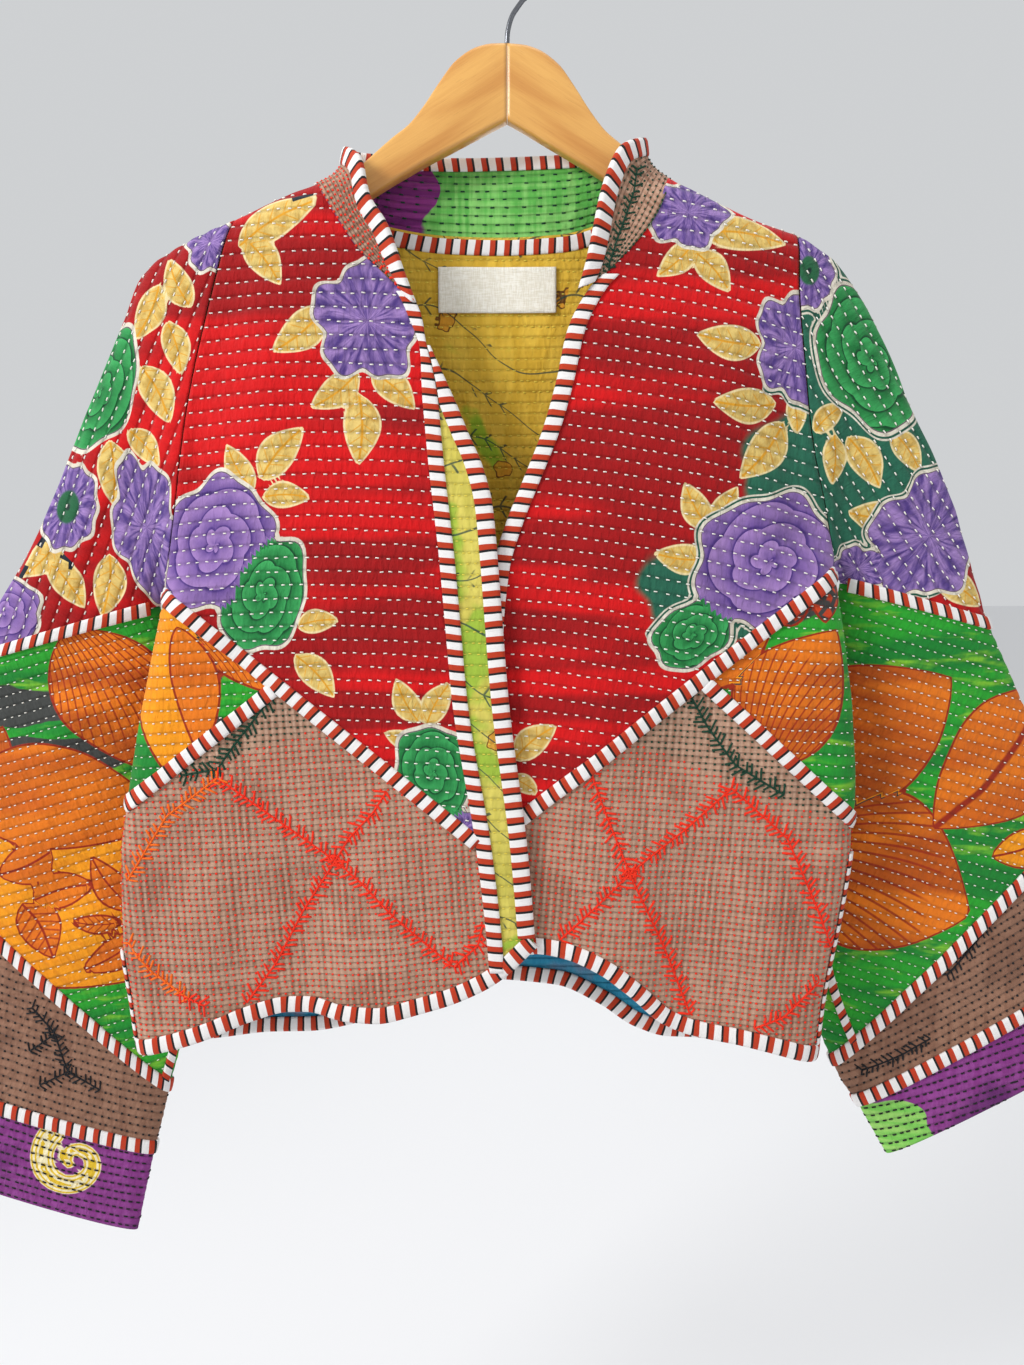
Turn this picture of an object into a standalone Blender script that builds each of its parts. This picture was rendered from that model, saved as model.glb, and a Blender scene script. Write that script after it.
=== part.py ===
"""Patchwork kantha jacket on its contoured wooden hanger.

The jacket hangs as it does in a shop: open down the front, cloth as flat as it falls, sleeves
slanting out. +X is the viewer's right, the front faces -Y and +Z is up. The origin is the inner
top of the hook's bend, where the hanger rests on its peg. Sizes are in millimetres here and
turn into metres where the meshes are made.
"""
import math
from collections import namedtuple

import bmesh
import bpy
from mathutils import Vector

MM = 0.001

# Cloth and trim
WALL = 1.8            # quilted cloth, three layers sewn together
QUILT = 0.6           # how far the cloth swells between every other pair of sewn rows
SEAM_GAP = 0.3        # pieces stay this far apart at a seam
SEAM_OFFSET = 0.2     # the same at a slanted seam, up or down on each side of it
ARMHOLE_GAP = 1.4     # wider where the sleeve turns away from the body
SLEEVE_PITCH = 19.0   # spacing of the sleeves' swelled and sewn rows
BINDING_WIDTH = 10.5
BINDING_WALL = 1.1
LABEL_WALL = 0.6
LIFT = WALL / 2 + QUILT + 0.5   # a binding's underside above the middle of its panel
SLANT_LIFT = LIFT + 0.9          # over the slanted seams, where the cloth turns most
EDGE_INSET = 0.002    # side and shoulder seams part by this much, since the cloth turns there
SLIT_WIDTH = 4.5      # the slits' bindings
SIDE_PART = 0.5       # how far front and back each stand off their shared side seam
SLIT_PART = 4.2       # the same at a slit
FRONT_OVERLAP = 3.8   # each front moves this far from the middle plane where they cross

# Hanger
WOOD = 12.0
WOOD_BEVEL = 3.5
WOOD_TIP = 8.0
WOOD_SWEEP = 12.0     # the arms' ends come this far forward
HANGER_TILT = 0.03    # its right arm hangs a little lower
WIRE = 3.4
WIRE_SIDES = 8
HOOK_RADIUS = 17.0
STEM_FOOT = -60.6

Rung = namedtuple("Rung", "z x")
Mark = namedtuple("Mark", "x z")
Depth = namedtuple("Depth", "z y")
Fold = namedtuple("Fold", "x0 z0 x1 z1 half_width depth")
Arm = namedtuple("Arm", "x top bottom")
CollarRow = namedtuple("CollarRow", "panel seam_x seam_z top_x top_y top_z")
Station = namedtuple("Station", "at outer_x outer_z inner_x inner_z outer_y inner_y front back")
Side = namedtuple("Side", "name sign edge inner underarm apex_x point_end yoke_end hem folds stations")

# How far forward the cloth hangs, from the shoulders down to the hem
FRONT_DEPTH = (Depth(-150, -23), Depth(-200, -26), Depth(-300, -31), Depth(-400, -37),
               Depth(-500, -42), Depth(-600, -46), Depth(-760, -49))
BACK_DEPTH = (Depth(-120, 15), Depth(-200, 14), Depth(-300, 12), Depth(-450, 9), Depth(-760, 6))
ARM_FRONT_Y = -23.0
ARM_BACK_Y = 7.0
UNDERARM_Y = -8.0
SIDE_Y = -27.0
SHOULDER_ROUND = 22.0
SIDE_ROUND = 20.0
ARMHOLE_FADE = 55.0
UNDERARM_ROUND = 45.0

# Shoulder seams and the neck seam of the back
SHOULDER_LINE = (Mark(-181, -177), Mark(-162, -167.5), Mark(-143, -158.5), Mark(-126, -152),
                 Mark(-100, -132), Mark(0, -90), Mark(84, -126), Mark(108, -148.5),
                 Mark(125, -157), Mark(144, -167), Mark(162, -175.5), Mark(193, -187))
BACK_NECK = (Mark(-126, -152), Mark(-105, -163), Mark(-85, -172), Mark(-40, -179), Mark(-5, -180),
             Mark(36, -178), Mark(64, -171), Mark(88, -161), Mark(108, -148.5))
BACK_HEM = (Mark(-260, -746), Mark(-200, -751), Mark(-150, -750), Mark(-105, -741),
            Mark(-60, -722), Mark(-15, -710), Mark(35, -714), Mark(69, -729), Mark(95, -746),
            Mark(120, -754), Mark(170, -755), Mark(218, -752))
BACK_TOP = (-180.3, -154, -126, -119, -98, -55, -4, 48, 84, 101, 108, 128, 155, 192.3)
NECK_COLUMNS = range(4, 9)
BACK_SEAM_HEIGHT = -552.0
BACK_UPPER_ROWS = 28
BACK_LOWER_ROWS = 16
SLIT_TOP = {"left": -668.0, "right": -598.0}

# Columns of points on the fronts, shared by the pieces that meet on a seam
YOKE_LEAD, YOKE_REST, POINT_RUN = 4, 5, 5
CROWDING = 1.4        # crowds the columns towards the sides
RED_ROWS = 26
PATCH_ROWS = 14
REACH_DOWN = 6.6      # down or up a column from a slanted seam to its binding's edge
REACH_OUT = 8.5       # the same, level

# Free edge of the overlapping front band
BAND_TOP = -264.0
BAND_FOOT = -686.0
BAND_ROWS = 28
BAND_EDGE = (Rung(-236, -62), Rung(-258, -52.5), Rung(-281, -42.5), Rung(-323, -25), Rung(-339, -18),
             Rung(-366, -11), Rung(-402, -7.5), Rung(-442, -4.5), Rung(-498, 0), Rung(-597, 12.5),
             Rung(-669, 18.5), Rung(-700, 21))

LEFT = Side(
    name="left", sign=-1,
    edge=(Rung(-177, -181), Rung(-213, -192), Rung(-237, -199), Rung(-278, -210), Rung(-316, -218),
          Rung(-382, -228), Rung(-423, -236), Rung(-454, -242), Rung(-498, -250), Rung(-533, -256),
          Rung(-566, -262), Rung(-606, -268), Rung(-652, -269), Rung(-711, -263), Rung(-750, -259)),
    inner=(Rung(-152, -126), Rung(-181, -110), Rung(-200, -97), Rung(-215, -81), Rung(-229, -67),
           Rung(-245, -60), Rung(-270, -54), Rung(-339, -47), Rung(-402, -40), Rung(-442, -36.5),
           Rung(-498, -31.5), Rung(-598, -15.5), Rung(-669, -8), Rung(-720, -5)),
    underarm=Mark(-236, -423), apex_x=-155, point_end=Mark(-262.7, -571),
    yoke_end=Mark(-17, -596),
    hem=(Mark(-259, -744), Mark(-230, -737), Mark(-209, -730), Mark(-179, -719), Mark(-153, -713),
         Mark(-138, -713), Mark(-115, -717), Mark(-91, -718), Mark(-69, -714), Mark(-41, -706),
         Mark(-15, -694), Mark(-2, -685), Mark(20, -664)),
    folds=(Fold(-205, -450, -110, -560, 26, -4), Fold(-205, -600, -212, -740, 30, 4),
           Fold(-135, -600, -145, -720, 28, -5), Fold(-75, -590, -85, -722, 30, 4),
           Fold(-165, -235, -115, -420, 28, 4), Fold(-85, -290, -70, -470, 26, 3)),
    stations=(
        Station(0.00, -181, -177, -236, -423, -10, -8, 13, 17),
        Station(0.15, -215, -191, -237, -424, -8, -7, 13, 16),
        Station(0.30, -246, -211, -239, -426, -6, -6, 13, 15),
        Station(0.42, -260, -240, -241, -427, -5, -5, 13, 14),
        Station(0.60, -288, -300, -243, -429, -4, -3, 13, 13),
        Station(0.80, -325, -381, -245, -431, -4, -1, 12, 12),
        Station(1.00, -381, -473, -247, -434, -4, 1, 12, 12),
        Station(1.25, -396, -510, -237, -530, -3, 8, 13, 10),
        Station(1.50, -407, -543, -231, -620, -2, 10, 13, 9),
        Station(1.75, -418, -577, -236, -715, -2, 8, 13, 10),
        Station(2.00, -430, -611, -254, -792, -2, 4, 13, 11),
        Station(2.50, -455, -688, -259, -815, -3, 1, 12, 11),
        Station(3.00, -479, -765, -265, -838, -3, -1, 11, 10),
        Station(4.00, -497, -826, -280, -903, -4, -3, 10, 10)))

RIGHT = Side(
    name="right", sign=1,
    edge=(Rung(-187, 193), Rung(-219, 193.5), Rung(-237, 195), Rung(-278, 200), Rung(-303, 203),
          Rung(-328, 207), Rung(-362, 215), Rung(-409, 225), Rung(-450, 231), Rung(-507, 237),
          Rung(-561, 240), Rung(-593, 238), Rung(-648, 231), Rung(-683, 225), Rung(-710, 221),
          Rung(-756, 217)),
    inner=(Rung(-148.5, 108), Rung(-181, 94), Rung(-206, 74), Rung(-225, 55), Rung(-252, 41),
           Rung(-284, 34), Rung(-316, 25), Rung(-349, 12), Rung(-379, 0), Rung(-410, -9),
           Rung(-456, -13), Rung(-498, -12), Rung(-598, 1), Rung(-680, 9)),
    underarm=Mark(225, -409), apex_x=131, point_end=Mark(239, -582),
    yoke_end=Mark(-1, -586),
    hem=(Mark(217, -749), Mark(170, -736), Mark(129, -730), Mark(109, -722), Mark(84, -699),
         Mark(63, -683), Mark(41, -674), Mark(20, -671), Mark(5, -671)),
    folds=(Fold(195, -440, 100, -540, 26, -4), Fold(180, -600, 182, -745, 30, 4),
           Fold(122, -600, 124, -730, 28, -5), Fold(62, -590, 70, -695, 30, 4),
           Fold(155, -240, 115, -400, 28, 4), Fold(70, -320, 55, -520, 26, 3)),
    stations=(
        Station(0.00, 193, -187, 225, -409, -12, -8, 12, 18),
        Station(0.15, 217, -201, 227, -410, -9, -7, 13, 16),
        Station(0.30, 237, -223, 229, -411, -7, -6, 13, 15),
        Station(0.45, 259, -260, 231, -412, -5, -5, 13, 14),
        Station(0.60, 277, -298, 233, -413, -4, -3, 13, 13),
        Station(0.80, 306, -356, 234, -415, -4, -1, 12, 12),
        Station(1.00, 338, -447, 236, -418, -4, 1, 12, 12),
        Station(1.25, 356, -483, 224, -520, -3, 8, 13, 10),
        Station(1.50, 373, -518, 217, -610, -2, 10, 13, 9),
        Station(1.75, 390, -553, 220, -700, -2, 8, 13, 10),
        Station(2.00, 407, -589, 243, -772, -2, 4, 13, 11),
        Station(2.50, 432, -635, 250, -787, -3, 1, 12, 11),
        Station(3.00, 456, -680, 260, -801, -3, -1, 11, 10),
        Station(4.00, 482, -728, 284, -842, -4, -3, 10, 10)))

# Where the sleeve's sections meet, in station numbers
SLEEVE_SECTIONS = (("upper", 0.0, 1.0), ("middle", 1.0, 2.0), ("lower", 2.0, 3.0), ("cuff", 3.0, 4.0))
SLEEVE_SEAMS = (("upper", 1.0), ("middle", 2.0), ("lower", 3.0))
SLEEVE_CLOTH = {"upper": "red_kantha", "middle": "orange_kantha", "lower": "brown_kantha",
                "cuff": "purple_kantha"}
SLEEVE_AROUND = 14
UNDERARM_SEAM_WIDTH = 7.0
UNDERARM_SEAM_COLUMNS = {"left": (6, 7), "right": (5, 6)}
UNDERARM_SEAM_PLACE = {"left": 0.45, "right": 0.7}

# Stand collar, from its tip on the left front, round the back, to its tip on the right front
COLLAR = (
    CollarRow("front", -69, -227, -61, -31, -234), CollarRow("front", -81, -215, -70, -31, -211),
    CollarRow("front", -97, -200, -79, -31, -186), CollarRow("front", -110, -181, -91, -30, -166),
    CollarRow("front", -119, -165, -96, -27, -143), CollarRow("seam", -126, -152, -107, -9, -130),
    CollarRow("back", -119, -156.5, -104, 3, -128), CollarRow("back", -105, -163, -97, 10, -127),
    CollarRow("back", -85, -172, -80, 17, -126),
    CollarRow("back", -40, -179, -43, 22, -126), CollarRow("back", -5, -180, -5, 24, -125),
    CollarRow("back", 36, -178, 37, 22, -124), CollarRow("back", 64, -171, 64, 16, -123),
    CollarRow("back", 88, -161, 81, 10, -122), CollarRow("back", 101, -153, 88, 2, -122),
    CollarRow("seam", 108, -148.5, 91, -8, -124),
    CollarRow("front", 101, -167, 74, -26, -136), CollarRow("front", 94, -181, 63, -30, -162),
    CollarRow("front", 84, -195, 57, -31, -190), CollarRow("front", 74, -206, 53, -31, -208),
    CollarRow("front", 61, -219, 48, -31, -225))
COLLAR_LIFT = 2.2
COLLAR_ROLL = 4.0
COLLAR_AROUND = 36
COLLAR_UP = 3

# Woven label on the lining, below the neck seam
LABEL_LEFT, LABEL_RIGHT = -48.0, 34.0
LABEL_TOP, LABEL_BOTTOM = -200.0, -231.0

# One arm of the hanger; the other mirrors it
ARMS = (Arm(0.15, -61, -110), Arm(10, -61.5, -115), Arm(20, -64, -120.5), Arm(34, -73, -128),
        Arm(45, -87, -134), Arm(56, -103, -140), Arm(66, -115, -146), Arm(76, -123, -152),
        Arm(98, -142.5, -166), Arm(112, -154.5, -174), Arm(126, -161.5, -182), Arm(144, -167, -192),
        Arm(162, -176, -201), Arm(180, -186, -210), Arm(190, -193, -212), Arm(195, -199, -208))

MATERIALS = {
    "red_kantha": ((0.60, 0.012, 0.010), 0.85, 0.0),
    "orange_kantha": ((0.78, 0.25, 0.02), 0.85, 0.0),
    "brown_kantha": ((0.42, 0.22, 0.14), 0.9, 0.0),
    "purple_kantha": ((0.20, 0.03, 0.18), 0.88, 0.0),
    "yellow_kantha": ((0.55, 0.40, 0.12), 0.88, 0.0),
    "striped_binding": ((0.75, 0.28, 0.18), 0.8, 0.0),
    "label_cotton": ((0.78, 0.74, 0.65), 0.9, 0.0),
    "varnished_wood": ((0.72, 0.38, 0.10), 0.35, 0.0),
    "hook_steel": ((0.62, 0.62, 0.63), 0.28, 1.0),
}


def between(low, high, share):
    return low + (high - low) * share


def smooth(share):
    share = min(max(share, 0.0), 1.0)
    return share * share * (3 - 2 * share)


def quarter_round(share):
    share = min(max(share, 0.0), 1.0)
    return math.sqrt(max(0.0, 1 - (1 - share) ** 2))


def slope_at(rows, index):
    """Slope of a smooth curve through rows at one of them; it never overshoots."""
    if index in (0, len(rows) - 1):
        step = 1 if index == 0 else -1
        near = rows[index + step]
        return (near[1] - rows[index][1]) / (near[0] - rows[index][0])
    before = (rows[index][1] - rows[index - 1][1]) / (rows[index][0] - rows[index - 1][0])
    after = (rows[index + 1][1] - rows[index][1]) / (rows[index + 1][0] - rows[index][0])
    if before * after <= 0:
        return 0.0
    return 2 * before * after / (before + after)


def read_curve(rows, at):
    """Value of a table with two columns at a place, on a smooth curve."""
    if rows[0][0] > rows[-1][0]:
        rows = rows[::-1]
    at = min(max(at, rows[0][0]), rows[-1][0])
    index = 0
    while index < len(rows) - 2 and at > rows[index + 1][0]:
        index += 1
    low, high = rows[index], rows[index + 1]
    span = high[0] - low[0]
    share = (at - low[0]) / span
    rise = slope_at(rows, index) * span
    fall = slope_at(rows, index + 1) * span
    square, cube = share * share, share ** 3
    return ((2 * cube - 3 * square + 1) * low[1] + (cube - 2 * square + share) * rise
            + (3 * square - 2 * cube) * high[1] + (cube - square) * fall)


def side_of(x):
    return LEFT if x < 0 else RIGHT


def hanger_y(x):
    return -WOOD_SWEEP * (x / 195) ** 2


def edge_inset(side, x, z):
    """How far a place lies inside the armhole or the side seam."""
    return max(0.0, side.sign * (read_curve(side.edge, z) - x))


def edge_y(side, z, arm_y):
    """Depth of the cloth at the armhole, closing at the underarm, and at the side seam below."""
    rise = z - side.underarm.z
    if rise > 0:
        return between(UNDERARM_Y, arm_y, quarter_round(rise / UNDERARM_ROUND))
    return between(UNDERARM_Y, SIDE_Y, smooth(-rise / 100))


def shoulder_share(x, z):
    return quarter_round((read_curve(SHOULDER_LINE, x) - z) / SHOULDER_ROUND)


def below_underarm(side, z):
    return smooth((side.underarm.z + 30 - z) / 35)


def slit_part(side, inset, z):
    """How far a side edge stands off the other, more at the slit, fading towards the middle."""
    at_seam = SIDE_PART * smooth((side.underarm.z - z) / 20)
    part = between(at_seam, SLIT_PART, smooth((SLIT_TOP[side.name] + 14 - z) / 20))
    return part * (1 - smooth(inset / 40))


def fold_depth(side, x, z):
    """Sum of the soft folds: each fades along its length and to both of its sides."""
    total = 0.0
    for fold in side.folds:
        run = Vector((fold.x1 - fold.x0, fold.z1 - fold.z0))
        step = Vector((x - fold.x0, z - fold.z0))
        along = step.dot(run) / run.length_squared
        off = (step - run * along).length / fold.half_width
        ends = smooth(along * 3 + 0.3) * smooth((1 - along) * 3 + 0.9)
        total += fold.depth * ends * math.exp(-off * off)
    return total


def front_y(side, x, z):
    inset = edge_inset(side, x, z)
    low = below_underarm(side, z)
    flat = read_curve(FRONT_DEPTH, z)
    shape = between(smooth(inset / ARMHOLE_FADE), quarter_round(inset / SIDE_ROUND), low)
    start = edge_y(side, z, ARM_FRONT_Y)
    flat -= fold_depth(side, x, z) * smooth(inset / 25)
    y = between(start, flat, shape)
    reach = 1 - smooth(abs(x - 2) / 80)
    y += side.sign * FRONT_OVERLAP * reach * smooth((-300 - z) / 60)
    y -= slit_part(side, inset, z)
    return between(hanger_y(x), y, shoulder_share(x, z))


def back_y(x, z):
    side = side_of(x)
    inset = edge_inset(side, x, z)
    low = below_underarm(side, z)
    flat = read_curve(BACK_DEPTH, z)
    soft = smooth(inset / 85)
    side_shape = 0.32 * quarter_round(inset / 12) + 0.68 * soft
    shape = between(smooth(inset / ARMHOLE_FADE), side_shape, low)
    y = between(edge_y(side, z, ARM_BACK_Y), flat, shape) + slit_part(side, inset, z)
    return between(hanger_y(x), y, shoulder_share(x, z))


def lay_front(side):
    """Turns a place on the pattern into a point on the front and the way its cloth faces."""
    def place(x, z):
        return lay(lambda a, b: front_y(side, a, b), x, z, -1)
    return place


def lay_back(x, z):
    return lay(back_y, x, z, 1)


def lay(depth, x, z, facing):
    step = 0.05
    side = side_of(x)
    inward = -side.sign
    here = depth(x, z)
    slope_x = (depth(x + inward * step, z) - here) / (inward * step)
    slope_z = (depth(x, z - step) - here) / -step
    normal = Vector((-slope_x, 1, -slope_z)).normalized() * facing
    return Vector((x, here, z)), normal


def station_value(side, at, column):
    rows = [(row.at, getattr(row, column)) for row in side.stations]
    return read_curve(rows, at)


def sleeve_point(side, at, turn):
    """A point of the sleeve: at counts stations down the arm, turn goes once round it.

    Turn 0 is the outer fold, 0.25 the front, 0.5 the underarm edge and 0.75 the back.
    """
    angle = 2 * math.pi * turn
    across = (1 - math.cos(angle)) / 2
    ring = {name: station_value(side, at, name) for name in Station._fields[1:]}
    x = between(ring["outer_x"], ring["inner_x"], across)
    z = between(ring["outer_z"], ring["inner_z"], across)
    front = math.sin(angle) >= 0
    bulge = abs(math.sin(angle)) * (ring["front"] if front else ring["back"])
    y = between(ring["outer_y"], ring["inner_y"], across) + (-bulge if front else bulge)
    x_seam = between(side.stations[0].outer_x, side.underarm.x, across)
    z_seam = between(side.stations[0].outer_z, side.underarm.z, across)
    bend = (1 - smooth(at / 0.6))
    x += (read_curve(side.edge, z_seam) - x_seam) * bend
    start = side.stations[0]
    seam_y = between(start.outer_y, start.inner_y, across)
    seam_y += -abs(math.sin(angle)) * start.front if front else abs(math.sin(angle)) * start.back
    hold = 1 - smooth(at / 0.35)
    if hold > 0:
        edge_x = read_curve(side.edge, z_seam)
        body_y = front_y(side, edge_x, z_seam) if front else back_y(edge_x, z_seam)
        y += (body_y - seam_y) * hold
    return Vector((x, y, z))


def sleeve_frame(side, at, turn):
    """Point, facing and the length of one station step there."""
    step = 0.002
    here = sleeve_point(side, at, turn)
    ahead = min(at + step, 4.0)
    behind = max(at - step, 0.0)
    down = (sleeve_point(side, ahead, turn) - sleeve_point(side, behind, turn)) / (ahead - behind)
    around = sleeve_point(side, at, turn + step) - sleeve_point(side, at, turn - step)
    normal = down.cross(around).normalized() * side.sign
    return here, normal, down.length


def material_named(name):
    if name in bpy.data.materials:
        return bpy.data.materials[name]
    colour, roughness, metallic = MATERIALS[name]
    material = bpy.data.materials.new(name)
    material.use_nodes = True
    shader = material.node_tree.nodes["Principled BSDF"]
    shader.inputs["Base Color"].default_value = (*colour, 1)
    shader.inputs["Roughness"].default_value = roughness
    shader.inputs["Metallic"].default_value = metallic
    return material


def add_object(name, cuts, material, caps=True):
    """Skins a run of cuts, each a closed outline of points, into one closed solid.

    Each end's cap joins the cut's first half to its second half, which run side by side. With
    no caps the run closes on itself.
    """
    shape = bmesh.new()
    rows = [[shape.verts.new(point * MM) for point in cut] for cut in cuts]
    count = len(rows[0])
    followers = rows[1:] if caps else rows[1:] + rows[:1]
    for here, there in zip(rows, followers):
        for column in range(count):
            ahead = (column + 1) % count
            shape.faces.new((here[column], here[ahead], there[ahead], there[column]))
    if caps:
        for row in (rows[0], rows[-1]):
            for near in range(count // 2 - 1):
                shape.faces.new((row[near], row[near + 1], row[-near - 2], row[-near - 1]))
    bmesh.ops.recalc_face_normals(shape, faces=shape.faces)
    bmesh.ops.triangulate(shape, faces=shape.faces, quad_method="SHORT_EDGE")
    mesh = bpy.data.meshes.new(name)
    shape.to_mesh(mesh)
    shape.free()
    mesh.materials.append(material_named(material))
    thing = bpy.data.objects.new(name, mesh)
    bpy.context.scene.collection.objects.link(thing)
    return thing


def panel(name, plan, place, material, quilted=True):
    """A panel of cloth from rows of pattern places, each an x and a z.

    Every second row of points is raised on the outside, where the cloth swells between its
    sewn rows. Returns the rows of middle points and facings, for what is sewn on them.
    """
    grid, cuts = [], []
    for number, marks in enumerate(plan):
        pairs = [place(*mark) for mark in marks]
        grid.append(pairs)
        swelled = quilted and number % 2 == 1 and number < len(plan) - 1
        last = len(pairs) - 1
        outside = [point + facing * (WALL / 2 + (QUILT if swelled and 0 < index < last else 0))
                   for index, (point, facing) in enumerate(pairs)]
        inside = [point - facing * WALL / 2 for point, facing in reversed(pairs)]
        cuts.append(outside + inside)
    add_object(name, cuts, material)
    return grid


def column_down(grid, column):
    return [row[column] for row in grid]


def column_up(grid, column):
    return column_down(grid, column)[::-1]


def line_between(first, second, share):
    """A line of a panel's points part of the way from one line to the next."""
    return [(a.lerp(b, share), m.lerp(n, share).normalized())
            for (a, m), (b, n) in zip(first, second)]


def walk_in(pairs, distance):
    """The place that lies a distance along a row of a panel's points, and its facing."""
    left = distance
    for (near, near_facing), (far, far_facing) in zip(pairs, pairs[1:]):
        step = (far - near).length
        if left <= step:
            share = left / step
            return near.lerp(far, share), near_facing.lerp(far_facing, share).normalized()
        left -= step
    return pairs[-1]


def folded_binding(name, runs, width=BINDING_WIDTH):
    """A binding folded round a free edge.

    Each run is a row of the panel's points that starts at the edge and goes into the cloth.
    """
    rise = WALL / 2 + QUILT + SEAM_GAP
    outer = rise + BINDING_WALL
    cuts = []
    for index, run in enumerate(runs):
        tip, facing = run[0]
        wide = width(index) if callable(width) else width
        deep, deep_facing = walk_in(run, wide)
        out = (tip - deep).normalized()
        fold = tip + out * (SEAM_GAP + BINDING_WALL)
        slot = tip + out * SEAM_GAP
        cuts.append([
            deep + deep_facing * outer, fold + facing * outer * 0.75,
            fold - facing * outer * 0.75, deep - deep_facing * outer,
            deep - deep_facing * rise, slot - facing * rise,
            slot + facing * rise, deep + deep_facing * rise])
    add_object(name, cuts, "striped_binding")


def strip(name, cuts, low=LIFT, high=LIFT + BINDING_WALL, material="striped_binding"):
    """A flat binding through cuts of places on a panel, from low to high above its middle."""
    outlines = [[p + n * high for p, n in cut] + [p + n * low for p, n in reversed(cut)]
                for cut in cuts]
    add_object(name, outlines, material)


def seam_cuts(above, below, up, down):
    """Cuts for a binding over the seam of two panels, from lines of points that start at it."""
    cuts = []
    for high, low in zip(above, below):
        middle = high[0][0].lerp(low[0][0], 0.5)
        cuts.append([walk_in(high, up), (middle, low[0][1]), walk_in(low, down)])
    return cuts


def corner_on_yoke(side):
    """Where the triangle and the lower piece meet the yoke seam."""
    share = (side.apex_x - side.underarm.x) / (side.yoke_end.x - side.underarm.x)
    return Mark(side.apex_x, between(side.underarm.z, side.yoke_end.z, share))


def yoke_nodes(side):
    """Places along the yoke seam, from the underarm to the opening."""
    under, corner, end = Vector(side.underarm), Vector(corner_on_yoke(side)), Vector(side.yoke_end)
    lead = [under.lerp(corner, (step / YOKE_LEAD) ** CROWDING) for step in range(YOKE_LEAD + 1)]
    return lead + [corner.lerp(end, step / YOKE_REST) for step in range(1, YOKE_REST + 1)]


def point_nodes(side):
    """Places along the seam from the yoke out to the side."""
    corner, end = Vector(corner_on_yoke(side)), Vector(side.point_end)
    return [corner.lerp(end, 1 - (1 - step / POINT_RUN) ** CROWDING)
            for step in range(POINT_RUN + 1)]


def red_front(side):
    """The large flowered front: armhole outside, neck seam and opening inside, yoke seam below."""
    top, under, neck, end = side.edge[0].z, side.underarm, side.inner[0], side.yoke_end
    nodes = yoke_nodes(side)
    plan = []
    for row in range(RED_ROWS + 1):
        down = row / RED_ROWS
        outer_z = between(top, under.z, down)
        outer_x = read_curve(side.edge, outer_z) - side.sign * ARMHOLE_GAP / 2
        inner_z = between(neck.z, end.z, down)
        inner_x = read_curve(side.inner, inner_z) + side.sign * SEAM_GAP / 2
        marks = []
        for node in nodes:
            across = (node.x - under.x) / (end.x - under.x)
            x, z = between(outer_x, inner_x, across), between(outer_z, inner_z, across)
            level = between(top, neck.z, across)
            shoulder = read_curve(SHOULDER_LINE, x) if row == 0 else level
            marks.append((x, z + shoulder - level + SEAM_OFFSET * down - EDGE_INSET))
        plan.append(marks)
    return panel(f"front_{side.name}_red", plan, lay_front(side), "red_kantha")


def triangle_front(side):
    """The three-cornered piece under the arm."""
    seam = yoke_nodes(side)[:YOKE_LEAD + 1] + point_nodes(side)[1:]
    seam[0] = seam[0].lerp(seam[1], 0.35)
    seam[-1] = seam[-1].lerp(seam[-2], 0.65)
    plan = []
    for node in seam:
        outer_x = read_curve(side.edge, node.y) - side.sign * EDGE_INSET
        inner_x = node.x + side.sign * SEAM_OFFSET * (1.25 if node != seam[-1] else 9)
        wide = inner_x - outer_x
        under_binding = inner_x + side.sign * min(REACH_OUT + 1, 0.4 * abs(wide))
        plan.append([(x, node.y) for x in (outer_x, outer_x + 0.15 * wide, outer_x + 0.4 * wide,
                                           under_binding, inner_x)])
    return panel(f"front_{side.name}_triangle", plan, lay_front(side), "orange_kantha")


def patch_front(side):
    """The broad lower piece with its point on the yoke seam and the hem below."""
    nodes = point_nodes(side)[::-1] + yoke_nodes(side)[YOKE_LEAD + 1:]
    side_x, hem_x, hem_end = nodes[0].x, side.hem[0].x, read_curve(side.inner, -690)
    plan = []
    for row in range(PATCH_ROWS + 1):
        down = row / PATCH_ROWS
        marks = []
        for index, node in enumerate(nodes):
            low_x = between(hem_x, hem_end, (node.x - side_x) / (nodes[-1].x - side_x))
            x = between(node.x, low_x, down)
            z = between(node.y - SEAM_OFFSET, read_curve(side.hem, low_x), down)
            if index == 0:
                x = read_curve(side.edge, z) - side.sign * EDGE_INSET
            if index == len(nodes) - 1:
                x = read_curve(side.inner, z) + side.sign * SEAM_GAP / 2
            marks.append((x, z))
        plan.append(marks)
    return panel(f"front_{side.name}_patch", plan, lay_front(side), "brown_kantha")


def slit_binding(name, grid, column, inward, top):
    """The narrow binding of a side slit, above the hem's binding."""
    runs = [[row[column], row[column + inward]] for row in grid[:-1] if row[column][0].z < top - 4]
    folded_binding(name, runs, width=SLIT_WIDTH)


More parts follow.
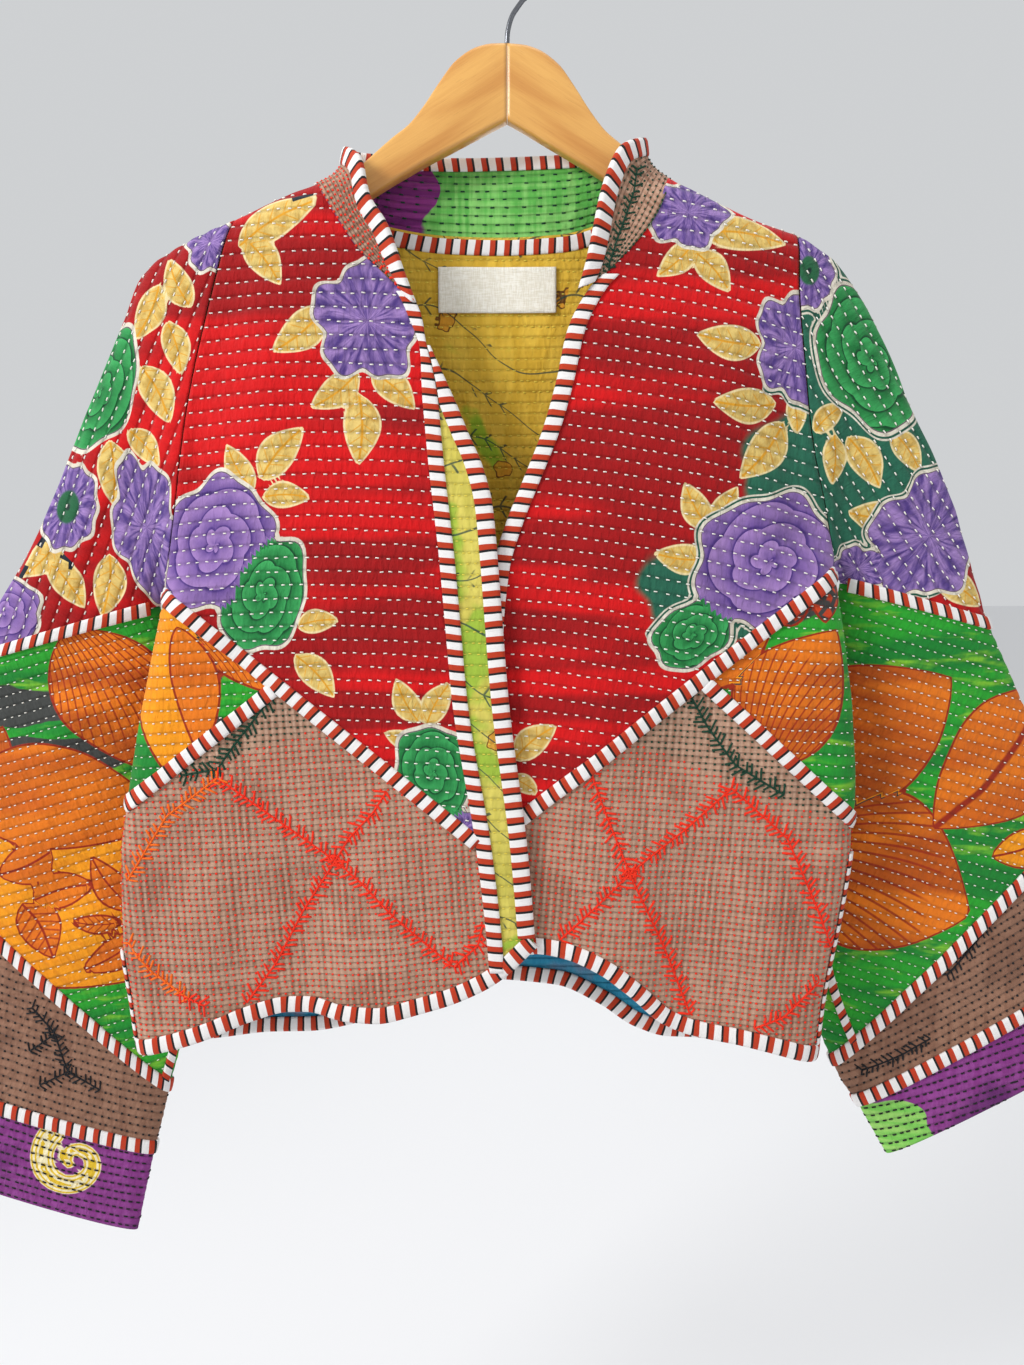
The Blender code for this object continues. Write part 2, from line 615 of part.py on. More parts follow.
def front(side):
    """One front: three pieces, the bindings over their seams, the hem and the slit."""
    red, triangle, patch = red_front(side), triangle_front(side), patch_front(side)
    yoke_end, patch_end = YOKE_LEAD + YOKE_REST, POINT_RUN + YOKE_REST
    above = [column_up(red, column) for column in range(1, yoke_end + 1)]
    outward = [row[::-1] for row in triangle]
    below = outward[1:YOKE_LEAD] + [column_down(patch, column)
                                    for column in range(POINT_RUN, patch_end + 1)]
    above[0] = line_between(above[0], above[1], 0.4)
    below[0] = line_between(below[0], below[1], 0.4)
    stop = 0.7 if side.sign < 0 else 0.4
    above[-1] = line_between(above[-2], above[-1], stop)
    below[-1] = line_between(below[-2], below[-1], stop)
    cuts = seam_cuts(above, below, REACH_DOWN, REACH_DOWN)
    for index in range(YOKE_LEAD - 1):
        cuts[index][2] = walk_in(below[index], REACH_OUT)
    strip(f"binding_yoke_{side.name}", cuts, SLANT_LIFT, SLANT_LIFT + BINDING_WALL)

    above = outward[YOKE_LEAD:YOKE_LEAD + POINT_RUN]
    below = [column_down(patch, POINT_RUN - step) for step in range(POINT_RUN)]
    above[0] = line_between(above[0], above[1], 0.22)
    below[0] = line_between(below[0], below[1], 0.22)
    strip(f"binding_point_{side.name}", seam_cuts(above, below, REACH_OUT, REACH_DOWN),
          SLANT_LIFT, SLANT_LIFT + BINDING_WALL)

    columns = [column_up(patch, column) for column in range(patch_end + 1)]
    columns[0] = line_between(columns[0], columns[1], 0.1)
    if side.sign > 0:
        columns[-1] = line_between(columns[-2], columns[-1], 0.45)
    folded_binding(f"binding_hem_{side.name}", columns)
    slit_binding(f"binding_slit_front_{side.name}", patch, 0, 1, SLIT_TOP[side.name])
    if side.sign > 0:
        rows = [row[::-1] for row in red if row[-1][0].z < COLLAR[-1].seam_z - 14]
        folded_binding("binding_edge_right", rows[:-1] + [row[::-1] for row in patch[:-1]])


def spread_to_sides(share):
    """Crowds columns towards both sides, where the cloth turns round the body."""
    if share < 0.5:
        return 0.5 * (2 * share) ** 1.4
    return 1 - 0.5 * (2 - 2 * share) ** 1.4


def width_at(z, share):
    left = read_curve(LEFT.edge, z) + EDGE_INSET
    right = read_curve(RIGHT.edge, z) - EDGE_INSET
    return between(left, right, share)


def back_top_height(x):
    if BACK_NECK[0].x < x < BACK_NECK[-1].x:
        return read_curve(BACK_NECK, x)
    return read_curve(SHOULDER_LINE, x)


def back():
    """The plain back in two pieces, with its lining side towards the front."""
    last = len(BACK_TOP) - 1
    upper = []
    for row in range(BACK_UPPER_ROWS + 1):
        down = row / BACK_UPPER_ROWS
        marks = []
        for index, top_x in enumerate(BACK_TOP):
            share = spread_to_sides(index / last)
            z = between(back_top_height(top_x), BACK_SEAM_HEIGHT + SEAM_GAP / 2, down) - EDGE_INSET
            inset = ARMHOLE_GAP / 2 * smooth((z - LEFT.underarm.z + 8) / 8)
            x = width_at(z, share) + (1 - 2 * share) * inset
            marks.append((between(top_x, x, smooth(down * 10)), z))
        upper.append(marks)
    upper = panel("back_panel", upper, lay_back, "red_kantha")
    lower = []
    for row in range(BACK_LOWER_ROWS + 1):
        marks = []
        for index in range(last + 1):
            share = spread_to_sides(index / last)
            z = between(BACK_SEAM_HEIGHT - SEAM_GAP / 2,
                        read_curve(BACK_HEM, width_at(BACK_HEM[0].z, share)), row / BACK_LOWER_ROWS)
            marks.append((width_at(z, share), z))
        lower.append(marks)
    lower = panel("back_hem_patch", lower, lay_back, "brown_kantha")

    neck = []
    for column in NECK_COLUMNS:
        line = column_down(upper, column)
        neck.append([walk_in(line, 1.8), walk_in(line, 1.8 + BINDING_WIDTH)])
    under = -WALL / 2 - SEAM_GAP
    strip("binding_neck_seam", neck, under - BINDING_WALL, under)
    inner = range(1, last)
    strip("binding_back_seam", seam_cuts([column_up(upper, column) for column in inner],
                                         [column_down(lower, column) for column in inner],
                                         BINDING_WIDTH / 2, BINDING_WIDTH / 2))
    columns = [column_up(lower, column) for column in range(last + 1)]
    columns[0] = line_between(columns[0], columns[1], 0.1)
    columns[-1] = line_between(columns[-2], columns[-1], 0.9)
    folded_binding("binding_hem_back", columns)
    for name, column, inward in (("left", 0, 1), ("right", last, -1)):
        slit_binding(f"binding_slit_back_{name}", lower, column, inward, SLIT_TOP[name])


def band():
    """The plain band that the left front carries down its opening, with its two bindings."""
    foot_seam = read_curve(LEFT.inner, BAND_FOOT) + SEAM_GAP / 2
    foot_edge = read_curve(BAND_EDGE, BAND_FOOT)
    plan = []
    for row in range(BAND_ROWS + 1):
        marks = []
        for share in (0, 1 / 3, 2 / 3, 1):
            foot_z = read_curve(LEFT.hem, between(foot_seam, foot_edge, share))
            z = between(BAND_TOP, foot_z, row / BAND_ROWS)
            seam = read_curve(LEFT.inner, z) + SEAM_GAP / 2
            marks.append((between(seam, read_curve(BAND_EDGE, z), share), z))
        plan.append(marks)
    grid = panel("front_band_left", plan, lay_front(LEFT), "yellow_kantha", quilted=False)
    halves = [between(1.4, BINDING_WIDTH / 2, smooth((BAND_TOP + 22 - row[0][0].z) / 60))
              for row in grid]

    def width(index):
        wide = (grid[index][0][0] - grid[index][-1][0]).length
        return min(BINDING_WIDTH, wide - halves[index] - SEAM_GAP)

    folded_binding("binding_edge_left", [row[::-1] for row in grid[:-1]], width=width)
    cuts = []
    for half, row in zip(halves[:-1], grid[:-1]):
        outer = lay_front(LEFT)(row[0][0].x - half, row[0][0].z)
        cuts.append([outer, row[0], walk_in(row, half)])
    strip("binding_band_seam", cuts)


def sleeve(side):
    """Four sections down the arm, each a tube, with bindings over their seams."""
    for section, start, stop in SLEEVE_SECTIONS:
        length = sum((sleeve_point(side, stop, turn) - sleeve_point(side, start, turn)).length
                     for turn in (0.0, 0.25, 0.5)) / 3
        rows = max(4, 2 * round(length / SLEEVE_PITCH / 2))
        loops = []
        for column in range(SLEEVE_AROUND):
            turn = column / SLEEVE_AROUND
            reach = sleeve_frame(side, between(start, stop, 0.5), turn)[2]
            gap = ARMHOLE_GAP / 2 if start == 0 else SEAM_GAP / 2
            near_fold = smooth((math.cos(2 * math.pi * (turn - 0.5)) - 0.6) * 2.5)
            near = start + min((gap + 0.8 * near_fold) / reach, 0.2)
            far = stop - min(SEAM_GAP / 2 / reach, 0.1)
            outside, inside = [], []
            for row in range(rows + 1):
                point, facing, _ = sleeve_frame(side, between(near, far, row / rows), turn)
                swell = QUILT if row % 2 and row < rows else 0.0
                outside.append(point + facing * (WALL / 2 + swell))
                inside.append(point - facing * WALL / 2)
            loops.append(outside + inside[::-1])
        add_object(f"sleeve_{side.name}_{section}", loops, SLEEVE_CLOTH[section], caps=False)


def sleeve_bindings(side):
    """Bindings over the sleeve's cross seams; the top one stays open at the underarm."""
    for section, seam in SLEEVE_SEAMS:
        cuts = []
        ringed = section != "upper"
        columns = range(SLEEVE_AROUND) if ringed else range(SLEEVE_AROUND // 2 + 2,
                                                            SLEEVE_AROUND + SLEEVE_AROUND // 2 - 1)
        for column in columns:
            turn = (column % SLEEVE_AROUND) / SLEEVE_AROUND
            cut = []
            for offset in (-1, 1):
                reach = sleeve_frame(side, seam + 0.01 * offset, turn)[2]
                shift = min(BINDING_WIDTH / 2 / reach, 0.3)
                cut.append(sleeve_frame(side, seam + offset * shift, turn)[:2])
            cuts.append([p + n * (LIFT + BINDING_WALL) for p, n in cut]
                        + [p + n * LIFT for p, n in reversed(cut)])
        add_object(f"binding_sleeve_{side.name}_{section}", cuts, "striped_binding",
                   caps=not ringed)


def underarm_binding(side):
    """The binding along the sleeve's inner edge, on the flat between two columns of its points."""
    columns = UNDERARM_SEAM_COLUMNS[side.name]
    middle_share = UNDERARM_SEAM_PLACE[side.name]
    cuts = []
    for index in range(12):
        at = between(1.60, 1.915, index / 11)
        pairs = [sleeve_frame(side, at, column / SLEEVE_AROUND)[:2] for column in columns]
        wide = (pairs[1][0] - pairs[0][0]).length
        half = UNDERARM_SEAM_WIDTH / 2 / wide
        facing = pairs[0][1].lerp(pairs[1][1], 0.5).normalized()
        cuts.append([(pairs[0][0].lerp(pairs[1][0], middle_share + half * offset), facing)
                     for offset in (-1, 1)])
    strip(f"binding_underarm_{side.name}", cuts, LIFT + 0.4, LIFT + 0.4 + BINDING_WALL)


def collar_seam_point(row):
    if row.panel == "back":
        return Vector((row.seam_x, back_y(row.seam_x, row.seam_z), row.seam_z))
    if row.panel == "seam":
        return Vector((row.seam_x, hanger_y(row.seam_x), row.seam_z))
    return Vector((row.seam_x, front_y(side_of(row.seam_x), row.seam_x, row.seam_z), row.seam_z))


def collar_point(share, up):
    """A point of the collar: share goes from tip to tip, up from the neck seam to its edge."""
    last = len(COLLAR) - 1
    seam = Vector([read_curve([(index / last, collar_seam_point(row)[part])
                               for index, row in enumerate(COLLAR)], share) for part in range(3)])
    edge = Vector([read_curve([(index / last, (row.top_x, row.top_y, row.top_z)[part])
                               for index, row in enumerate(COLLAR)], share) for part in range(3)])
    rise = edge - seam
    lift = min(COLLAR_LIFT / rise.length, 0.3)
    return seam + rise * between(lift, 1.0, up)


def collar_frame(share, up):
    step = 0.004
    here = collar_point(share, up)
    along = collar_point(min(share + step, 1), up) - collar_point(max(share - step, 0), up)
    upward = collar_point(share, min(up + step, 1)) - collar_point(share, max(up - step, 0))
    facing = along.cross(upward).normalized()
    roll = COLLAR_ROLL * math.sin(math.pi * up) * smooth(min(share, 1 - share) * 6)
    return here + facing * roll, facing


def collar():
    """The standing collar and the binding folded over its free edge."""
    plan = [[(between(0.012, 0.988, step / COLLAR_AROUND), up / COLLAR_UP)
             for up in range(COLLAR_UP + 1)] for step in range(COLLAR_AROUND + 1)]
    grid = panel("collar", plan, collar_frame, "brown_kantha", quilted=False)

    def width(index):
        high = sum((far[0] - near[0]).length for near, far in zip(grid[index], grid[index][1:]))
        return min(BINDING_WIDTH, high * 0.85)

    folded_binding("binding_collar", [row[::-1] for row in grid], width=width)


def label():
    places = [(between(LABEL_LEFT, LABEL_RIGHT, column / 4), row)
              for row in (LABEL_TOP, between(LABEL_TOP, LABEL_BOTTOM, 0.5), LABEL_BOTTOM)
              for column in range(5)]
    cuts = [[lay_back(*place) for place in places[start:start + 5]] for start in (0, 5, 10)]
    strip("neck_label", cuts, -WALL / 2 - SEAM_GAP - LABEL_WALL, -WALL / 2 - SEAM_GAP,
          "label_cotton")


def hanger_arm(sign, name):
    """One arm: a bevelled bar with a curved top that sweeps forward to a rounded end."""
    cuts = []
    for row in ARMS:
        x = sign * row.x
        tilt = -HANGER_TILT * x
        half = between(WOOD, WOOD_TIP, smooth((row.x - 150) / 45)) / 2
        middle = hanger_y(x)
        cut = min(WOOD_BEVEL, half * 0.7, (row.top - row.bottom) * 0.4)
        profile = ((-half + cut, row.top), (half - cut, row.top), (half, row.top - cut),
                   (half, row.bottom + cut), (half - cut, row.bottom), (-half + cut, row.bottom),
                   (-half, row.bottom + cut), (-half, row.top - cut))
        cuts.append([Vector((x, middle + depth, height + tilt)) for depth, height in profile])
    add_object(name, cuts, "varnished_wood")


def hook():
    """The wire hook: a stem that leans right and a round bend over the peg, open to the left."""
    centre = Vector((0, 0, -HOOK_RADIUS))
    radius = HOOK_RADIUS + WIRE / 2
    path = [Vector((0, 0, STEM_FOOT)), Vector((0.2, 0, -55)), Vector((1.4, 0, -48)),
            Vector((3.6, 0, -42)), Vector((7.0, 0, -37))]
    first, last, bends = -56, 196, 16
    for index in range(bends + 1):
        angle = math.radians(between(first, last, index / bends))
        path.append(centre + Vector((math.cos(angle), 0, math.sin(angle))) * radius)
    cuts = []
    for index, point in enumerate(path):
        run = (path[min(index + 1, len(path) - 1)] - path[max(index - 1, 0)]).normalized()
        out = Vector((1, 0, 0)) if index == 0 else Vector((0, 1, 0)).cross(run)
        turns = [2 * math.pi * step / WIRE_SIDES for step in range(WIRE_SIDES)]
        cuts.append([point + (out * math.cos(turn) + Vector((0, 1, 0)) * math.sin(turn)) * WIRE / 2
                     for turn in turns])
    add_object("hanger_hook", cuts, "hook_steel")


def main():
    for thing in list(bpy.data.objects):
        bpy.data.objects.remove(thing, do_unlink=True)
    hanger_arm(-1, "hanger_arm_left")
    hanger_arm(1, "hanger_arm_right")
    hook()
    back()
    for side in (LEFT, RIGHT):
        front(side)
        sleeve(side)
        sleeve_bindings(side)
        underarm_binding(side)
    band()
    collar()
    label()


main()
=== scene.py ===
"""Dresses the patchwork kantha jacket on its wooden hanger.

Cloth is made as thin quilted shells on the solids' form, with its prints, its sewn rows of small
stitches and its striped bindings. Sizes are in millimetres here and turn into metres where a
mesh is made. +X is the viewer's right, the front faces -Y and +Z is up.
"""
import logging
import math
from dataclasses import dataclass, field
from enum import Enum
from functools import partial
from typing import Callable, NamedTuple, Sequence

import bmesh
import bpy
import numpy as np
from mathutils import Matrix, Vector


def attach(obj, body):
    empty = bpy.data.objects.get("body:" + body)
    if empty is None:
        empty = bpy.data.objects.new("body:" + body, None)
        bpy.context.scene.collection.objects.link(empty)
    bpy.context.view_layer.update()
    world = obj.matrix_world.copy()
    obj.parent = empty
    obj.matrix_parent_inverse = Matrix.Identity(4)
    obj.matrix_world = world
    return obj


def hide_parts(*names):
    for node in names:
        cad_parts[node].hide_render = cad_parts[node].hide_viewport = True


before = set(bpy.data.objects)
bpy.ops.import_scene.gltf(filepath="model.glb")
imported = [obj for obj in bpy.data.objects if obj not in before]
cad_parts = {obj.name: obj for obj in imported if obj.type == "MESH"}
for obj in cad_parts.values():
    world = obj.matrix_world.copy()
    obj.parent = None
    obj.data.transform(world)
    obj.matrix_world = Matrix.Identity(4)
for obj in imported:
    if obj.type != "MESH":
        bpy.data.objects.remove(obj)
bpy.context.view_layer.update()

log = logging.getLogger("jacket")
Array = np.ndarray
Surface = Callable[[Array, Array], Array]
Path = tuple[tuple[float, float], ...]
MM = 0.001
WALL = 1.8                 # quilted cloth
BINDING_WIDTH = 10.5
ROW_PITCH = 9.1            # sewn rows of the flowered cloth
PETAL_PITCH = 7.6          # of the petal cloth
BROWN_PITCH = 4.2          # of the brown patches
DARK_BROWN_PITCH = 6.0     # of the sleeves' lower piece
PURPLE_PITCH = 6.2         # of the cuffs
COLLAR_PITCH = 4.6         # of the collar's inside
FAR = 60.0                 # further than any motif reaches
FOLD_FADE = 3.0            # how fast a fold fades towards its ends
FOLD_HEAD, FOLD_FOOT = 0.3, 0.9    # how much of it is left at them
STITCH_MISS = 1.4          # how far a sampled place may lie from its stitch
STITCH_TURN = 0.06         # how far stitches turn off their row, in radians
PUCKER_DEPTH = 0.0011      # height of the quilting's relief, in metres
SMALL_SHARE = 0.002        # step over a cloth's shares where slopes are read
CLEAR = 0.002              # keeps an edge just inside its neighbour


def mix(low: Array, high: Array, share: Array) -> Array:
    """Value part of the way from low to high."""
    return low + (high - low) * share


def smooth(share: Array) -> Array:
    """Soft step from 0 to 1."""
    share = np.clip(share, 0.0, 1.0)
    return share * share * (3 - 2 * share)


def quarter_round(share: Array) -> Array:
    """Quarter circle from 0 to 1."""
    share = np.clip(share, 0.0, 1.0)
    return np.sqrt(np.maximum(0.0, 1 - (1 - share) ** 2))


def unit(vectors: Array) -> Array:
    """Vectors brought to length one."""
    return vectors / np.maximum(np.linalg.norm(vectors, axis=-1, keepdims=True), 1e-9)


def scatter(first: Array, second: Array | float = 0.0) -> Array:
    """Shares from 0 to 1 in no order, the same ones for the same numbers."""
    return (np.sin(first * 12.9898 + second * 78.233) * 43758.5453) % 1.0


class Curve:
    """Smooth curve through a table of two columns; it never overshoots a row."""

    def __init__(self, rows: Sequence[tuple[float, float]]) -> None:
        """Works out the slope at each row.

        Args:
            rows: places and values, in rising or falling order of place.
        """
        table = np.array([(row[0], row[1]) for row in rows], float)
        if table[0, 0] > table[-1, 0]:
            table = table[::-1]
        self.at, self.value = table[:, 0].copy(), table[:, 1].copy()
        rise = np.diff(self.value) / np.diff(self.at)
        self.slope = np.zeros(len(table))
        self.slope[0], self.slope[-1] = rise[0], rise[-1]
        product = rise[:-1] * rise[1:]
        total = rise[:-1] + rise[1:]
        turning = product <= 0
        self.slope[1:-1] = np.where(turning, 0.0, 2 * product / np.where(turning, 1.0, total))

    def __call__(self, at: Array) -> Array:
        """Values at places, held at both ends.

        Args:
            at: the places.

        Returns:
            The values.
        """
        at = np.clip(np.asarray(at, float), self.at[0], self.at[-1])
        index = np.clip(np.searchsorted(self.at, at, side="right") - 1, 0, len(self.at) - 2)
        span = self.at[index + 1] - self.at[index]
        share = (at - self.at[index]) / span
        square, cube = share * share, share ** 3
        return ((2 * cube - 3 * square + 1) * self.value[index]
                + (cube - 2 * square + share) * self.slope[index] * span
                + (3 * square - 2 * cube) * self.value[index + 1]
                + (cube - square) * self.slope[index + 1] * span)


class Fold(NamedTuple):
    """A soft ridge of the cloth, or a trough where the height is below 0, laid one by one."""
    x0: float
    z0: float
    x1: float
    z1: float
    half_width: float
    height: float


def fold_height(folds: Sequence[Fold], x: Array, z: Array) -> Array:
    """Sum of the soft folds; each fades along its length and to both of its sides.

    Args:
        folds: the ridges and troughs.
        x: places across.
        z: places up.

    Returns:
        How far the cloth stands out at each place.
    """
    total = np.zeros(np.broadcast(x, z).shape)
    for fold in folds:
        run_x, run_z = fold.x1 - fold.x0, fold.z1 - fold.z0
        step_x, step_z = x - fold.x0, z - fold.z0
        along = (step_x * run_x + step_z * run_z) / (run_x ** 2 + run_z ** 2)
        off = np.hypot(step_x - run_x * along, step_z - run_z * along) / fold.half_width
        ends = smooth(along * FOLD_FADE + FOLD_HEAD)
        ends = ends * smooth((1 - along) * FOLD_FADE + FOLD_FOOT)
        total = total + fold.height * ends * np.exp(-off * off)
    return total


class Station(NamedTuple):
    """One ring of a sleeve: outer fold, inner edge, depths and swell to the front and back."""
    at: float
    outer_x: float
    outer_z: float
    inner_x: float
    inner_z: float
    outer_y: float
    inner_y: float
    front: float
    back: float


@dataclass
class Side:
    """One half of the jacket: outlines, seams, folds and the sleeve's stations."""
    name: str
    sign: int
    edge: Curve
    inner: Curve
    underarm: tuple[float, float]
    apex_x: float
    point_end: tuple[float, float]
    yoke_end: tuple[float, float]
    hem: Curve
    hem_x: float
    slit_top: float
    folds: tuple[Fold, ...]
    creases: tuple[Fold, ...]
    arm_creases: tuple[Fold, ...]
    stations: tuple[Station, ...]
    rings: dict[str, Curve] = field(init=False)

    def __post_init__(self) -> None:
        """Makes one curve for each of the sleeve's measures."""
        self.rings = {name: Curve([(row.at, getattr(row, name)) for row in self.stations])
                      for name in Station._fields[1:]}

    @property
    def apex(self) -> tuple[float, float]:
        """Where the three front pieces meet on the yoke seam."""
        share = (self.apex_x - self.underarm[0]) / (self.yoke_end[0] - self.underarm[0])
        return self.apex_x, self.underarm[1] + (self.yoke_end[1] - self.underarm[1]) * share

    def yoke_z(self, x: Array) -> Array:
        """Height of the yoke seam over a place across."""
        share = (x - self.underarm[0]) / (self.yoke_end[0] - self.underarm[0])
        return mix(self.underarm[1], self.yoke_end[1], share)

    def patch_top(self, x: Array) -> Array:
        """Height of the lower piece's top edge.

        Args:
            x: places across.

        Returns:
            The height over each place.
        """
        share = (x - self.apex[0]) / (self.point_end[0] - self.apex[0])
        out = mix(self.apex[1], self.point_end[1], share)
        return np.where((x - self.apex[0]) * self.sign > 0, out, self.yoke_z(x))

    def inset(self, x: Array, z: Array) -> Array:
        """How far places lie in from the side's outline."""
        return np.maximum(0.0, self.sign * (self.edge(z) - x))

    def below_arm(self, z: Array) -> Array:
        """Share from 0 above the underarm to 1 below it."""
        return smooth((self.underarm[1] + 30 - z) / 35)


LEFT = Side(
    name="left", sign=-1,
    edge=Curve(((-177, -181), (-213, -192), (-237, -199), (-278, -210), (-316, -218), (-382, -228),
                (-423, -236), (-454, -242), (-498, -250), (-533, -256), (-566, -262), (-606, -268),
                (-652, -269), (-711, -263), (-750, -259))),
    inner=Curve(((-152, -126), (-181, -110), (-200, -97), (-215, -81), (-229, -67), (-245, -60),
                 (-270, -54), (-339, -47), (-402, -40), (-442, -36.5), (-498, -31.5),
                 (-598, -15.5), (-669, -8), (-720, -5))),
    underarm=(-236, -423), apex_x=-155, point_end=(-262.7, -571), yoke_end=(-17, -596),
    hem=Curve(((-259, -744), (-230, -737), (-209, -730), (-179, -719), (-153, -713), (-138, -713),
               (-115, -717), (-91, -718), (-69, -714), (-41, -706), (-15, -694), (-2, -685),
               (20, -664))),
    hem_x=-259, slit_top=-668.0,
    folds=(Fold(-205, -450, -110, -560, 26, -4), Fold(-205, -600, -212, -740, 30, 4),
           Fold(-135, -600, -145, -720, 28, -5), Fold(-75, -590, -85, -722, 30, 4),
           Fold(-165, -235, -115, -420, 28, 4), Fold(-85, -290, -70, -470, 26, 3)),
    creases=(Fold(-214, -300, -203, -420, 9, -1.6), Fold(-190, -330, -176, -500, 12, -1.5),
             Fold(-148, -240, -140, -330, 9, -0.9), Fold(-128, -400, -60, -520, 13, 1.3),
             Fold(-104, -560, -60, -590, 9, 0.9), Fold(-226, -470, -196, -520, 9, 1.4),
             Fold(-178, -610, -183, -705, 11, -1.6), Fold(-108, -625, -112, -712, 10, 1.2),
             Fold(-236, -600, -240, -730, 10, -1.3), Fold(-52, -620, -60, -700, 10, -1.2),
             Fold(-30, -460, -22, -640, 8, -0.8), Fold(-160, -215, -176, -262, 8, 0.8)),
    arm_creases=(Fold(-215, -250, -300, -440, 12, -2.6), Fold(-205, -330, -260, -430, 10, 2.2),
                 Fold(-240, -440, -360, -500, 12, -2.0), Fold(-250, -480, -400, -580, 14, 2.4),
                 Fold(-245, -540, -330, -650, 13, -2.8), Fold(-262, -640, -350, -700, 11, 1.8),
                 Fold(-250, -700, -300, -735, 10, -2.0), Fold(-300, -480, -352, -640, 13, 1.6),
                 Fold(-290, -790, -420, -740, 13, -1.8), Fold(-300, -870, -450, -820, 12, 1.6),
                 Fold(-232, -330, -236, -415, 8, -1.8), Fold(-268, -330, -300, -420, 9, 1.3)),
    stations=(
        Station(0.00, -181, -177, -236, -423, -10, -8, 13, 17),
        Station(0.15, -215, -191, -237, -424, -8, -7, 13, 16),
        Station(0.30, -246, -211, -239, -426, -6, -6, 13, 15),
        Station(0.42, -260, -240, -241, -427, -5, -5, 13, 14),
        Station(0.60, -288, -300, -243, -429, -4, -3, 13, 13),
        Station(0.80, -325, -381, -245, -431, -4, -1, 12, 12),
        Station(1.00, -381, -473, -247, -434, -4, 1, 12, 12),
        Station(1.25, -396, -510, -237, -530, -3, 8, 13, 10),
        Station(1.50, -407, -543, -231, -620, -2, 10, 13, 9),
        Station(1.75, -418, -577, -236, -715, -2, 8, 13, 10),
        Station(2.00, -430, -611, -254, -792, -2, 4, 13, 11),
        Station(2.50, -455, -688, -259, -815, -3, 1, 12, 11),
        Station(3.00, -479, -765, -265, -838, -3, -1, 11, 10),
        Station(4.00, -497, -826, -280, -903, -4, -3, 10, 10)))

RIGHT = Side(
    name="right", sign=1,
    edge=Curve(((-187, 193), (-219, 193.5), (-237, 195), (-278, 200), (-303, 203), (-328, 207),
                (-362, 215), (-409, 225), (-450, 231), (-507, 237), (-561, 240), (-593, 238),
                (-648, 231), (-683, 225), (-710, 221), (-756, 217))),
    inner=Curve(((-148.5, 108), (-181, 94), (-206, 74), (-225, 55), (-252, 41), (-284, 34),
                 (-316, 25), (-349, 12), (-379, 0), (-410, -9), (-456, -13), (-498, -12),
                 (-598, 1), (-680, 9))),
    underarm=(225, -409), apex_x=131, point_end=(239, -582), yoke_end=(-1, -586),
    hem=Curve(((217, -749), (170, -736), (129, -730), (109, -722), (84, -699), (63, -683),
               (41, -674), (20, -671), (5, -671))),
    hem_x=217, slit_top=-598.0,
    folds=(Fold(195, -440, 100, -540, 26, -4), Fold(180, -600, 182, -745, 30, 4),
           Fold(122, -600, 124, -730, 28, -5), Fold(62, -590, 70, -695, 30, 4),
           Fold(155, -240, 115, -400, 28, 4), Fold(70, -320, 55, -520, 26, 3)),
    creases=(Fold(186, -260, 194, -390, 9, -1.5), Fold(160, -300, 140, -450, 12, -1.3),
             Fold(110, -230, 96, -320, 10, 0.9), Fold(40, -380, 30, -560, 9, -1.1),
             Fold(90, -420, 52, -540, 12, 1.4), Fold(205, -460, 190, -540, 9, 1.5),
             Fold(152, -600, 158, -715, 11, -1.6), Fold(92, -600, 98, -690, 10, 1.3),
             Fold(210, -600, 200, -730, 10, -1.5), Fold(30, -600, 36, -665, 9, -1.0),
             Fold(118, -340, 92, -430, 9, -1.0), Fold(20, -450, 6, -570, 8, 0.8)),
    arm_creases=(Fold(212, -250, 262, -400, 12, -2.4), Fold(206, -300, 232, -400, 9, 2.0),
                 Fold(232, -430, 340, -500, 12, -2.2), Fold(228, -470, 370, -590, 13, 2.5),
                 Fold(225, -540, 320, -640, 13, -2.6), Fold(232, -640, 330, -700, 11, 1.8),
                 Fold(270, -440, 330, -560, 12, 1.6), Fold(250, -700, 300, -720, 9, -1.8),
                 Fold(270, -765, 400, -690, 13, -1.8), Fold(290, -810, 440, -740, 12, 1.6),
                 Fold(228, -320, 228, -400, 8, -1.6), Fold(256, -300, 290, -400, 9, 1.3)),
    stations=(
        Station(0.00, 193, -187, 225, -409, -12, -8, 12, 18),
        Station(0.15, 217, -201, 227, -410, -9, -7, 13, 16),
        Station(0.30, 237, -223, 229, -411, -7, -6, 13, 15),
        Station(0.45, 259, -260, 231, -412, -5, -5, 13, 14),
        Station(0.60, 277, -298, 233, -413, -4, -3, 13, 13),
        Station(0.80, 306, -356, 234, -415, -4, -1, 12, 12),
        Station(1.00, 338, -447, 236, -418, -4, 1, 12, 12),
        Station(1.25, 356, -483, 224, -520, -3, 8, 13, 10),
        Station(1.50, 373, -518, 217, -610, -2, 10, 13, 9),
        Station(1.75, 390, -553, 220, -700, -2, 8, 13, 10),
        Station(2.00, 407, -589, 243, -772, -2, 4, 13, 11),
        Station(2.50, 432, -635, 250, -787, -3, 1, 12, 11),
        Station(3.00, 456, -680, 260, -801, -3, -1, 11, 10),
        Station(4.00, 482, -728, 284, -842, -4, -3, 10, 10)))


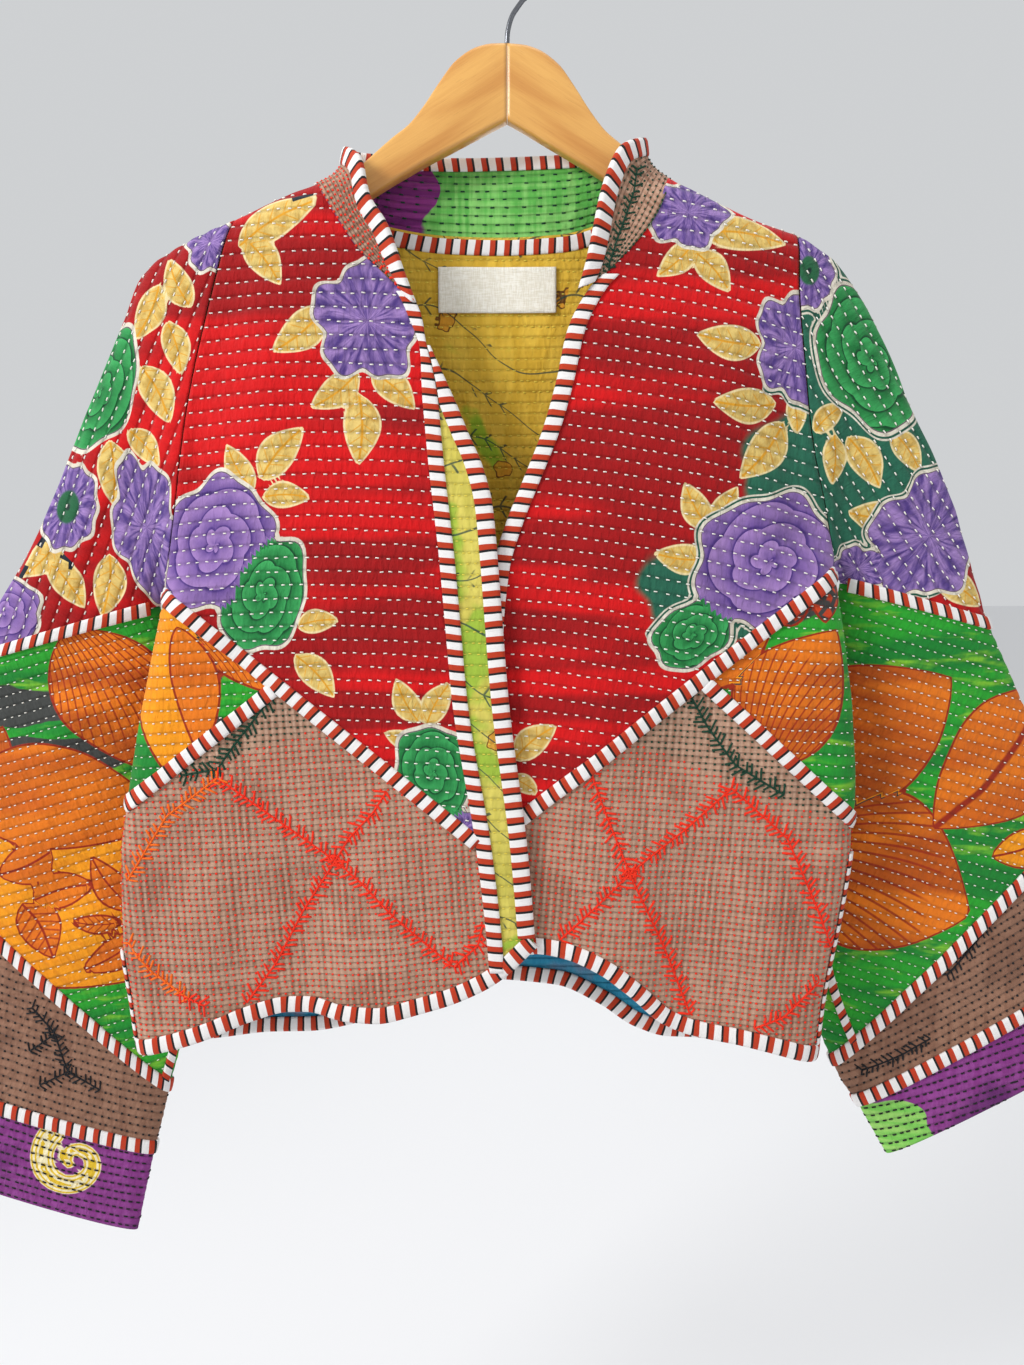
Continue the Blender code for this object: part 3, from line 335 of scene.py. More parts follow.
class JacketForm:
    """The surfaces on which all of the jacket's cloth lies, the same as the solids have."""

    front_depth = Curve(((-150, -23), (-200, -26), (-300, -31), (-400, -37), (-500, -42),
                         (-600, -46), (-760, -49)))
    back_depth = Curve(((-120, 15), (-200, 14), (-300, 12), (-450, 9), (-760, 6)))
    shoulder = Curve(((-181, -177), (-162, -167.5), (-143, -158.5), (-126, -152), (-100, -132),
                      (0, -90), (84, -126), (108, -148.5), (125, -157), (144, -167),
                      (162, -175.5), (193, -187)))
    back_neck = Curve(((-126, -152), (-105, -163), (-85, -172), (-40, -179), (-5, -180),
                       (36, -178), (64, -171), (88, -161), (108, -148.5)))
    back_hem = Curve(((-260, -746), (-200, -751), (-150, -750), (-105, -741), (-60, -722),
                      (-15, -710), (35, -714), (69, -729), (95, -746), (120, -754), (170, -755),
                      (218, -752)))
    band_edge = Curve(((-236, -62), (-258, -52.5), (-281, -42.5), (-323, -25), (-339, -18),
                       (-366, -11), (-402, -7.5), (-442, -4.5), (-498, 0), (-597, 12.5),
                       (-669, 18.5), (-700, 21)))
    back_top = (-180.3, -154, -126, -119, -98, -55, -4, 48, 84, 101, 108, 128, 155, 192.3)
    back_folds = (Fold(-150, -240, -120, -470, 26, -2.2), Fold(-60, -230, -70, -520, 30, 1.6),
                  Fold(40, -240, 30, -540, 28, -2.0), Fold(120, -230, 100, -480, 24, 2.0),
                  Fold(170, -330, 130, -520, 22, -1.8), Fold(-190, -460, -180, -720, 24, 2.0),
                  Fold(-110, -570, -120, -730, 24, -2.2), Fold(-20, -560, -30, -700, 26, 1.8),
                  Fold(80, -570, 90, -735, 22, -2.0), Fold(170, -560, 180, -740, 24, 1.8))
    collar_rows = (
        ("front", -69, -227, -61, -31, -234), ("front", -81, -215, -70, -31, -211),
        ("front", -97, -200, -79, -31, -186), ("front", -110, -181, -91, -30, -166),
        ("front", -119, -165, -96, -27, -143), ("seam", -126, -152, -107, -9, -130),
        ("back", -119, -156.5, -104, 3, -128), ("back", -105, -163, -97, 10, -127),
        ("back", -85, -172, -80, 17, -126), ("back", -40, -179, -43, 22, -126),
        ("back", -5, -180, -5, 24, -125), ("back", 36, -178, 37, 22, -124),
        ("back", 64, -171, 64, 16, -123), ("back", 88, -161, 81, 10, -122),
        ("back", 101, -153, 88, 2, -122), ("seam", 108, -148.5, 91, -8, -124),
        ("front", 101, -167, 74, -26, -136), ("front", 94, -181, 63, -30, -162),
        ("front", 84, -195, 57, -31, -190), ("front", 74, -206, 53, -31, -208),
        ("front", 61, -219, 48, -31, -225))

    seam_y, low_seam_y = -8.0, -27.0           # the side seam's depth, up and down
    front_arm_y, back_arm_y = -23.0, 7.0       # the armhole's depths at the shoulder
    arm_rise, seam_fall = 45.0, 100.0          # over which the seam takes on those depths
    shoulder_turn = 22.0                       # over which the cloth turns off the shoulder
    seam_gap, slit_gap = 0.5, 4.2              # how far the side's edges stand apart
    gap_ease, slit_lead, gap_reach = 20.0, 14.0, 40.0
    side_turn = 55.0                           # over which the cloth turns in from the side
    lap, lap_x, lap_reach = 3.8, 2.0, 80.0     # how the left front lies over the right one
    lap_top, lap_ease = -300.0, 60.0
    armhole_join, depth_join, crease_join = 0.6, 0.35, 0.3     # in stations down the arm
    seam_calm, seam_calm_reach = 0.75, 0.12    # how creases die away at the arm's cross seams
    collar_lift, collar_roll = 2.2, 4.0        # over the neck seam, and outwards

    def __init__(self) -> None:
        """Makes the curves along the collar's seam and its free edge."""
        seam, top = [], []
        for panel, x, z, top_x, top_y, top_z in self.collar_rows:
            here_x, here_z = np.array([float(x)]), np.array([float(z)])
            if panel == "back":
                y = self.back_y(here_x, here_z, False)[0]
            elif panel == "seam":
                y = self.hanger_y(here_x)[0]
            else:
                y = self.front_y(LEFT if x < 0 else RIGHT, here_x, here_z, False)[0]
            seam.append((x, y, z))
            top.append((top_x, top_y, top_z))
        last = len(seam) - 1
        self.collar_seam, self.collar_top = (
            [Curve([(i / last, p[part]) for i, p in enumerate(line)]) for part in range(3)]
            for line in (seam, top))

    @staticmethod
    def hanger_y(x: Array) -> Array:
        """Depth of the hanger's middle line."""
        return -12.0 * (x / 195) ** 2

    def edge_y(self, side: Side, z: Array, arm_y: float) -> Array:
        """Depth of the cloth at the armhole and, below the underarm, at the side seam.

        Args:
            side: the left or the right side.
            z: places up.
            arm_y: the armhole's depth at the shoulder.

        Returns:
            The depth at each place.
        """
        rise = z - side.underarm[1]
        above = mix(self.seam_y, arm_y, quarter_round(rise / self.arm_rise))
        return np.where(rise > 0, above,
                        mix(self.seam_y, self.low_seam_y, smooth(-rise / self.seam_fall)))

    def shoulder_share(self, x: Array, z: Array) -> Array:
        """How far a place has turned off the shoulder seam, 0 to 1."""
        return quarter_round((self.shoulder(x) - z) / self.shoulder_turn)

    def slit_part(self, side: Side, inset: Array, z: Array) -> Array:
        """How far a side edge stands off the other, more at the slit.

        Args:
            side: the left or the right side.
            inset: how far in from the side's outline.
            z: places up.

        Returns:
            The distance at each place.
        """
        at_seam = self.seam_gap * smooth((side.underarm[1] - z) / self.gap_ease)
        part = mix(at_seam, self.slit_gap,
                   smooth((side.slit_top + self.slit_lead - z) / self.gap_ease))
        return part * (1 - smooth(inset / self.gap_reach))

    def front_y(self, side: Side, x: Array, z: Array, creased: bool = True) -> Array:
        """Depth of a front over its pattern.

        Args:
            side: the left or the right front.
            x: places across.
            z: places up.
            creased: whether the small creases are laid on.

        Returns:
            The cloth's middle depth at each place.
        """
        inset = side.inset(x, z)
        shape = mix(smooth(inset / self.side_turn), quarter_round(inset / 20), side.below_arm(z))
        folds = fold_height(side.folds, x, z) * smooth(inset / 25)
        y = mix(self.edge_y(side, z, self.front_arm_y), self.front_depth(z) - folds, shape)
        reach = 1 - smooth(np.abs(x - self.lap_x) / self.lap_reach)
        y = y + side.sign * self.lap * reach * smooth((self.lap_top - z) / self.lap_ease)
        y = y - self.slit_part(side, inset, z)
        if creased:
            y = y - fold_height(side.creases, x, z) * smooth(inset / 12) * (1 - 0.8 * reach)
        return mix(self.hanger_y(x), y, self.shoulder_share(x, z))

    def back_y(self, x: Array, z: Array, creased: bool = True) -> Array:
        """Depth of the back over its pattern.

        Args:
            x: places across.
            z: places up.
            creased: whether the small folds are laid on.

        Returns:
            The cloth's middle depth at each place.
        """
        result = np.zeros(np.broadcast(x, z).shape)
        for side in (LEFT, RIGHT):
            inset = side.inset(x, z)
            side_shape = 0.32 * quarter_round(inset / 12) + 0.68 * smooth(inset / 85)
            shape = mix(smooth(inset / self.side_turn), side_shape, side.below_arm(z))
            y = mix(self.edge_y(side, z, self.back_arm_y), self.back_depth(z), shape)
            y = y + self.slit_part(side, inset, z)
            if creased:
                y = y + fold_height(self.back_folds, x, z) * smooth(inset / 30) * 0.6
            result = np.where((x < 0) == (side.sign < 0), y, result)
        return mix(self.hanger_y(x), result, self.shoulder_share(x, z))

    def front(self, side: Side) -> Surface:
        """Turns places on a front's pattern into points."""
        return lambda x, z: np.stack((x, self.front_y(side, x, z), z), -1)

    def back(self) -> Surface:
        """Turns places on the back's pattern into points."""
        return lambda x, z: np.stack((x, self.back_y(x, z), z), -1)

    def sleeve(self, side: Side) -> Surface:
        """Turns stations down the arm and turns round it into points."""
        return lambda turn, at: self.sleeve_point(side, turn, at)

    def sleeve_point(self, side: Side, turn: Array, at: Array) -> Array:
        """Points of a sleeve.

        Args:
            side: the left or the right sleeve.
            turn: 0 at the outer fold, 0.25 at the front, 0.5 underneath, 0.75 behind.
            at: stations down the arm, 0 at the armhole and 4 at the cuff's edge.

        Returns:
            One point for each place.
        """
        angle = 2 * math.pi * turn
        across = (1 - np.cos(angle)) / 2
        swell = np.sin(angle)
        ring = {name: curve(at) for name, curve in side.rings.items()}
        x = mix(ring["outer_x"], ring["inner_x"], across)
        z = mix(ring["outer_z"], ring["inner_z"], across)
        to_front = swell >= 0
        bulge = np.abs(swell) * np.where(to_front, ring["front"], ring["back"])
        y = mix(ring["outer_y"], ring["inner_y"], across) + np.where(to_front, -bulge, bulge)
        start = side.stations[0]
        x_seam = mix(start.outer_x, side.underarm[0], across)
        z_seam = mix(start.outer_z, side.underarm[1], across)
        edge_x = side.edge(z_seam)
        x = x + (edge_x - x_seam) * (1 - smooth(at / self.armhole_join))
        seam_y = mix(start.outer_y, start.inner_y, across)
        seam_y = seam_y + np.where(to_front, -np.abs(swell) * start.front,
                                   np.abs(swell) * start.back)
        body_y = np.where(to_front, self.front_y(side, edge_x, z_seam, False),
                          self.back_y(edge_x, z_seam, False))
        y = y + (body_y - seam_y) * (1 - smooth(at / self.depth_join))
        crease = fold_height(side.arm_creases, x, z) * np.abs(swell) ** 0.7
        seam = np.exp(-((at - np.round(at)) / self.seam_calm_reach) ** 2)
        crease = crease * smooth(at / self.crease_join) * (1 - self.seam_calm * seam)
        y = y - np.where(to_front, crease, -0.7 * crease)
        return np.stack(np.broadcast_arrays(x, y, z), -1)

    def collar_point(self, share: Array, up: Array) -> Array:
        """Points of the collar.

        Args:
            share: from the left tip to the right one.
            up: from the neck seam to the free edge.

        Returns:
            One point for each place.
        """
        seam = np.stack([curve(share) for curve in self.collar_seam], -1)
        rise = np.stack([curve(share) for curve in self.collar_top], -1) - seam
        lift = np.minimum(self.collar_lift / np.linalg.norm(rise, axis=-1), 0.3)
        flat = seam + rise * mix(lift, 1.0, up)[..., None]
        along = np.stack([curve(np.minimum(share + 0.004, 1)) - curve(np.maximum(share - 0.004, 0))
                          for curve in self.collar_seam], -1)
        facing = unit(np.cross(along, rise))
        roll = self.collar_roll * np.sin(math.pi * up) * smooth(np.minimum(share, 1 - share) * 6)
        return flat + facing * roll[..., None]


FORM = JacketForm()


def frames(place: Surface, first: Array, second: Array, flip: float,
           steps: tuple[float, float] = (0.4, 0.4)) -> tuple[Array, Array]:
    """Points of a surface and the way it faces.

    Args:
        place: turns two pattern places into points.
        first: first pattern place of each point.
        second: second pattern place of each point.
        flip: 1 or -1, so that the facing looks away from the body.
        steps: how far apart the slopes are read along both places.

    Returns:
        The points and the facing.
    """
    one = place(first + steps[0], second) - place(first - steps[0], second)
    two = place(first, second + steps[1]) - place(first, second - steps[1])
    return place(first, second), unit(np.cross(one, two)) * flip


class BloomKind(Enum):
    """The printed flowers of the red cloth."""
    PURPLE_ROSE = 0
    GREEN_ROSE = 1
    STREAKED = 2
    ROUND = 3


class Lobes(NamedTuple):
    """A flower's outline: how deep its large and small lobes are, and how many it has."""
    large: float
    large_count: int
    small: float
    small_count: int


LOBES = {BloomKind.PURPLE_ROSE: Lobes(0.07, 5, 0.035, 9),
         BloomKind.GREEN_ROSE: Lobes(0.06, 4, 0.04, 7),
         BloomKind.STREAKED: Lobes(0.12, 5, 0.05, 11), BloomKind.ROUND: Lobes(0.03, 5, 0.05, 10)}


class Bloom(NamedTuple):
    """A printed flower: its middle, half its width and height, and its turn in degrees."""
    kind: BloomKind
    x: float
    z: float
    wide: float
    high: float
    turn: float


class Leaf(NamedTuple):
    """A printed leaf or petal: its middle, length, the way its tip points, tone and slimness."""
    x: float
    z: float
    size: float
    turn: float
    tone: float = 0.0
    half: float = 0.27


class Patch(NamedTuple):
    """A soft-edged patch of another ground colour."""
    x: float
    z: float
    wide: float
    high: float


class Curl(NamedTuple):
    """A printed paisley curl: its middle, its reach, where it starts and how far it winds."""
    x: float
    z: float
    size: float
    turn: float
    winding: float = 460.0

    def edge(self, x: Array, z: Array) -> Array:
        """Distance to the curl's outline.

        Args:
            x: places across the cloth.
            z: places up the cloth.

        Returns:
            The distance of each place, below 0 inside.
        """
        share = np.linspace(0.0, 1.0, 60)
        angle = math.radians(self.turn) + math.radians(self.winding) * share
        reach = self.size * (1 - 0.88 * share ** 0.8)
        half = self.size * (0.34 - 0.22 * share)
        away = np.hypot(x[..., None] - self.x - reach * np.cos(angle),
                        z[..., None] - self.z - reach * np.sin(angle))
        return (away - half).min(axis=-1)


def motif_place(motif: Bloom | Leaf, x: Array, z: Array) -> tuple[Array, Array]:
    """Places along and across a motif, which turn with it.

    Args:
        motif: the flower or the leaf.
        x: places across the cloth.
        z: places up the cloth.

    Returns:
        How far each place lies along it and across it.
    """
    turn = math.radians(motif.turn)
    step_x, step_z = x - motif.x, z - motif.z
    return (step_x * math.cos(turn) + step_z * math.sin(turn),
            step_z * math.cos(turn) - step_x * math.sin(turn))


class Nearest:
    """Keeps, for each place of a cloth, the motif whose outline lies nearest."""

    def __init__(self, x: Array) -> None:
        """Starts with no motif near."""
        self.edge = np.full(x.shape, FAR)
        self.place = np.zeros(x.shape + (3,))

    def offer(self, edge: Array, *place: Array | float) -> None:
        """Takes a motif over wherever it lies nearer.

        Args:
            edge: distance of each place to its outline.
            place: the three values that a finish draws it from.
        """
        nearer = edge < self.edge
        self.edge = np.where(nearer, edge, self.edge)
        here = np.stack(np.broadcast_arrays(*place, edge)[:3], -1)
        self.place = np.where(nearer[..., None], here, self.place)


@dataclass(frozen=True)
class Print:
    """What is printed on one stretch of cloth, in a layout of this jacket's own."""
    blooms: tuple[Bloom, ...] = ()
    leaves: tuple[Leaf, ...] = ()
    patches: tuple[Patch, ...] = ()
    curls: tuple[Curl, ...] = ()
    over: tuple[Leaf, ...] = ()
    curl_tone: float = 5.0

    def fields(self, x: Array, z: Array) -> dict[str, Array]:
        """Places and distances that the finishes draw the print from.

        Args:
            x: places across the cloth.
            z: places up the cloth.

        Returns:
            The leaf and bloom places, and how far each place is from their outlines.
        """
        leaf = self.leaf_fields(self.leaves, x, z)
        for curl in self.curls:
            leaf.offer(curl.edge(x, z), 0.5, 0.0, self.curl_tone)
        bloom = self.leaf_fields(self.over, x, z) if self.over else self.bloom_fields(x, z)
        ground = np.full(x.shape, -FAR)
        for patch in self.patches:
            reach = np.hypot((x - patch.x) / patch.wide, (z - patch.z) / patch.high)
            reach = reach + 0.10 * np.sin(x * 0.13 + z * 0.05) + 0.07 * np.sin(z * 0.21 - x * 0.09)
            ground = np.maximum(ground, (1 - reach) * 0.5 * (patch.wide + patch.high))
        return {"leaf": leaf.place, "bloom": bloom.place,
                "print_edges": np.stack((leaf.edge, bloom.edge, ground), -1)}

    @staticmethod
    def leaf_fields(leaves: Sequence[Leaf], x: Array, z: Array) -> Nearest:
        """Finds the nearest leaf of each place.

        Args:
            leaves: the leaves to choose from.
            x: places across the cloth.
            z: places up the cloth.

        Returns:
            The places along and across it with its tone, and the distance to its outline.
        """
        nearest = Nearest(x)
        for leaf in leaves:
            along, across = (part / leaf.size for part in motif_place(leaf, x, z))
            along = along + 0.5
            across = across - 0.05 * np.sin(along * 3.4)
            half = leaf.half * np.sin(math.pi * np.clip(along, 0.001, 0.999) ** 0.8) ** 0.85
            beyond = np.maximum(np.maximum(-along, along - 1), 0)
            edge = np.where(beyond > 0, np.hypot(beyond, across), (np.abs(across) - half) * 0.85)
            nearest.offer(edge * leaf.size, along, across / leaf.half, leaf.tone)
        return nearest

    def bloom_fields(self, x: Array, z: Array) -> Nearest:
        """Finds the nearest flower of each place.

        Args:
            x: places across the cloth.
            z: places up the cloth.

        Returns:
            The places across and up it with its kind, and the distance to its outline.
        """
        nearest = Nearest(x)
        for number, bloom in enumerate(self.blooms):
            side, up = motif_place(bloom, x, z)
            side, up = side / bloom.wide, up / bloom.high
            angle = np.arctan2(up, side)
            lobes = LOBES[bloom.kind]
            outline = (1 + lobes.large * np.cos(lobes.large_count * angle + number)
                       + lobes.small * np.cos(lobes.small_count * angle + 2.3 * number))
            edge = (np.hypot(side, up) - outline) * 0.5 * (bloom.wide + bloom.high)
            nearest.offer(edge, side, up, float(bloom.kind.value))
        return nearest


def new_object(name: str, mesh: bpy.types.Mesh, finishes: Sequence[bpy.types.Material],
               slot: str, stands_for: Sequence[str] = ()) -> bpy.types.Object:
    """Puts a finished mesh into the scene as one piece of the jacket.

    Args:
        name: the piece's name.
        mesh: its mesh, in place.
        finishes: its materials, the outer one first.
        slot: the record's material slot; not used.
        stands_for: the solids that it replaces.

    Returns:
        The new object.
    """
    for finish in finishes:
        mesh.materials.append(finish)
    mesh.polygons.foreach_set("use_smooth", np.ones(len(mesh.polygons), bool))
    thing = bpy.data.objects.new(name, mesh)
    bpy.context.scene.collection.objects.link(thing)
    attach(thing, "root")
    if stands_for:
        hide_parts(*stands_for)
    log.info("%s: %d faces", name, len(mesh.polygons))
    return thing


def grid_mesh(name: str, columns: int, rows: int, place: Surface,
              turned: bool = False, closed: bool = False, capped: bool = False,
              attributes: Callable[[Array, Array, Array], dict[str, Array]] | None = None,
              uv: Callable[[Array, Array, Array], Array] | None = None) -> bpy.types.Mesh:
    """Makes one sheet from a flat grid whose points are laid on a surface.

    Args:
        name: the mesh's name.
        columns: how many squares across.
        rows: how many squares down.
        place: turns shares across and down into points, in millimetres.
        turned: whether the faces are turned over, so that they look outwards.
        closed: whether the last column joins the first.
        capped: whether the open ends of a closed run are filled.
        attributes: values for each point from shares and points.
        uv: the way along and across the weave for each point, in millimetres.

    Returns:
        The mesh, in metres.
    """
    grid = bmesh.new()
    bmesh.ops.create_grid(grid, x_segments=columns, y_segments=rows, size=0.5)
    mesh = bpy.data.meshes.new(name)
    grid.to_mesh(mesh)
    count = len(mesh.vertices)
    flat = np.empty(count * 3, np.float32)
    mesh.vertices.foreach_get("co", flat)
    flat = flat.reshape(-1, 3).astype(float)
    across = np.round((flat[:, 0] + 0.5) * columns) / columns
    down = np.round((flat[:, 1] + 0.5) * rows) / rows
    points = place(across, down)
    mesh.vertices.foreach_set("co", (points * MM).astype(np.float32).ravel())
    if uv is not None:
        corners = np.empty(len(mesh.loops), np.int32)
        mesh.loops.foreach_get("vertex_index", corners)
        layer = mesh.uv_layers.new(name="weave")
        spread = (uv(across, down, points) * MM).astype(np.float32)
        layer.data.foreach_set("uv", spread[corners].ravel())
    if attributes is not None:
        for label, values in attributes(across, down, points).items():
            item = mesh.attributes.new(label, "FLOAT_VECTOR", "POINT")
            item.data.foreach_set("vector", values.astype(np.float32).ravel())
    grid.clear()
    grid.from_mesh(mesh)
    if closed:
        seam = [vert for vert, share in zip(grid.verts, across) if share in (0.0, 1.0)]
        bmesh.ops.remove_doubles(grid, verts=seam, dist=1e-6)
    if capped:
        rim = [edge for edge in grid.edges if edge.is_boundary]
        bmesh.ops.holes_fill(grid, edges=rim, sides=0)
        bmesh.ops.recalc_face_normals(grid, faces=grid.faces)
    elif turned:
        bmesh.ops.reverse_faces(grid, faces=grid.faces)
    grid.to_mesh(mesh)
    grid.free()
    return mesh


def at_rings(rings: Array, across: Array, down: Array) -> Array:
    """Values of a table of rings at shares round the rings and down the run."""
    rows, around = rings.shape[0] - 1, rings.shape[1]
    return rings[np.round(down * rows).astype(int), np.round(across * around).astype(int) % around]


def rings_mesh(name: str, rings: Array, weave: Array | None = None,
               capped: bool = True) -> bpy.types.Mesh:
    """Makes a closed run through cross-sections.

    Args:
        name: the mesh's name.
        rings: the points of every cross-section, in millimetres.
        weave: the place along and across the weave at each point.
        capped: whether both ends are filled.

    Returns:
        The mesh, in metres.
    """
    uv = None if weave is None else lambda across, down, _: at_rings(weave, across, down)
    return grid_mesh(name, rings.shape[1], rings.shape[0] - 1,
                     lambda across, down: at_rings(rings, across, down), closed=True,
                     capped=capped, uv=uv)


def middle_area(mesh: bpy.types.Mesh) -> float:
    """Area of a sheet's middle surface, in square metres.

    Args:
        mesh: the sheet before it has its wall.

    Returns:
        The area.
    """
    areas = np.empty(len(mesh.polygons), np.float32)
    mesh.polygons.foreach_get("area", areas)
    return float(areas.sum())


@dataclass
class ClothSheet:
    """One cut piece of quilted cloth, with the way its rows are sewn."""
    name: str
    place: Surface
    sewn: Callable[[Array], Array]
    columns: int
    rows: int
    outward: float
    flat: tuple[float, float]
    pitch: float = ROW_PITCH
    swell: float = 0.35
    wall: float = WALL
    closed: bool = False
    prints: tuple[Print, Print] = (Print(), Print())
    follow: bool = False

    def sewing_place(self, across: Array, down: Array) -> Array:
        """How far along its sewn rows and over them a place lies, in millimetres.

        Args:
            across: shares across the piece.
            down: shares down it.

        Returns:
            Both for each place.
        """
        if self.follow:
            return np.stack((across * self.flat[0], down * self.flat[1]), -1)
        return self.sewn(self.place(across, down))

    def normals(self, across: Array, down: Array) -> tuple[Array, Array, Array]:
        """Slopes both ways over the shares, and the way the cloth faces.

        Args:
            across: shares across the piece.
            down: shares down it.

        Returns:
            Both slopes and the facing.
        """
        step = SMALL_SHARE
        one = self.place(across + step, down) - self.place(across - step, down)
        two = self.place(across, down + step) - self.place(across, down - step)
        return one / (2 * step), two / (2 * step), unit(np.cross(one, two)) * self.outward

    def puckered(self, across: Array, down: Array) -> Array:
        """Points of the cloth, drawn in along its sewn rows.

        Args:
            across: shares across the piece.
            down: shares down it.

        Returns:
            One point for each place.
        """
        points = self.place(across, down)
        facing = self.normals(across, down)[2]
        along, row = np.moveaxis(self.sewing_place(across, down), -1, 0)
        row = row / self.pitch
        uneven = 0.75 + 0.35 * np.sin(along * 0.19 + row * 2.7)
        swell = -np.cos(2 * math.pi * row) * self.swell * uneven
        rim = smooth(np.minimum(down, 1 - down) * self.rows / 3)
        if not self.closed:
            rim = rim * smooth(np.minimum(across, 1 - across) * self.columns / 3)
        return points + facing * (swell * rim)[..., None]

    def print_fields(self, across: Array, down: Array, points: Array) -> dict[str, Array]:
        """The print of the front and, where a tube has turned, of the back.

        Args:
            across: shares across the piece.
            down: shares down it.
            points: the points there.

        Returns:
            The values that the finishes draw from.
        """
        if not self.closed:
            return self.prints[0].fields(points[:, 0], points[:, 2])
        ahead = self.prints[0].fields(points[:, 0], points[:, 2])
        behind = self.prints[1].fields(points[:, 0], points[:, 2])
        turned = ((across % 1.0) > 0.5)[:, None]
        return {label: np.where(turned, behind[label], ahead[label]) for label in ahead}

    def build(self, outer: bpy.types.Material, inner: bpy.types.Material,
              slot: str, held: str = "hung") -> bpy.types.Object:
        """Makes the sheet with its wall.

        Args:
            outer: finish of the side that shows outside.
            inner: finish of the lining side.
            slot: the record's material slot.
            held: how the cloth is held; not used.

        Returns:
            The finished object.
        """
        mesh = grid_mesh(self.name, self.columns, self.rows, self.puckered,
                         turned=self.outward < 0, closed=self.closed,
                         attributes=self.print_fields,
                         uv=lambda across, down, _: self.sewing_place(across, down))
        thing = new_object(f"{self.name}_cloth", mesh, (outer, inner), slot, (self.name,))
        wall = thing.modifiers.new("wall", "SOLIDIFY")
        wall.thickness = self.wall * MM
        wall.offset = 0.0
        wall.material_offset = 1
        wide, long = self.flat[0] * MM, self.flat[1] * MM
        area = min(max(middle_area(mesh), 0.31 * wide * long), wide * long)
        return thing


class Stitch(NamedTuple):
    """Sizes of one stitch: length, width, height, and how far it stands off the cloth."""
    length: float
    width: float
    height: float
    lift: float = 0.75


class Thread:
    """Gathers stitches and makes them into one joined piece of sewing thread."""

    def __init__(self, name: str, finish: bpy.types.Material, slot: str) -> None:
        """Starts an empty run of stitches.

        Args:
            name: the piece's name.
            finish: the thread's finish.
            slot: the record's material slot.
        """
        self.name, self.finish, self.slot = name, finish, slot
        self.parts: list[Array] = []
        form = bmesh.new()
        bmesh.ops.create_cube(form, size=1.0)
        for vert in form.verts:
            if vert.co.z > 0:
                vert.co.x *= 0.62
                vert.co.y *= 0.45
                vert.co.z = 0.5
            else:
                vert.co.z = -0.4
        self.form = np.array([vert.co[:] for vert in form.verts])
        self.faces = np.array([[vert.index for vert in face.verts] for face in form.faces])
        form.free()

    def add(self, middles: Array, along: Array, facing: Array, size: Stitch) -> None:
        """Lays stitches down.

        Args:
            middles: places on the cloth's middle, in millimetres.
            along: the way each stitch runs.
            facing: the way the cloth faces.
            size: how large a stitch is.
        """
        side = unit(np.cross(facing, along))
        form = self.form * np.array((size.length, size.width, size.height))
        points = (middles + facing * size.lift)[:, None, :] + (
            form[None, :, 0:1] * along[:, None, :] + form[None, :, 1:2] * side[:, None, :]
            + form[None, :, 2:3] * facing[:, None, :])
        self.parts.append(points)

    def build(self) -> bpy.types.Object:
        """Joins all stitches into one mesh.

        Returns:
            The finished object.
        """
        points = np.concatenate(self.parts)
        count, each = points.shape[:2]
        mesh = bpy.data.meshes.new(self.name)
        mesh.vertices.add(count * each)
        mesh.vertices.foreach_set("co", (points * MM).astype(np.float32).ravel())
        faces = (self.faces[None] + (np.arange(count) * each)[:, None, None]).reshape(-1, 4)
        mesh.loops.add(faces.size)
        mesh.loops.foreach_set("vertex_index", faces.ravel().astype(np.int32))
        mesh.polygons.add(len(faces))
        mesh.polygons.foreach_set("loop_start", np.arange(0, faces.size, 4, dtype=np.int32))
        mesh.update(calc_edges=True)
        mesh.validate()
        return new_object(self.name, mesh, (self.finish,), self.slot)


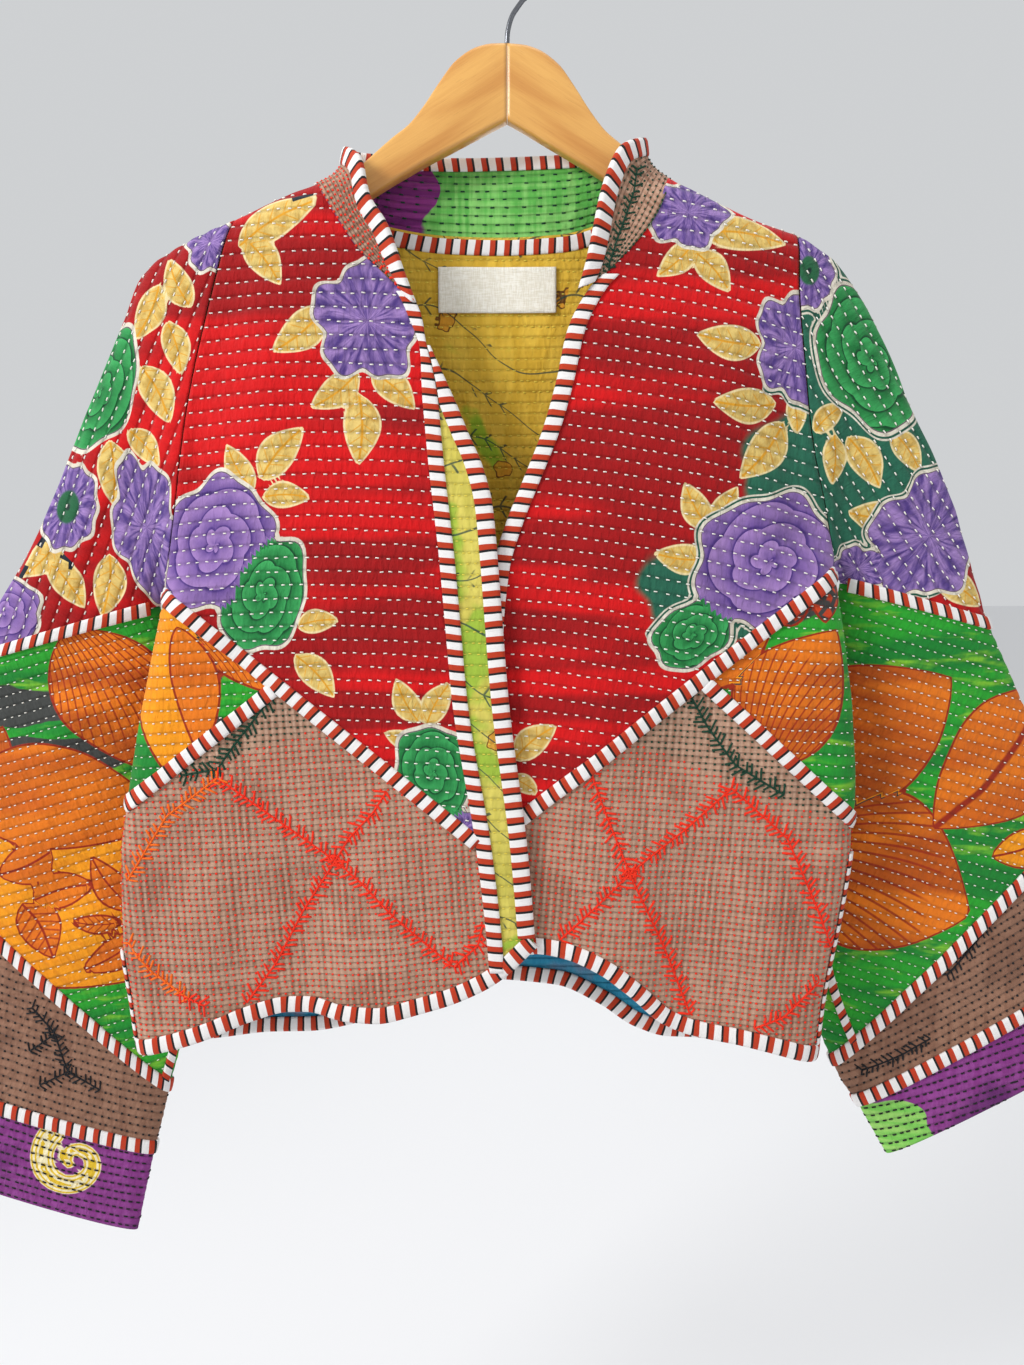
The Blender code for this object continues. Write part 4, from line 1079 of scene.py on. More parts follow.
def sew_rows(thread: Thread, cloth: ClothSheet, step: float, size: Stitch, seed: int,
             keep: Callable[[Array], Array] | None = None, spacing: float = 0.9,
             uneven: float = 0.25, aligned: bool = False) -> None:
    """Sews the running stitches of a quilted cloth along its rows.

    Args:
        thread: the thread that takes the stitches.
        cloth: the cloth with its rows.
        step: from one stitch to the next along a row.
        size: one stitch.
        seed: starts the small unevenness.
        keep: tells which points are sewn with this thread.
        spacing: how close together the places to choose from lie.
        uneven: how much stitches wander, as a share of a step.
        aligned: whether the stitches of all rows stand in columns.
    """
    draw = np.random.default_rng(seed)
    wide = np.linalg.norm(np.diff(cloth.place(np.linspace(0, 1, 50), np.full(50, 0.5)), axis=0),
                          axis=1).sum()
    tall = np.linalg.norm(np.diff(cloth.place(np.full(50, 0.25), np.linspace(0, 1, 50)), axis=0),
                          axis=1).sum()
    columns, rows = int(wide / spacing) + 8, int(max(tall, 30) / spacing) + 8
    across, down = np.meshgrid((np.arange(columns) + 0.5) / columns, (np.arange(rows) + 0.5) / rows)
    across, down = across.ravel(), down.ravel()
    points = cloth.place(across, down)
    sewn = cloth.sewing_place(across, down)
    row = np.round(sewn[:, 1] / cloth.pitch)
    shift = 0.0 if aligned else scatter(row)
    place = sewn[:, 0] / step + shift
    number = np.round(place)
    wander = uneven * (scatter(number, row) - 0.5)
    error = np.hypot((place - number - wander) * step, sewn[:, 1] - row * cloth.pitch)
    behind = (across > 0.5) if cloth.closed else np.zeros(len(across), bool)
    key = (row + 4000) * 20000 + (number + 5000) * 2 + behind
    order = np.lexsort((error, key))
    first = np.ones(len(order), bool)
    first[1:] = key[order][1:] != key[order][:-1]
    chosen = order[first]
    chosen = chosen[error[chosen] < STITCH_MISS]
    if keep is not None:
        chosen = chosen[keep(points[chosen])]
    across, down = across[chosen], down[chosen]
    one, two, facing = cloth.normals(across, down)
    small = SMALL_SHARE
    row_one = (cloth.sewing_place(across + small, down)[:, 1]
               - cloth.sewing_place(across - small, down)[:, 1])
    row_two = (cloth.sewing_place(across, down + small)[:, 1]
               - cloth.sewing_place(across, down - small)[:, 1])
    along = unit(one * row_two[:, None] - two * row_one[:, None])
    turn = draw.normal(0, STITCH_TURN, len(across))[:, None]
    along = unit(along + np.cross(facing, along) * turn)
    thread.add(cloth.place(across, down), along, facing, size)


class SurfacePicker:
    """Finds places on a cloth from where they lie in the front view."""

    def __init__(self, cloth: ClothSheet) -> None:
        """Samples the front half of a cloth.

        Args:
            cloth: the cloth to work on.
        """
        stop = 0.5 if cloth.closed else 1.0
        shares = np.linspace(0.01, 0.99, 110)
        across, down = np.meshgrid(shares * stop, shares)
        self.points = cloth.place(across.ravel(), down.ravel())
        self.facing = cloth.normals(across.ravel(), down.ravel())[2]

    def lay(self, x: Array, z: Array) -> tuple[Array, Array]:
        """Points on the cloth, and the way it faces there, under places of the front view.

        Args:
            x: places across.
            z: places up.

        Returns:
            The points and the facing.
        """
        away = ((x[:, None] - self.points[None, :, 0]) ** 2
                + (z[:, None] - self.points[None, :, 2]) ** 2)
        near = away.argmin(axis=1)
        points = np.stack((x, self.points[near, 1], z), -1)
        return points, self.facing[near]


def embroider(thread: Thread, ground: SurfacePicker, path: Sequence[tuple[float, float]],
              size: Stitch, leg: float = 8.2, pitch: float = 3.7) -> None:
    """Sews one branch of feather stitch along a path.

    Args:
        thread: the thread that takes the stitches.
        ground: where the branch lies.
        path: places of its spine in the front view.
        size: one stitch; its length is that of a leg.
        leg: length of the side stitches.
        pitch: from one pair of legs to the next.
    """
    marks = np.array(path, float)
    run = np.concatenate(((0.0,), np.cumsum(np.linalg.norm(np.diff(marks, axis=0), axis=1))))
    at = np.arange(0, run[-1], pitch)
    x, z = np.interp(at, run, marks[:, 0]), np.interp(at, run, marks[:, 1])
    x = x + 0.5 * np.sin(at * 1.7)
    ahead = unit(np.stack((np.gradient(x), np.gradient(z)), -1))
    side = np.stack((-ahead[:, 1], ahead[:, 0]), -1)
    number = np.arange(len(at))
    for sign in (-1.0, 1.0):
        kept = (number % 5 != 2) if sign > 0 else (number % 5 != 4)
        reach = leg * (0.82 + 0.25 * np.sin(number * 2.4 + sign))
        way = unit(-0.55 * ahead + sign * side)
        starts = np.stack((x, z), -1)[kept]
        ends = (np.stack((x, z), -1) + way * reach[:, None])[kept]
        lay_between(thread, ground, starts, ends, size)
    starts = np.stack((x, z), -1)
    lay_between(thread, ground, starts[:-1], starts[1:], size)


def lay_between(thread: Thread, ground: SurfacePicker, starts: Array, ends: Array,
                size: Stitch) -> None:
    """Sews one stitch from each start to its end.

    Args:
        thread: the thread that takes the stitches.
        ground: where they lie.
        starts: places in the front view.
        ends: places in the front view.
        size: width and height of a stitch.
    """
    first, facing = ground.lay(starts[:, 0], starts[:, 1])
    second, other = ground.lay(ends[:, 0], ends[:, 1])
    long = np.linalg.norm(second - first, axis=1)
    middle = (first + second) / 2
    for length in np.unique(np.round(long, 0)):
        held = np.round(long, 0) == length
        thread.add(middle[held], unit(second - first)[held], unit(facing + other)[held],
                   size._replace(length=float(length) + 0.6))


STRIP_RING = ((-1, 0), (-0.985, 0.5), (-0.88, 0.86), (-0.55, 0.97), (0, 1.0), (0.55, 0.97),
              (0.88, 0.86), (0.985, 0.5), (1, 0), (0.5, 0), (0, 0), (-0.5, 0))
FOLD_RING = ((1.0, 1.5), (0.98, 2.3), (0.85, 2.75), (0.5, 2.85), (0.12, 2.7), (-0.08, 1.9),
             (-0.13, 0.0), (-0.08, -1.9), (0.12, -2.7), (0.5, -2.85), (0.85, -2.75), (0.98, -2.3),
             (1.0, -1.5), (0.9, -1.15), (0.05, -1.15), (0.05, 1.15), (0.9, 1.15))


@dataclass
class Binding:
    """A striped strip of cloth sewn along a seam or folded over an edge.

    The path and the way across it are places on a surface's pattern; the way across is given
    per millimetre.
    """
    name: str
    place: Surface
    path: tuple[Array, Array]
    across: tuple[Array | float, Array | float]
    outward: float
    width: Array | float = BINDING_WIDTH
    folded: bool = False
    closed: bool = False
    low: float = 0.9
    high: float = 3.1
    steps: tuple[float, float] = (0.4, 0.4)
    straight: bool = False
    rests_on: tuple[str, ...] = ()

    def ring(self) -> Array:
        """Cross-section: share of the width and height above the cloth's middle.

        Returns:
            One row for each corner.
        """
        if self.folded:
            return np.array(FOLD_RING)
        ring = np.array(STRIP_RING)
        return np.stack((ring[:, 0] / 2, self.low + (self.high - self.low) * ring[:, 1]), -1)

    def sections(self) -> tuple[Array, Array, Array]:
        """Points of every cross-section, the run along the path and the place across it.

        Returns:
            All three, one row for each cross-section.
        """
        ring = self.ring()
        first, second = (np.asarray(part, float)[:, None] for part in self.path)
        one, two = (np.broadcast_to(np.asarray(part, float), self.path[0].shape)[:, None]
                    for part in self.across)
        width = np.broadcast_to(np.asarray(self.width, float), self.path[0].shape)[:, None]
        reach = ring[None, :, 0] * width
        half = 0.5
        if self.straight:
            points, facing = frames(self.place, first, second, self.outward, self.steps)
            ahead = self.place(first + one * half, second + two * half)
            way = unit(ahead - self.place(first - one * half, second - two * half))
            points = points + way * reach[..., None]
        else:
            inside = np.maximum(reach, 0.0) if self.folded else reach
            points, facing = frames(self.place, first + one * inside, second + two * inside,
                                    self.outward, self.steps)
            if self.folded:
                outwards = unit(self.place(first, second)
                                - self.place(first + one * half, second + two * half))
                points = points + outwards * np.maximum(-reach, 0.0)[..., None]
        points = points + facing * np.broadcast_to(ring[None, :, 1], reach.shape)[..., None]
        return points, self.run_of(points), np.abs(reach) if self.folded else reach + width / 2

    @staticmethod
    def run_of(points: Array) -> Array:
        """Length along the binding at each cross-section."""
        middle = points.mean(axis=1)
        return np.concatenate(((0.0,), np.cumsum(np.linalg.norm(np.diff(middle, axis=0), axis=1))))

    def build(self, finish: bpy.types.Material) -> bpy.types.Object:
        """Makes the binding.

        Args:
            finish: its material.

        Returns:
            The finished object.
        """
        points, run, reach = self.sections()
        weave = np.stack((np.broadcast_to(run[:, None], reach.shape), reach), -1)
        mesh = rings_mesh(self.name, points, weave, capped=not self.closed)
        if self.closed:
            self.join_ends(mesh)
        thing = new_object(f"{self.name}_strip", mesh, (finish,), "striped_binding", (self.name,))
        girth = np.linalg.norm(points - np.roll(points, 1, axis=1), axis=-1).sum(axis=1).mean()
        list(self.rests_on)
        return thing

    @staticmethod
    def join_ends(mesh: bpy.types.Mesh) -> None:
        """Closes a binding that runs once round a sleeve.

        Args:
            mesh: the binding.
        """
        form = bmesh.new()
        form.from_mesh(mesh)
        bmesh.ops.remove_doubles(form, verts=form.verts, dist=1e-5)
        bmesh.ops.recalc_face_normals(form, faces=form.faces)
        form.to_mesh(mesh)
        form.free()


def square_up(x: Array, z: Array) -> tuple[Array, Array]:
    """The way square to a line of the front view, towards its upper side."""
    way = unit(np.stack((-np.gradient(z, x), np.ones(len(x))), -1))
    return way[:, 0], way[:, 1]


def hem_binding(name: str, place: Surface, x: Array, z: Array,
                outward: float, over: tuple[str, ...]) -> Binding:
    """A binding folded over a hem that runs through places of the front view."""
    return Binding(name, place, (x, z), square_up(x, z), outward, folded=True, rests_on=over)


def slit_binding(side: Side, face: str, place: Surface, foot: float,
                 outward: float, over: tuple[str, ...]) -> Binding:
    """A narrow binding folded over the edge of a side slit, down to the hem at its foot."""
    z = np.linspace(side.slit_top - 4, foot + 9, 50)
    return Binding(f"binding_slit_{face}_{side.name}", place, (side.edge(z), z),
                   (-float(side.sign), 0.0), outward, width=4.5, folded=True, rests_on=over)


LEFT_FRONT_PRINT = Print(
    blooms=(Bloom(BloomKind.STREAKED, -92, -246, 33, 36, 15),
            Bloom(BloomKind.STREAKED, -32, -584, 14, 12, 0),
            Bloom(BloomKind.GREEN_ROSE, -163, -425, 27, 39, -20),
            Bloom(BloomKind.PURPLE_ROSE, -196, -392, 37, 45, -25),
            Bloom(BloomKind.GREEN_ROSE, -50, -545, 25, 31, 10)),
    leaves=(Leaf(-161, -207, 40, -51), Leaf(-137, -252, 46, -139), Leaf(-114, -291, 40, -142),
            Leaf(-75, -291, 38, -40), Leaf(-98, -317, 47, -90), Leaf(-178, -341, 36, 122),
            Leaf(-149, -332, 45, 50), Leaf(-146, -361, 33, 0), Leaf(-126, -444, 30, 10),
            Leaf(-129, -480, 39, -47), Leaf(-67, -496, 34, 118), Leaf(-46, -498, 35, 61),
            Leaf(-72, -521, 24, 165), Leaf(-150, -182, 62, 30, 0, 0.2),
            Leaf(-146, -176, 50, 32, 2, 0.12)))
RIGHT_FRONT_PRINT = Print(
    blooms=(Bloom(BloomKind.STREAKED, 119, -176, 24, 21, 0),
            Bloom(BloomKind.STREAKED, 192, -262, 25, 34, 10),
            Bloom(BloomKind.PURPLE_ROSE, 175, -404, 50, 43, 20),
            Bloom(BloomKind.GREEN_ROSE, 124, -452, 27, 20, 30)),
    leaves=(Leaf(111, -206, 34, -137), Leaf(135, -214, 36, -47), Leaf(146, -258, 44, 172),
            Leaf(157, -299, 44, 180), Leaf(193, -306, 26, -80), Leaf(170, -330, 49, -128),
            Leaf(126, -367, 36, 119), Leaf(146, -369, 34, 66), Leaf(116, -400, 38, 175),
            Leaf(19, -525, 38, 40), Leaf(12, -555, 24, -30), Leaf(156, -192, 58, -6, 0, 0.2),
            Leaf(158, -189, 46, -8, 2, 0.11)),
    patches=(Patch(196, -345, 38, 46), Patch(150, -420, 62, 34)))
LEFT_ARM_PRINT = Print(
    blooms=(Bloom(BloomKind.STREAKED, -196, -194, 16, 18, 20),
            Bloom(BloomKind.GREEN_ROSE, -277, -287, 24, 42, -25),
            Bloom(BloomKind.ROUND, -302, -366, 20, 28, -15),
            Bloom(BloomKind.STREAKED, -247, -380, 22, 46, 8),
            Bloom(BloomKind.PURPLE_ROSE, -352, -438, 27, 24, 0)),
    leaves=(Leaf(-218, -219, 37, 116), Leaf(-241, -238, 40, -116), Leaf(-222, -262, 37, -75),
            Leaf(-236, -292, 44, -62), Leaf(-246, -327, 34, -49), Leaf(-270, -343, 43, -90),
            Leaf(-322, -400, 40, -134), Leaf(-305, -419, 40, -55), Leaf(-278, -420, 44, -100),
            Leaf(-325, -395, 56, -125, 2, 0.1), Leaf(-302, -412, 40, -60, 2, 0.1)))
RIGHT_ARM_PRINT = Print(
    blooms=(Bloom(BloomKind.ROUND, 200, -212, 17, 23, 0),
            Bloom(BloomKind.GREEN_ROSE, 245, -268, 34, 48, 30),
            Bloom(BloomKind.STREAKED, 290, -386, 36, 42, -30),
            Bloom(BloomKind.STREAKED, 243, -408, 18, 14, 0)),
    leaves=(Leaf(217, -307, 30, 43), Leaf(220, -335, 34, -90), Leaf(243, -336, 42, -54),
            Leaf(272, -329, 36, -51), Leaf(253, -371, 42, 178), Leaf(314, -424, 40, -30)),
    patches=(Patch(238, -304, 74, 122),))
BACK_PRINT = Print(
    blooms=(Bloom(BloomKind.PURPLE_ROSE, -118, -262, 44, 40, 10),
            Bloom(BloomKind.GREEN_ROSE, -70, -308, 34, 30, 40),
            Bloom(BloomKind.STREAKED, 92, -238, 34, 38, 0),
            Bloom(BloomKind.GREEN_ROSE, 150, -300, 30, 42, -15),
            Bloom(BloomKind.PURPLE_ROSE, 74, -452, 46, 42, 25),
            Bloom(BloomKind.STREAKED, -142, -470, 30, 38, 20),
            Bloom(BloomKind.GREEN_ROSE, -30, -500, 28, 32, 0),
            Bloom(BloomKind.ROUND, 168, -500, 24, 22, 0)),
    leaves=(Leaf(-168, -300, 42, -140), Leaf(-150, -325, 40, -100), Leaf(-80, -228, 42, 40),
            Leaf(-36, -340, 44, -50), Leaf(-58, -360, 42, -95), Leaf(46, -280, 44, -130),
            Leaf(74, -298, 40, -85), Leaf(120, -196, 38, 60), Leaf(168, -366, 42, -60),
            Leaf(22, -430, 42, 170), Leaf(36, -500, 42, -140), Leaf(122, -490, 40, -60),
            Leaf(118, -400, 38, 50), Leaf(-180, -420, 40, 120), Leaf(-100, -500, 40, -30),
            Leaf(-120, -426, 36, 60), Leaf(0, -460, 36, 50), Leaf(20, -350, 40, 100)),
    patches=(Patch(120, -330, 60, 60),))
ARM_BACK_PRINT = Print(
    blooms=(Bloom(BloomKind.PURPLE_ROSE, -268, -300, 34, 40, -30),
            Bloom(BloomKind.GREEN_ROSE, -318, -404, 24, 30, 20),
            Bloom(BloomKind.STREAKED, 252, -272, 30, 36, 25),
            Bloom(BloomKind.PURPLE_ROSE, 306, -396, 34, 30, 0)),
    leaves=(Leaf(-232, -330, 40, -60), Leaf(-262, -356, 40, -95), Leaf(-292, -372, 36, -120),
            Leaf(-236, -256, 38, 60), Leaf(250, -326, 40, -80), Leaf(278, -336, 40, -40),
            Leaf(222, -246, 36, 130), Leaf(268, -420, 38, 190), Leaf(296, -350, 36, 80)))
LEFT_TRIANGLE_PRINT = Print(
    leaves=(Leaf(-230, -492, 116, -86, 2, 0.27), Leaf(-178, -466, 80, -42, 4, 0.3)),
    patches=(Patch(-204, -470, 11, 40), Patch(-198, -522, 10, 14)),
    over=(Leaf(-213, -492, 92, -80, 0, 0.17),))
RIGHT_TRIANGLE_PRINT = Print(
    leaves=(Leaf(152, -468, 62, 35, 0, 0.3), Leaf(196, -494, 104, 62, 4, 0.36),
            Leaf(212, -428, 34, -85, 3, 0.36), Leaf(193, -437, 26, 40, 3, 0.36)),
    patches=(Patch(186, -434, 22, 12), Patch(140, -482, 14, 8)))
LEFT_MIDDLE_PRINT = Print(
    leaves=(Leaf(-284, -500, 108, -66, 4, 0.36), Leaf(-322, -640, 220, -28, 2, 0.40),
            Leaf(-372, -560, 90, 70, 1, 0.36)),
    patches=(Patch(-346, -505, 66, 13), Patch(-334, -538, 70, 12), Patch(-246, -486, 24, 9)),
    over=(Leaf(-318, -578, 150, -8, 0, 0.26), Leaf(-286, -634, 50, 128, 1, 0.25),
          Leaf(-298, -662, 38, 178, 4, 0.2), Leaf(-288, -686, 52, 212, 1, 0.24),
          Leaf(-346, -618, 44, 205, 1, 0.34), Leaf(-320, -640, 46, 15, 1, 0.30),
          Leaf(-338, -668, 46, -62, 4, 0.34), Leaf(-256, -700, 40, 40, 1, 0.3)))
RIGHT_MIDDLE_PRINT = Print(
    leaves=(Leaf(262, -524, 128, 40, 0, 0.40), Leaf(272, -634, 130, -18, 4, 0.47)),
    patches=(Patch(392, -600, 20, 26),),
    over=(Leaf(344, -545, 124, 232, 1, 0.34), Leaf(366, -606, 44, 200, 2, 0.34)))
PLAIN_PRINT = Print()
CUFF_PRINT = Print(curls=(Curl(-321, -844, 27, 122), Curl(-404, -822, 20, 200)))
GREEN_CUFF_PRINT = Print(patches=(Patch(280, -826, 34, 30),))
PURPLE_COLLAR_PRINT = Print(patches=(Patch(-92, -150, 40, 60),))


@dataclass(frozen=True)
class RowFan:
    """Rows of stitching that run one way across the front view, with a slight bend.

    turn is the way along the rows in degrees above the level, bend how much they curve for each
    millimetre, and middle where along them the curve has its top.
    """
    turn: float
    bend: float = 0.0
    middle: float = 0.0

    def __call__(self, points: Array) -> Array:
        """Places along and across the rows.

        Args:
            points: points of the cloth.

        Returns:
            Both places for each point.
        """
        angle = math.radians(self.turn)
        along = points[..., 0] * math.cos(angle) + points[..., 2] * math.sin(angle)
        across = points[..., 2] * math.cos(angle) - points[..., 0] * math.sin(angle)
        return np.stack((along, across - self.bend * (along - self.middle) ** 2), -1)


Socket = bpy.types.NodeSocket
Colour = tuple[float, float, float]


def paint(red: int, green: int, blue: int) -> Colour:
    """A colour given as 0 to 255 for each light, as the shaders take it."""
    return tuple(((part / 255) / 12.92 if part / 255 <= 0.04045
                  else ((part / 255 + 0.055) / 1.055) ** 2.4) for part in (red, green, blue))


class Graph:
    """Lays shader nodes into one tree and joins them."""

    def __init__(self, tree: bpy.types.NodeTree) -> None:
        """Takes the tree to lay nodes into."""
        self.tree = tree

    def node(self, kind: str, values: dict | None = None,
             **settings: object) -> bpy.types.Node:
        """Adds one node.

        Args:
            kind: the node's type.
            values: what each input gets, a constant or another node's output.
            settings: the node's own settings.

        Returns:
            The node.
        """
        item = self.tree.nodes.new(kind)
        for label, value in settings.items():
            setattr(item, label, value)
        for label, value in (values or {}).items():
            socket = item.inputs[label]
            if isinstance(value, Socket):
                self.tree.links.new(value, socket)
            elif socket.type == "RGBA" and len(value) == 3:
                socket.default_value = (*value, 1.0)
            else:
                socket.default_value = value
        return item

    def sum(self, kind: str, first: Socket | float, second: Socket | float = 0.0,
            third: Socket | float = 0.0) -> Socket:
        """Result of one piece of arithmetic."""
        return self.node("ShaderNodeMath", {0: first, 1: second, 2: third},
                         operation=kind).outputs[0]

    def step(self, value: Socket, low: float, high: float) -> Socket:
        """Soft step from 0 at low to 1 at high, which may lie the other way round."""
        return self.node("ShaderNodeMapRange", {"Value": value, "From Min": low, "From Max": high},
                         interpolation_type="SMOOTHSTEP").outputs[0]

    def line(self, value: Socket, at: float, wide: float, narrow: float) -> Socket:
        """1 where a value comes within narrow of a number, 0 from wide of it on."""
        return self.step(self.sum("ABSOLUTE", self.sum("SUBTRACT", value, at)), wide, narrow)

    def between(self, value: Socket, rise: tuple[float, float],
                fall: tuple[float, float]) -> Socket:
        """1 where a value lies between two soft steps."""
        return self.sum("MULTIPLY", self.step(value, *rise), self.step(value, *fall))

    def blend(self, share: Socket | float, under: Socket | Colour, over: Socket | Colour,
              way: str = "MIX") -> Socket:
        """Lays one colour over another."""
        return self.node("ShaderNodeMix", {0: share, 6: under, 7: over}, data_type="RGBA",
                         blend_type=way, clamp_factor=True).outputs[2]

    def noise(self, place: Socket, scale: float, detail: float = 2.0,
              uneven: float = 0.0) -> Socket:
        """Cloudy noise over a place."""
        return self.node("ShaderNodeTexNoise", {"Vector": place, "Scale": scale, "Detail": detail,
                                                "Distortion": uneven}).outputs[0]

    def stretch(self, place: Socket, size: tuple[float, float, float],
                turn: float = 0.0) -> Socket:
        """A place scaled and turned."""
        return self.node("ShaderNodeMapping", {"Vector": place, "Scale": size,
                                               "Rotation": (0.0, turn, 0.0)}).outputs[0]

    def parts(self, vector: Socket) -> tuple[Socket, Socket, Socket]:
        """The three parts of a vector."""
        item = self.node("ShaderNodeSeparateXYZ", {0: vector})
        return item.outputs[0], item.outputs[1], item.outputs[2]

    def attribute(self, name: str) -> tuple[Socket, Socket, Socket]:
        """The three parts of one of the piece's own attributes."""
        return self.parts(self.node("ShaderNodeAttribute", attribute_name=name).outputs["Vector"])

    def object_place(self) -> Socket:
        """The place in the piece, in metres."""
        return self.node("ShaderNodeTexCoord").outputs["Object"]

    def weave_place(self) -> Socket:
        """The place along and across the sewn rows, in metres."""
        return self.node("ShaderNodeTexCoord").outputs["UV"]


class SharedGroups:
    """Effects that more than one finish uses, each made once."""

    def __init__(self) -> None:
        """Makes the groups."""
        self.cloth = self.make_cloth()
        self.petals = self.make_petals()

    @staticmethod
    def start(name: str, inputs: Sequence[tuple[str, str, float | None]],
              outputs: Sequence[tuple[str, str]]) -> tuple[bpy.types.NodeTree, Graph, dict, dict]:
        """Starts a group with its named sockets.

        Args:
            name: the name of the group.
            inputs: name, kind and first value of each input.
            outputs: name and kind of each output.

        Returns:
            The tree, its graph, and the sockets inside it.
        """
        tree = bpy.data.node_groups.new(name, "ShaderNodeTree")
        for label, kind, value in inputs:
            socket = tree.interface.new_socket(label, in_out="INPUT", socket_type=kind)
            if value is not None:
                socket.default_value = value
        for label, kind in outputs:
            tree.interface.new_socket(label, in_out="OUTPUT", socket_type=kind)
        taken = tree.nodes.new("NodeGroupInput").outputs
        given = tree.nodes.new("NodeGroupOutput").inputs
        return tree, Graph(tree), taken, given

    def make_cloth(self) -> bpy.types.NodeTree:
        """Quilted cotton: threads, puckers, uneven wear, and painted shade in the rows' troughs and
        over the wrinkles.

        Returns:
            The group.
        """
        tree, graph, taken, given = self.start(
            "quilted cotton",
            (("Colour", "NodeSocketColor", None), ("Place", "NodeSocketVector", None),
             ("Pitch", "NodeSocketFloat", 0.0091), ("Puckers", "NodeSocketFloat", 1.0)),
            (("Colour", "NodeSocketColor"), ("Height", "NodeSocketFloat"),
             ("Roughness", "NodeSocketFloat")))
        place = taken["Place"]
        _, across, _ = graph.parts(place)
        row = graph.sum("DIVIDE", across, taken["Pitch"])
        wave = graph.sum("COSINE", graph.sum("MULTIPLY", row, 2 * math.pi))
        dip = graph.sum("POWER", graph.sum("MULTIPLY_ADD", wave, 0.5, 0.5), 5.0)
        wrinkle = graph.noise(graph.stretch(place, (260, 95, 1)), 1.0, 2.0, 0.4)
        soft = graph.noise(graph.stretch(place, (60, 34, 1)), 1.0, 2.0)
        warp = graph.sum("SINE", graph.sum("MULTIPLY", graph.parts(place)[0], 7400.0))
        weft = graph.sum("SINE", graph.sum("MULTIPLY", across, 7400.0))
        threads = graph.sum("MULTIPLY", graph.sum("MULTIPLY", warp, weft), 0.05)
        height = graph.sum("MULTIPLY_ADD", dip, -0.7, graph.sum("MULTIPLY", wrinkle, 1.5))
        height = graph.sum("MULTIPLY", height, taken["Puckers"])
        height = graph.sum("ADD", graph.sum("MULTIPLY_ADD", soft, 0.9, threads), height)
        graph.tree.links.new(height, given["Height"])
        fade = graph.noise(graph.object_place(), 22.0, 3.0)
        # Uneven fading of the dye, plus painted shade: darker in the troughs of the sewn rows, and
        # over the small wrinkles paler where they stand up and darker where they sink.
        light = graph.sum("MULTIPLY_ADD", fade, 0.30, 0.85)
        light = graph.sum("MULTIPLY_ADD", graph.sum("MULTIPLY", dip, taken["Puckers"]), -0.2, light)
        light = graph.sum("MULTIPLY_ADD", graph.sum("SUBTRACT", wrinkle, 0.5), 0.34, light)
        shaded = graph.node("ShaderNodeHueSaturation", {"Value": light, "Color": taken["Colour"]})
        graph.tree.links.new(shaded.outputs[0], given["Colour"])
        graph.tree.links.new(graph.sum("MULTIPLY_ADD", soft, 0.12, 0.8), given["Roughness"])
        return tree

    def make_petals(self) -> bpy.types.NodeTree:
        """Rings of overlapping petals, dark inside and pale at each rim.

        Returns:
            The group.
        """
        tree, graph, taken, given = self.start(
            "rings of petals",
            (("Side", "NodeSocketFloat", 0.0), ("Up", "NodeSocketFloat", 0.0),
             ("Rings", "NodeSocketFloat", 3.6)),
            (("Shade", "NodeSocketFloat"), ("Line", "NodeSocketFloat"),
             ("Radius", "NodeSocketFloat"), ("Angle", "NodeSocketFloat")))
        side, up = taken["Side"], taken["Up"]
        square = graph.sum("ADD", graph.sum("MULTIPLY", side, side), graph.sum("MULTIPLY", up, up))
        radius = graph.sum("SQRT", square)
        angle = graph.sum("DIVIDE", graph.sum("ARCTAN2", up, side), 2 * math.pi)
        scallop = graph.sum("ABSOLUTE", graph.sum("SINE", graph.sum(
            "MULTIPLY_ADD", angle, 5 * math.pi, graph.sum("MULTIPLY", radius, 5.0))))
        turns = graph.sum("MULTIPLY_ADD", radius, taken["Rings"], angle)
        turns = graph.sum("MULTIPLY_ADD", scallop, -0.30, turns)
        part = graph.sum("FRACT", graph.sum("ADD", turns, 4.0))
        graph.tree.links.new(part, given["Shade"])
        graph.tree.links.new(graph.step(part, 0.16, 0.04), given["Line"])
        graph.tree.links.new(radius, given["Radius"])
        graph.tree.links.new(angle, given["Angle"])
        return tree


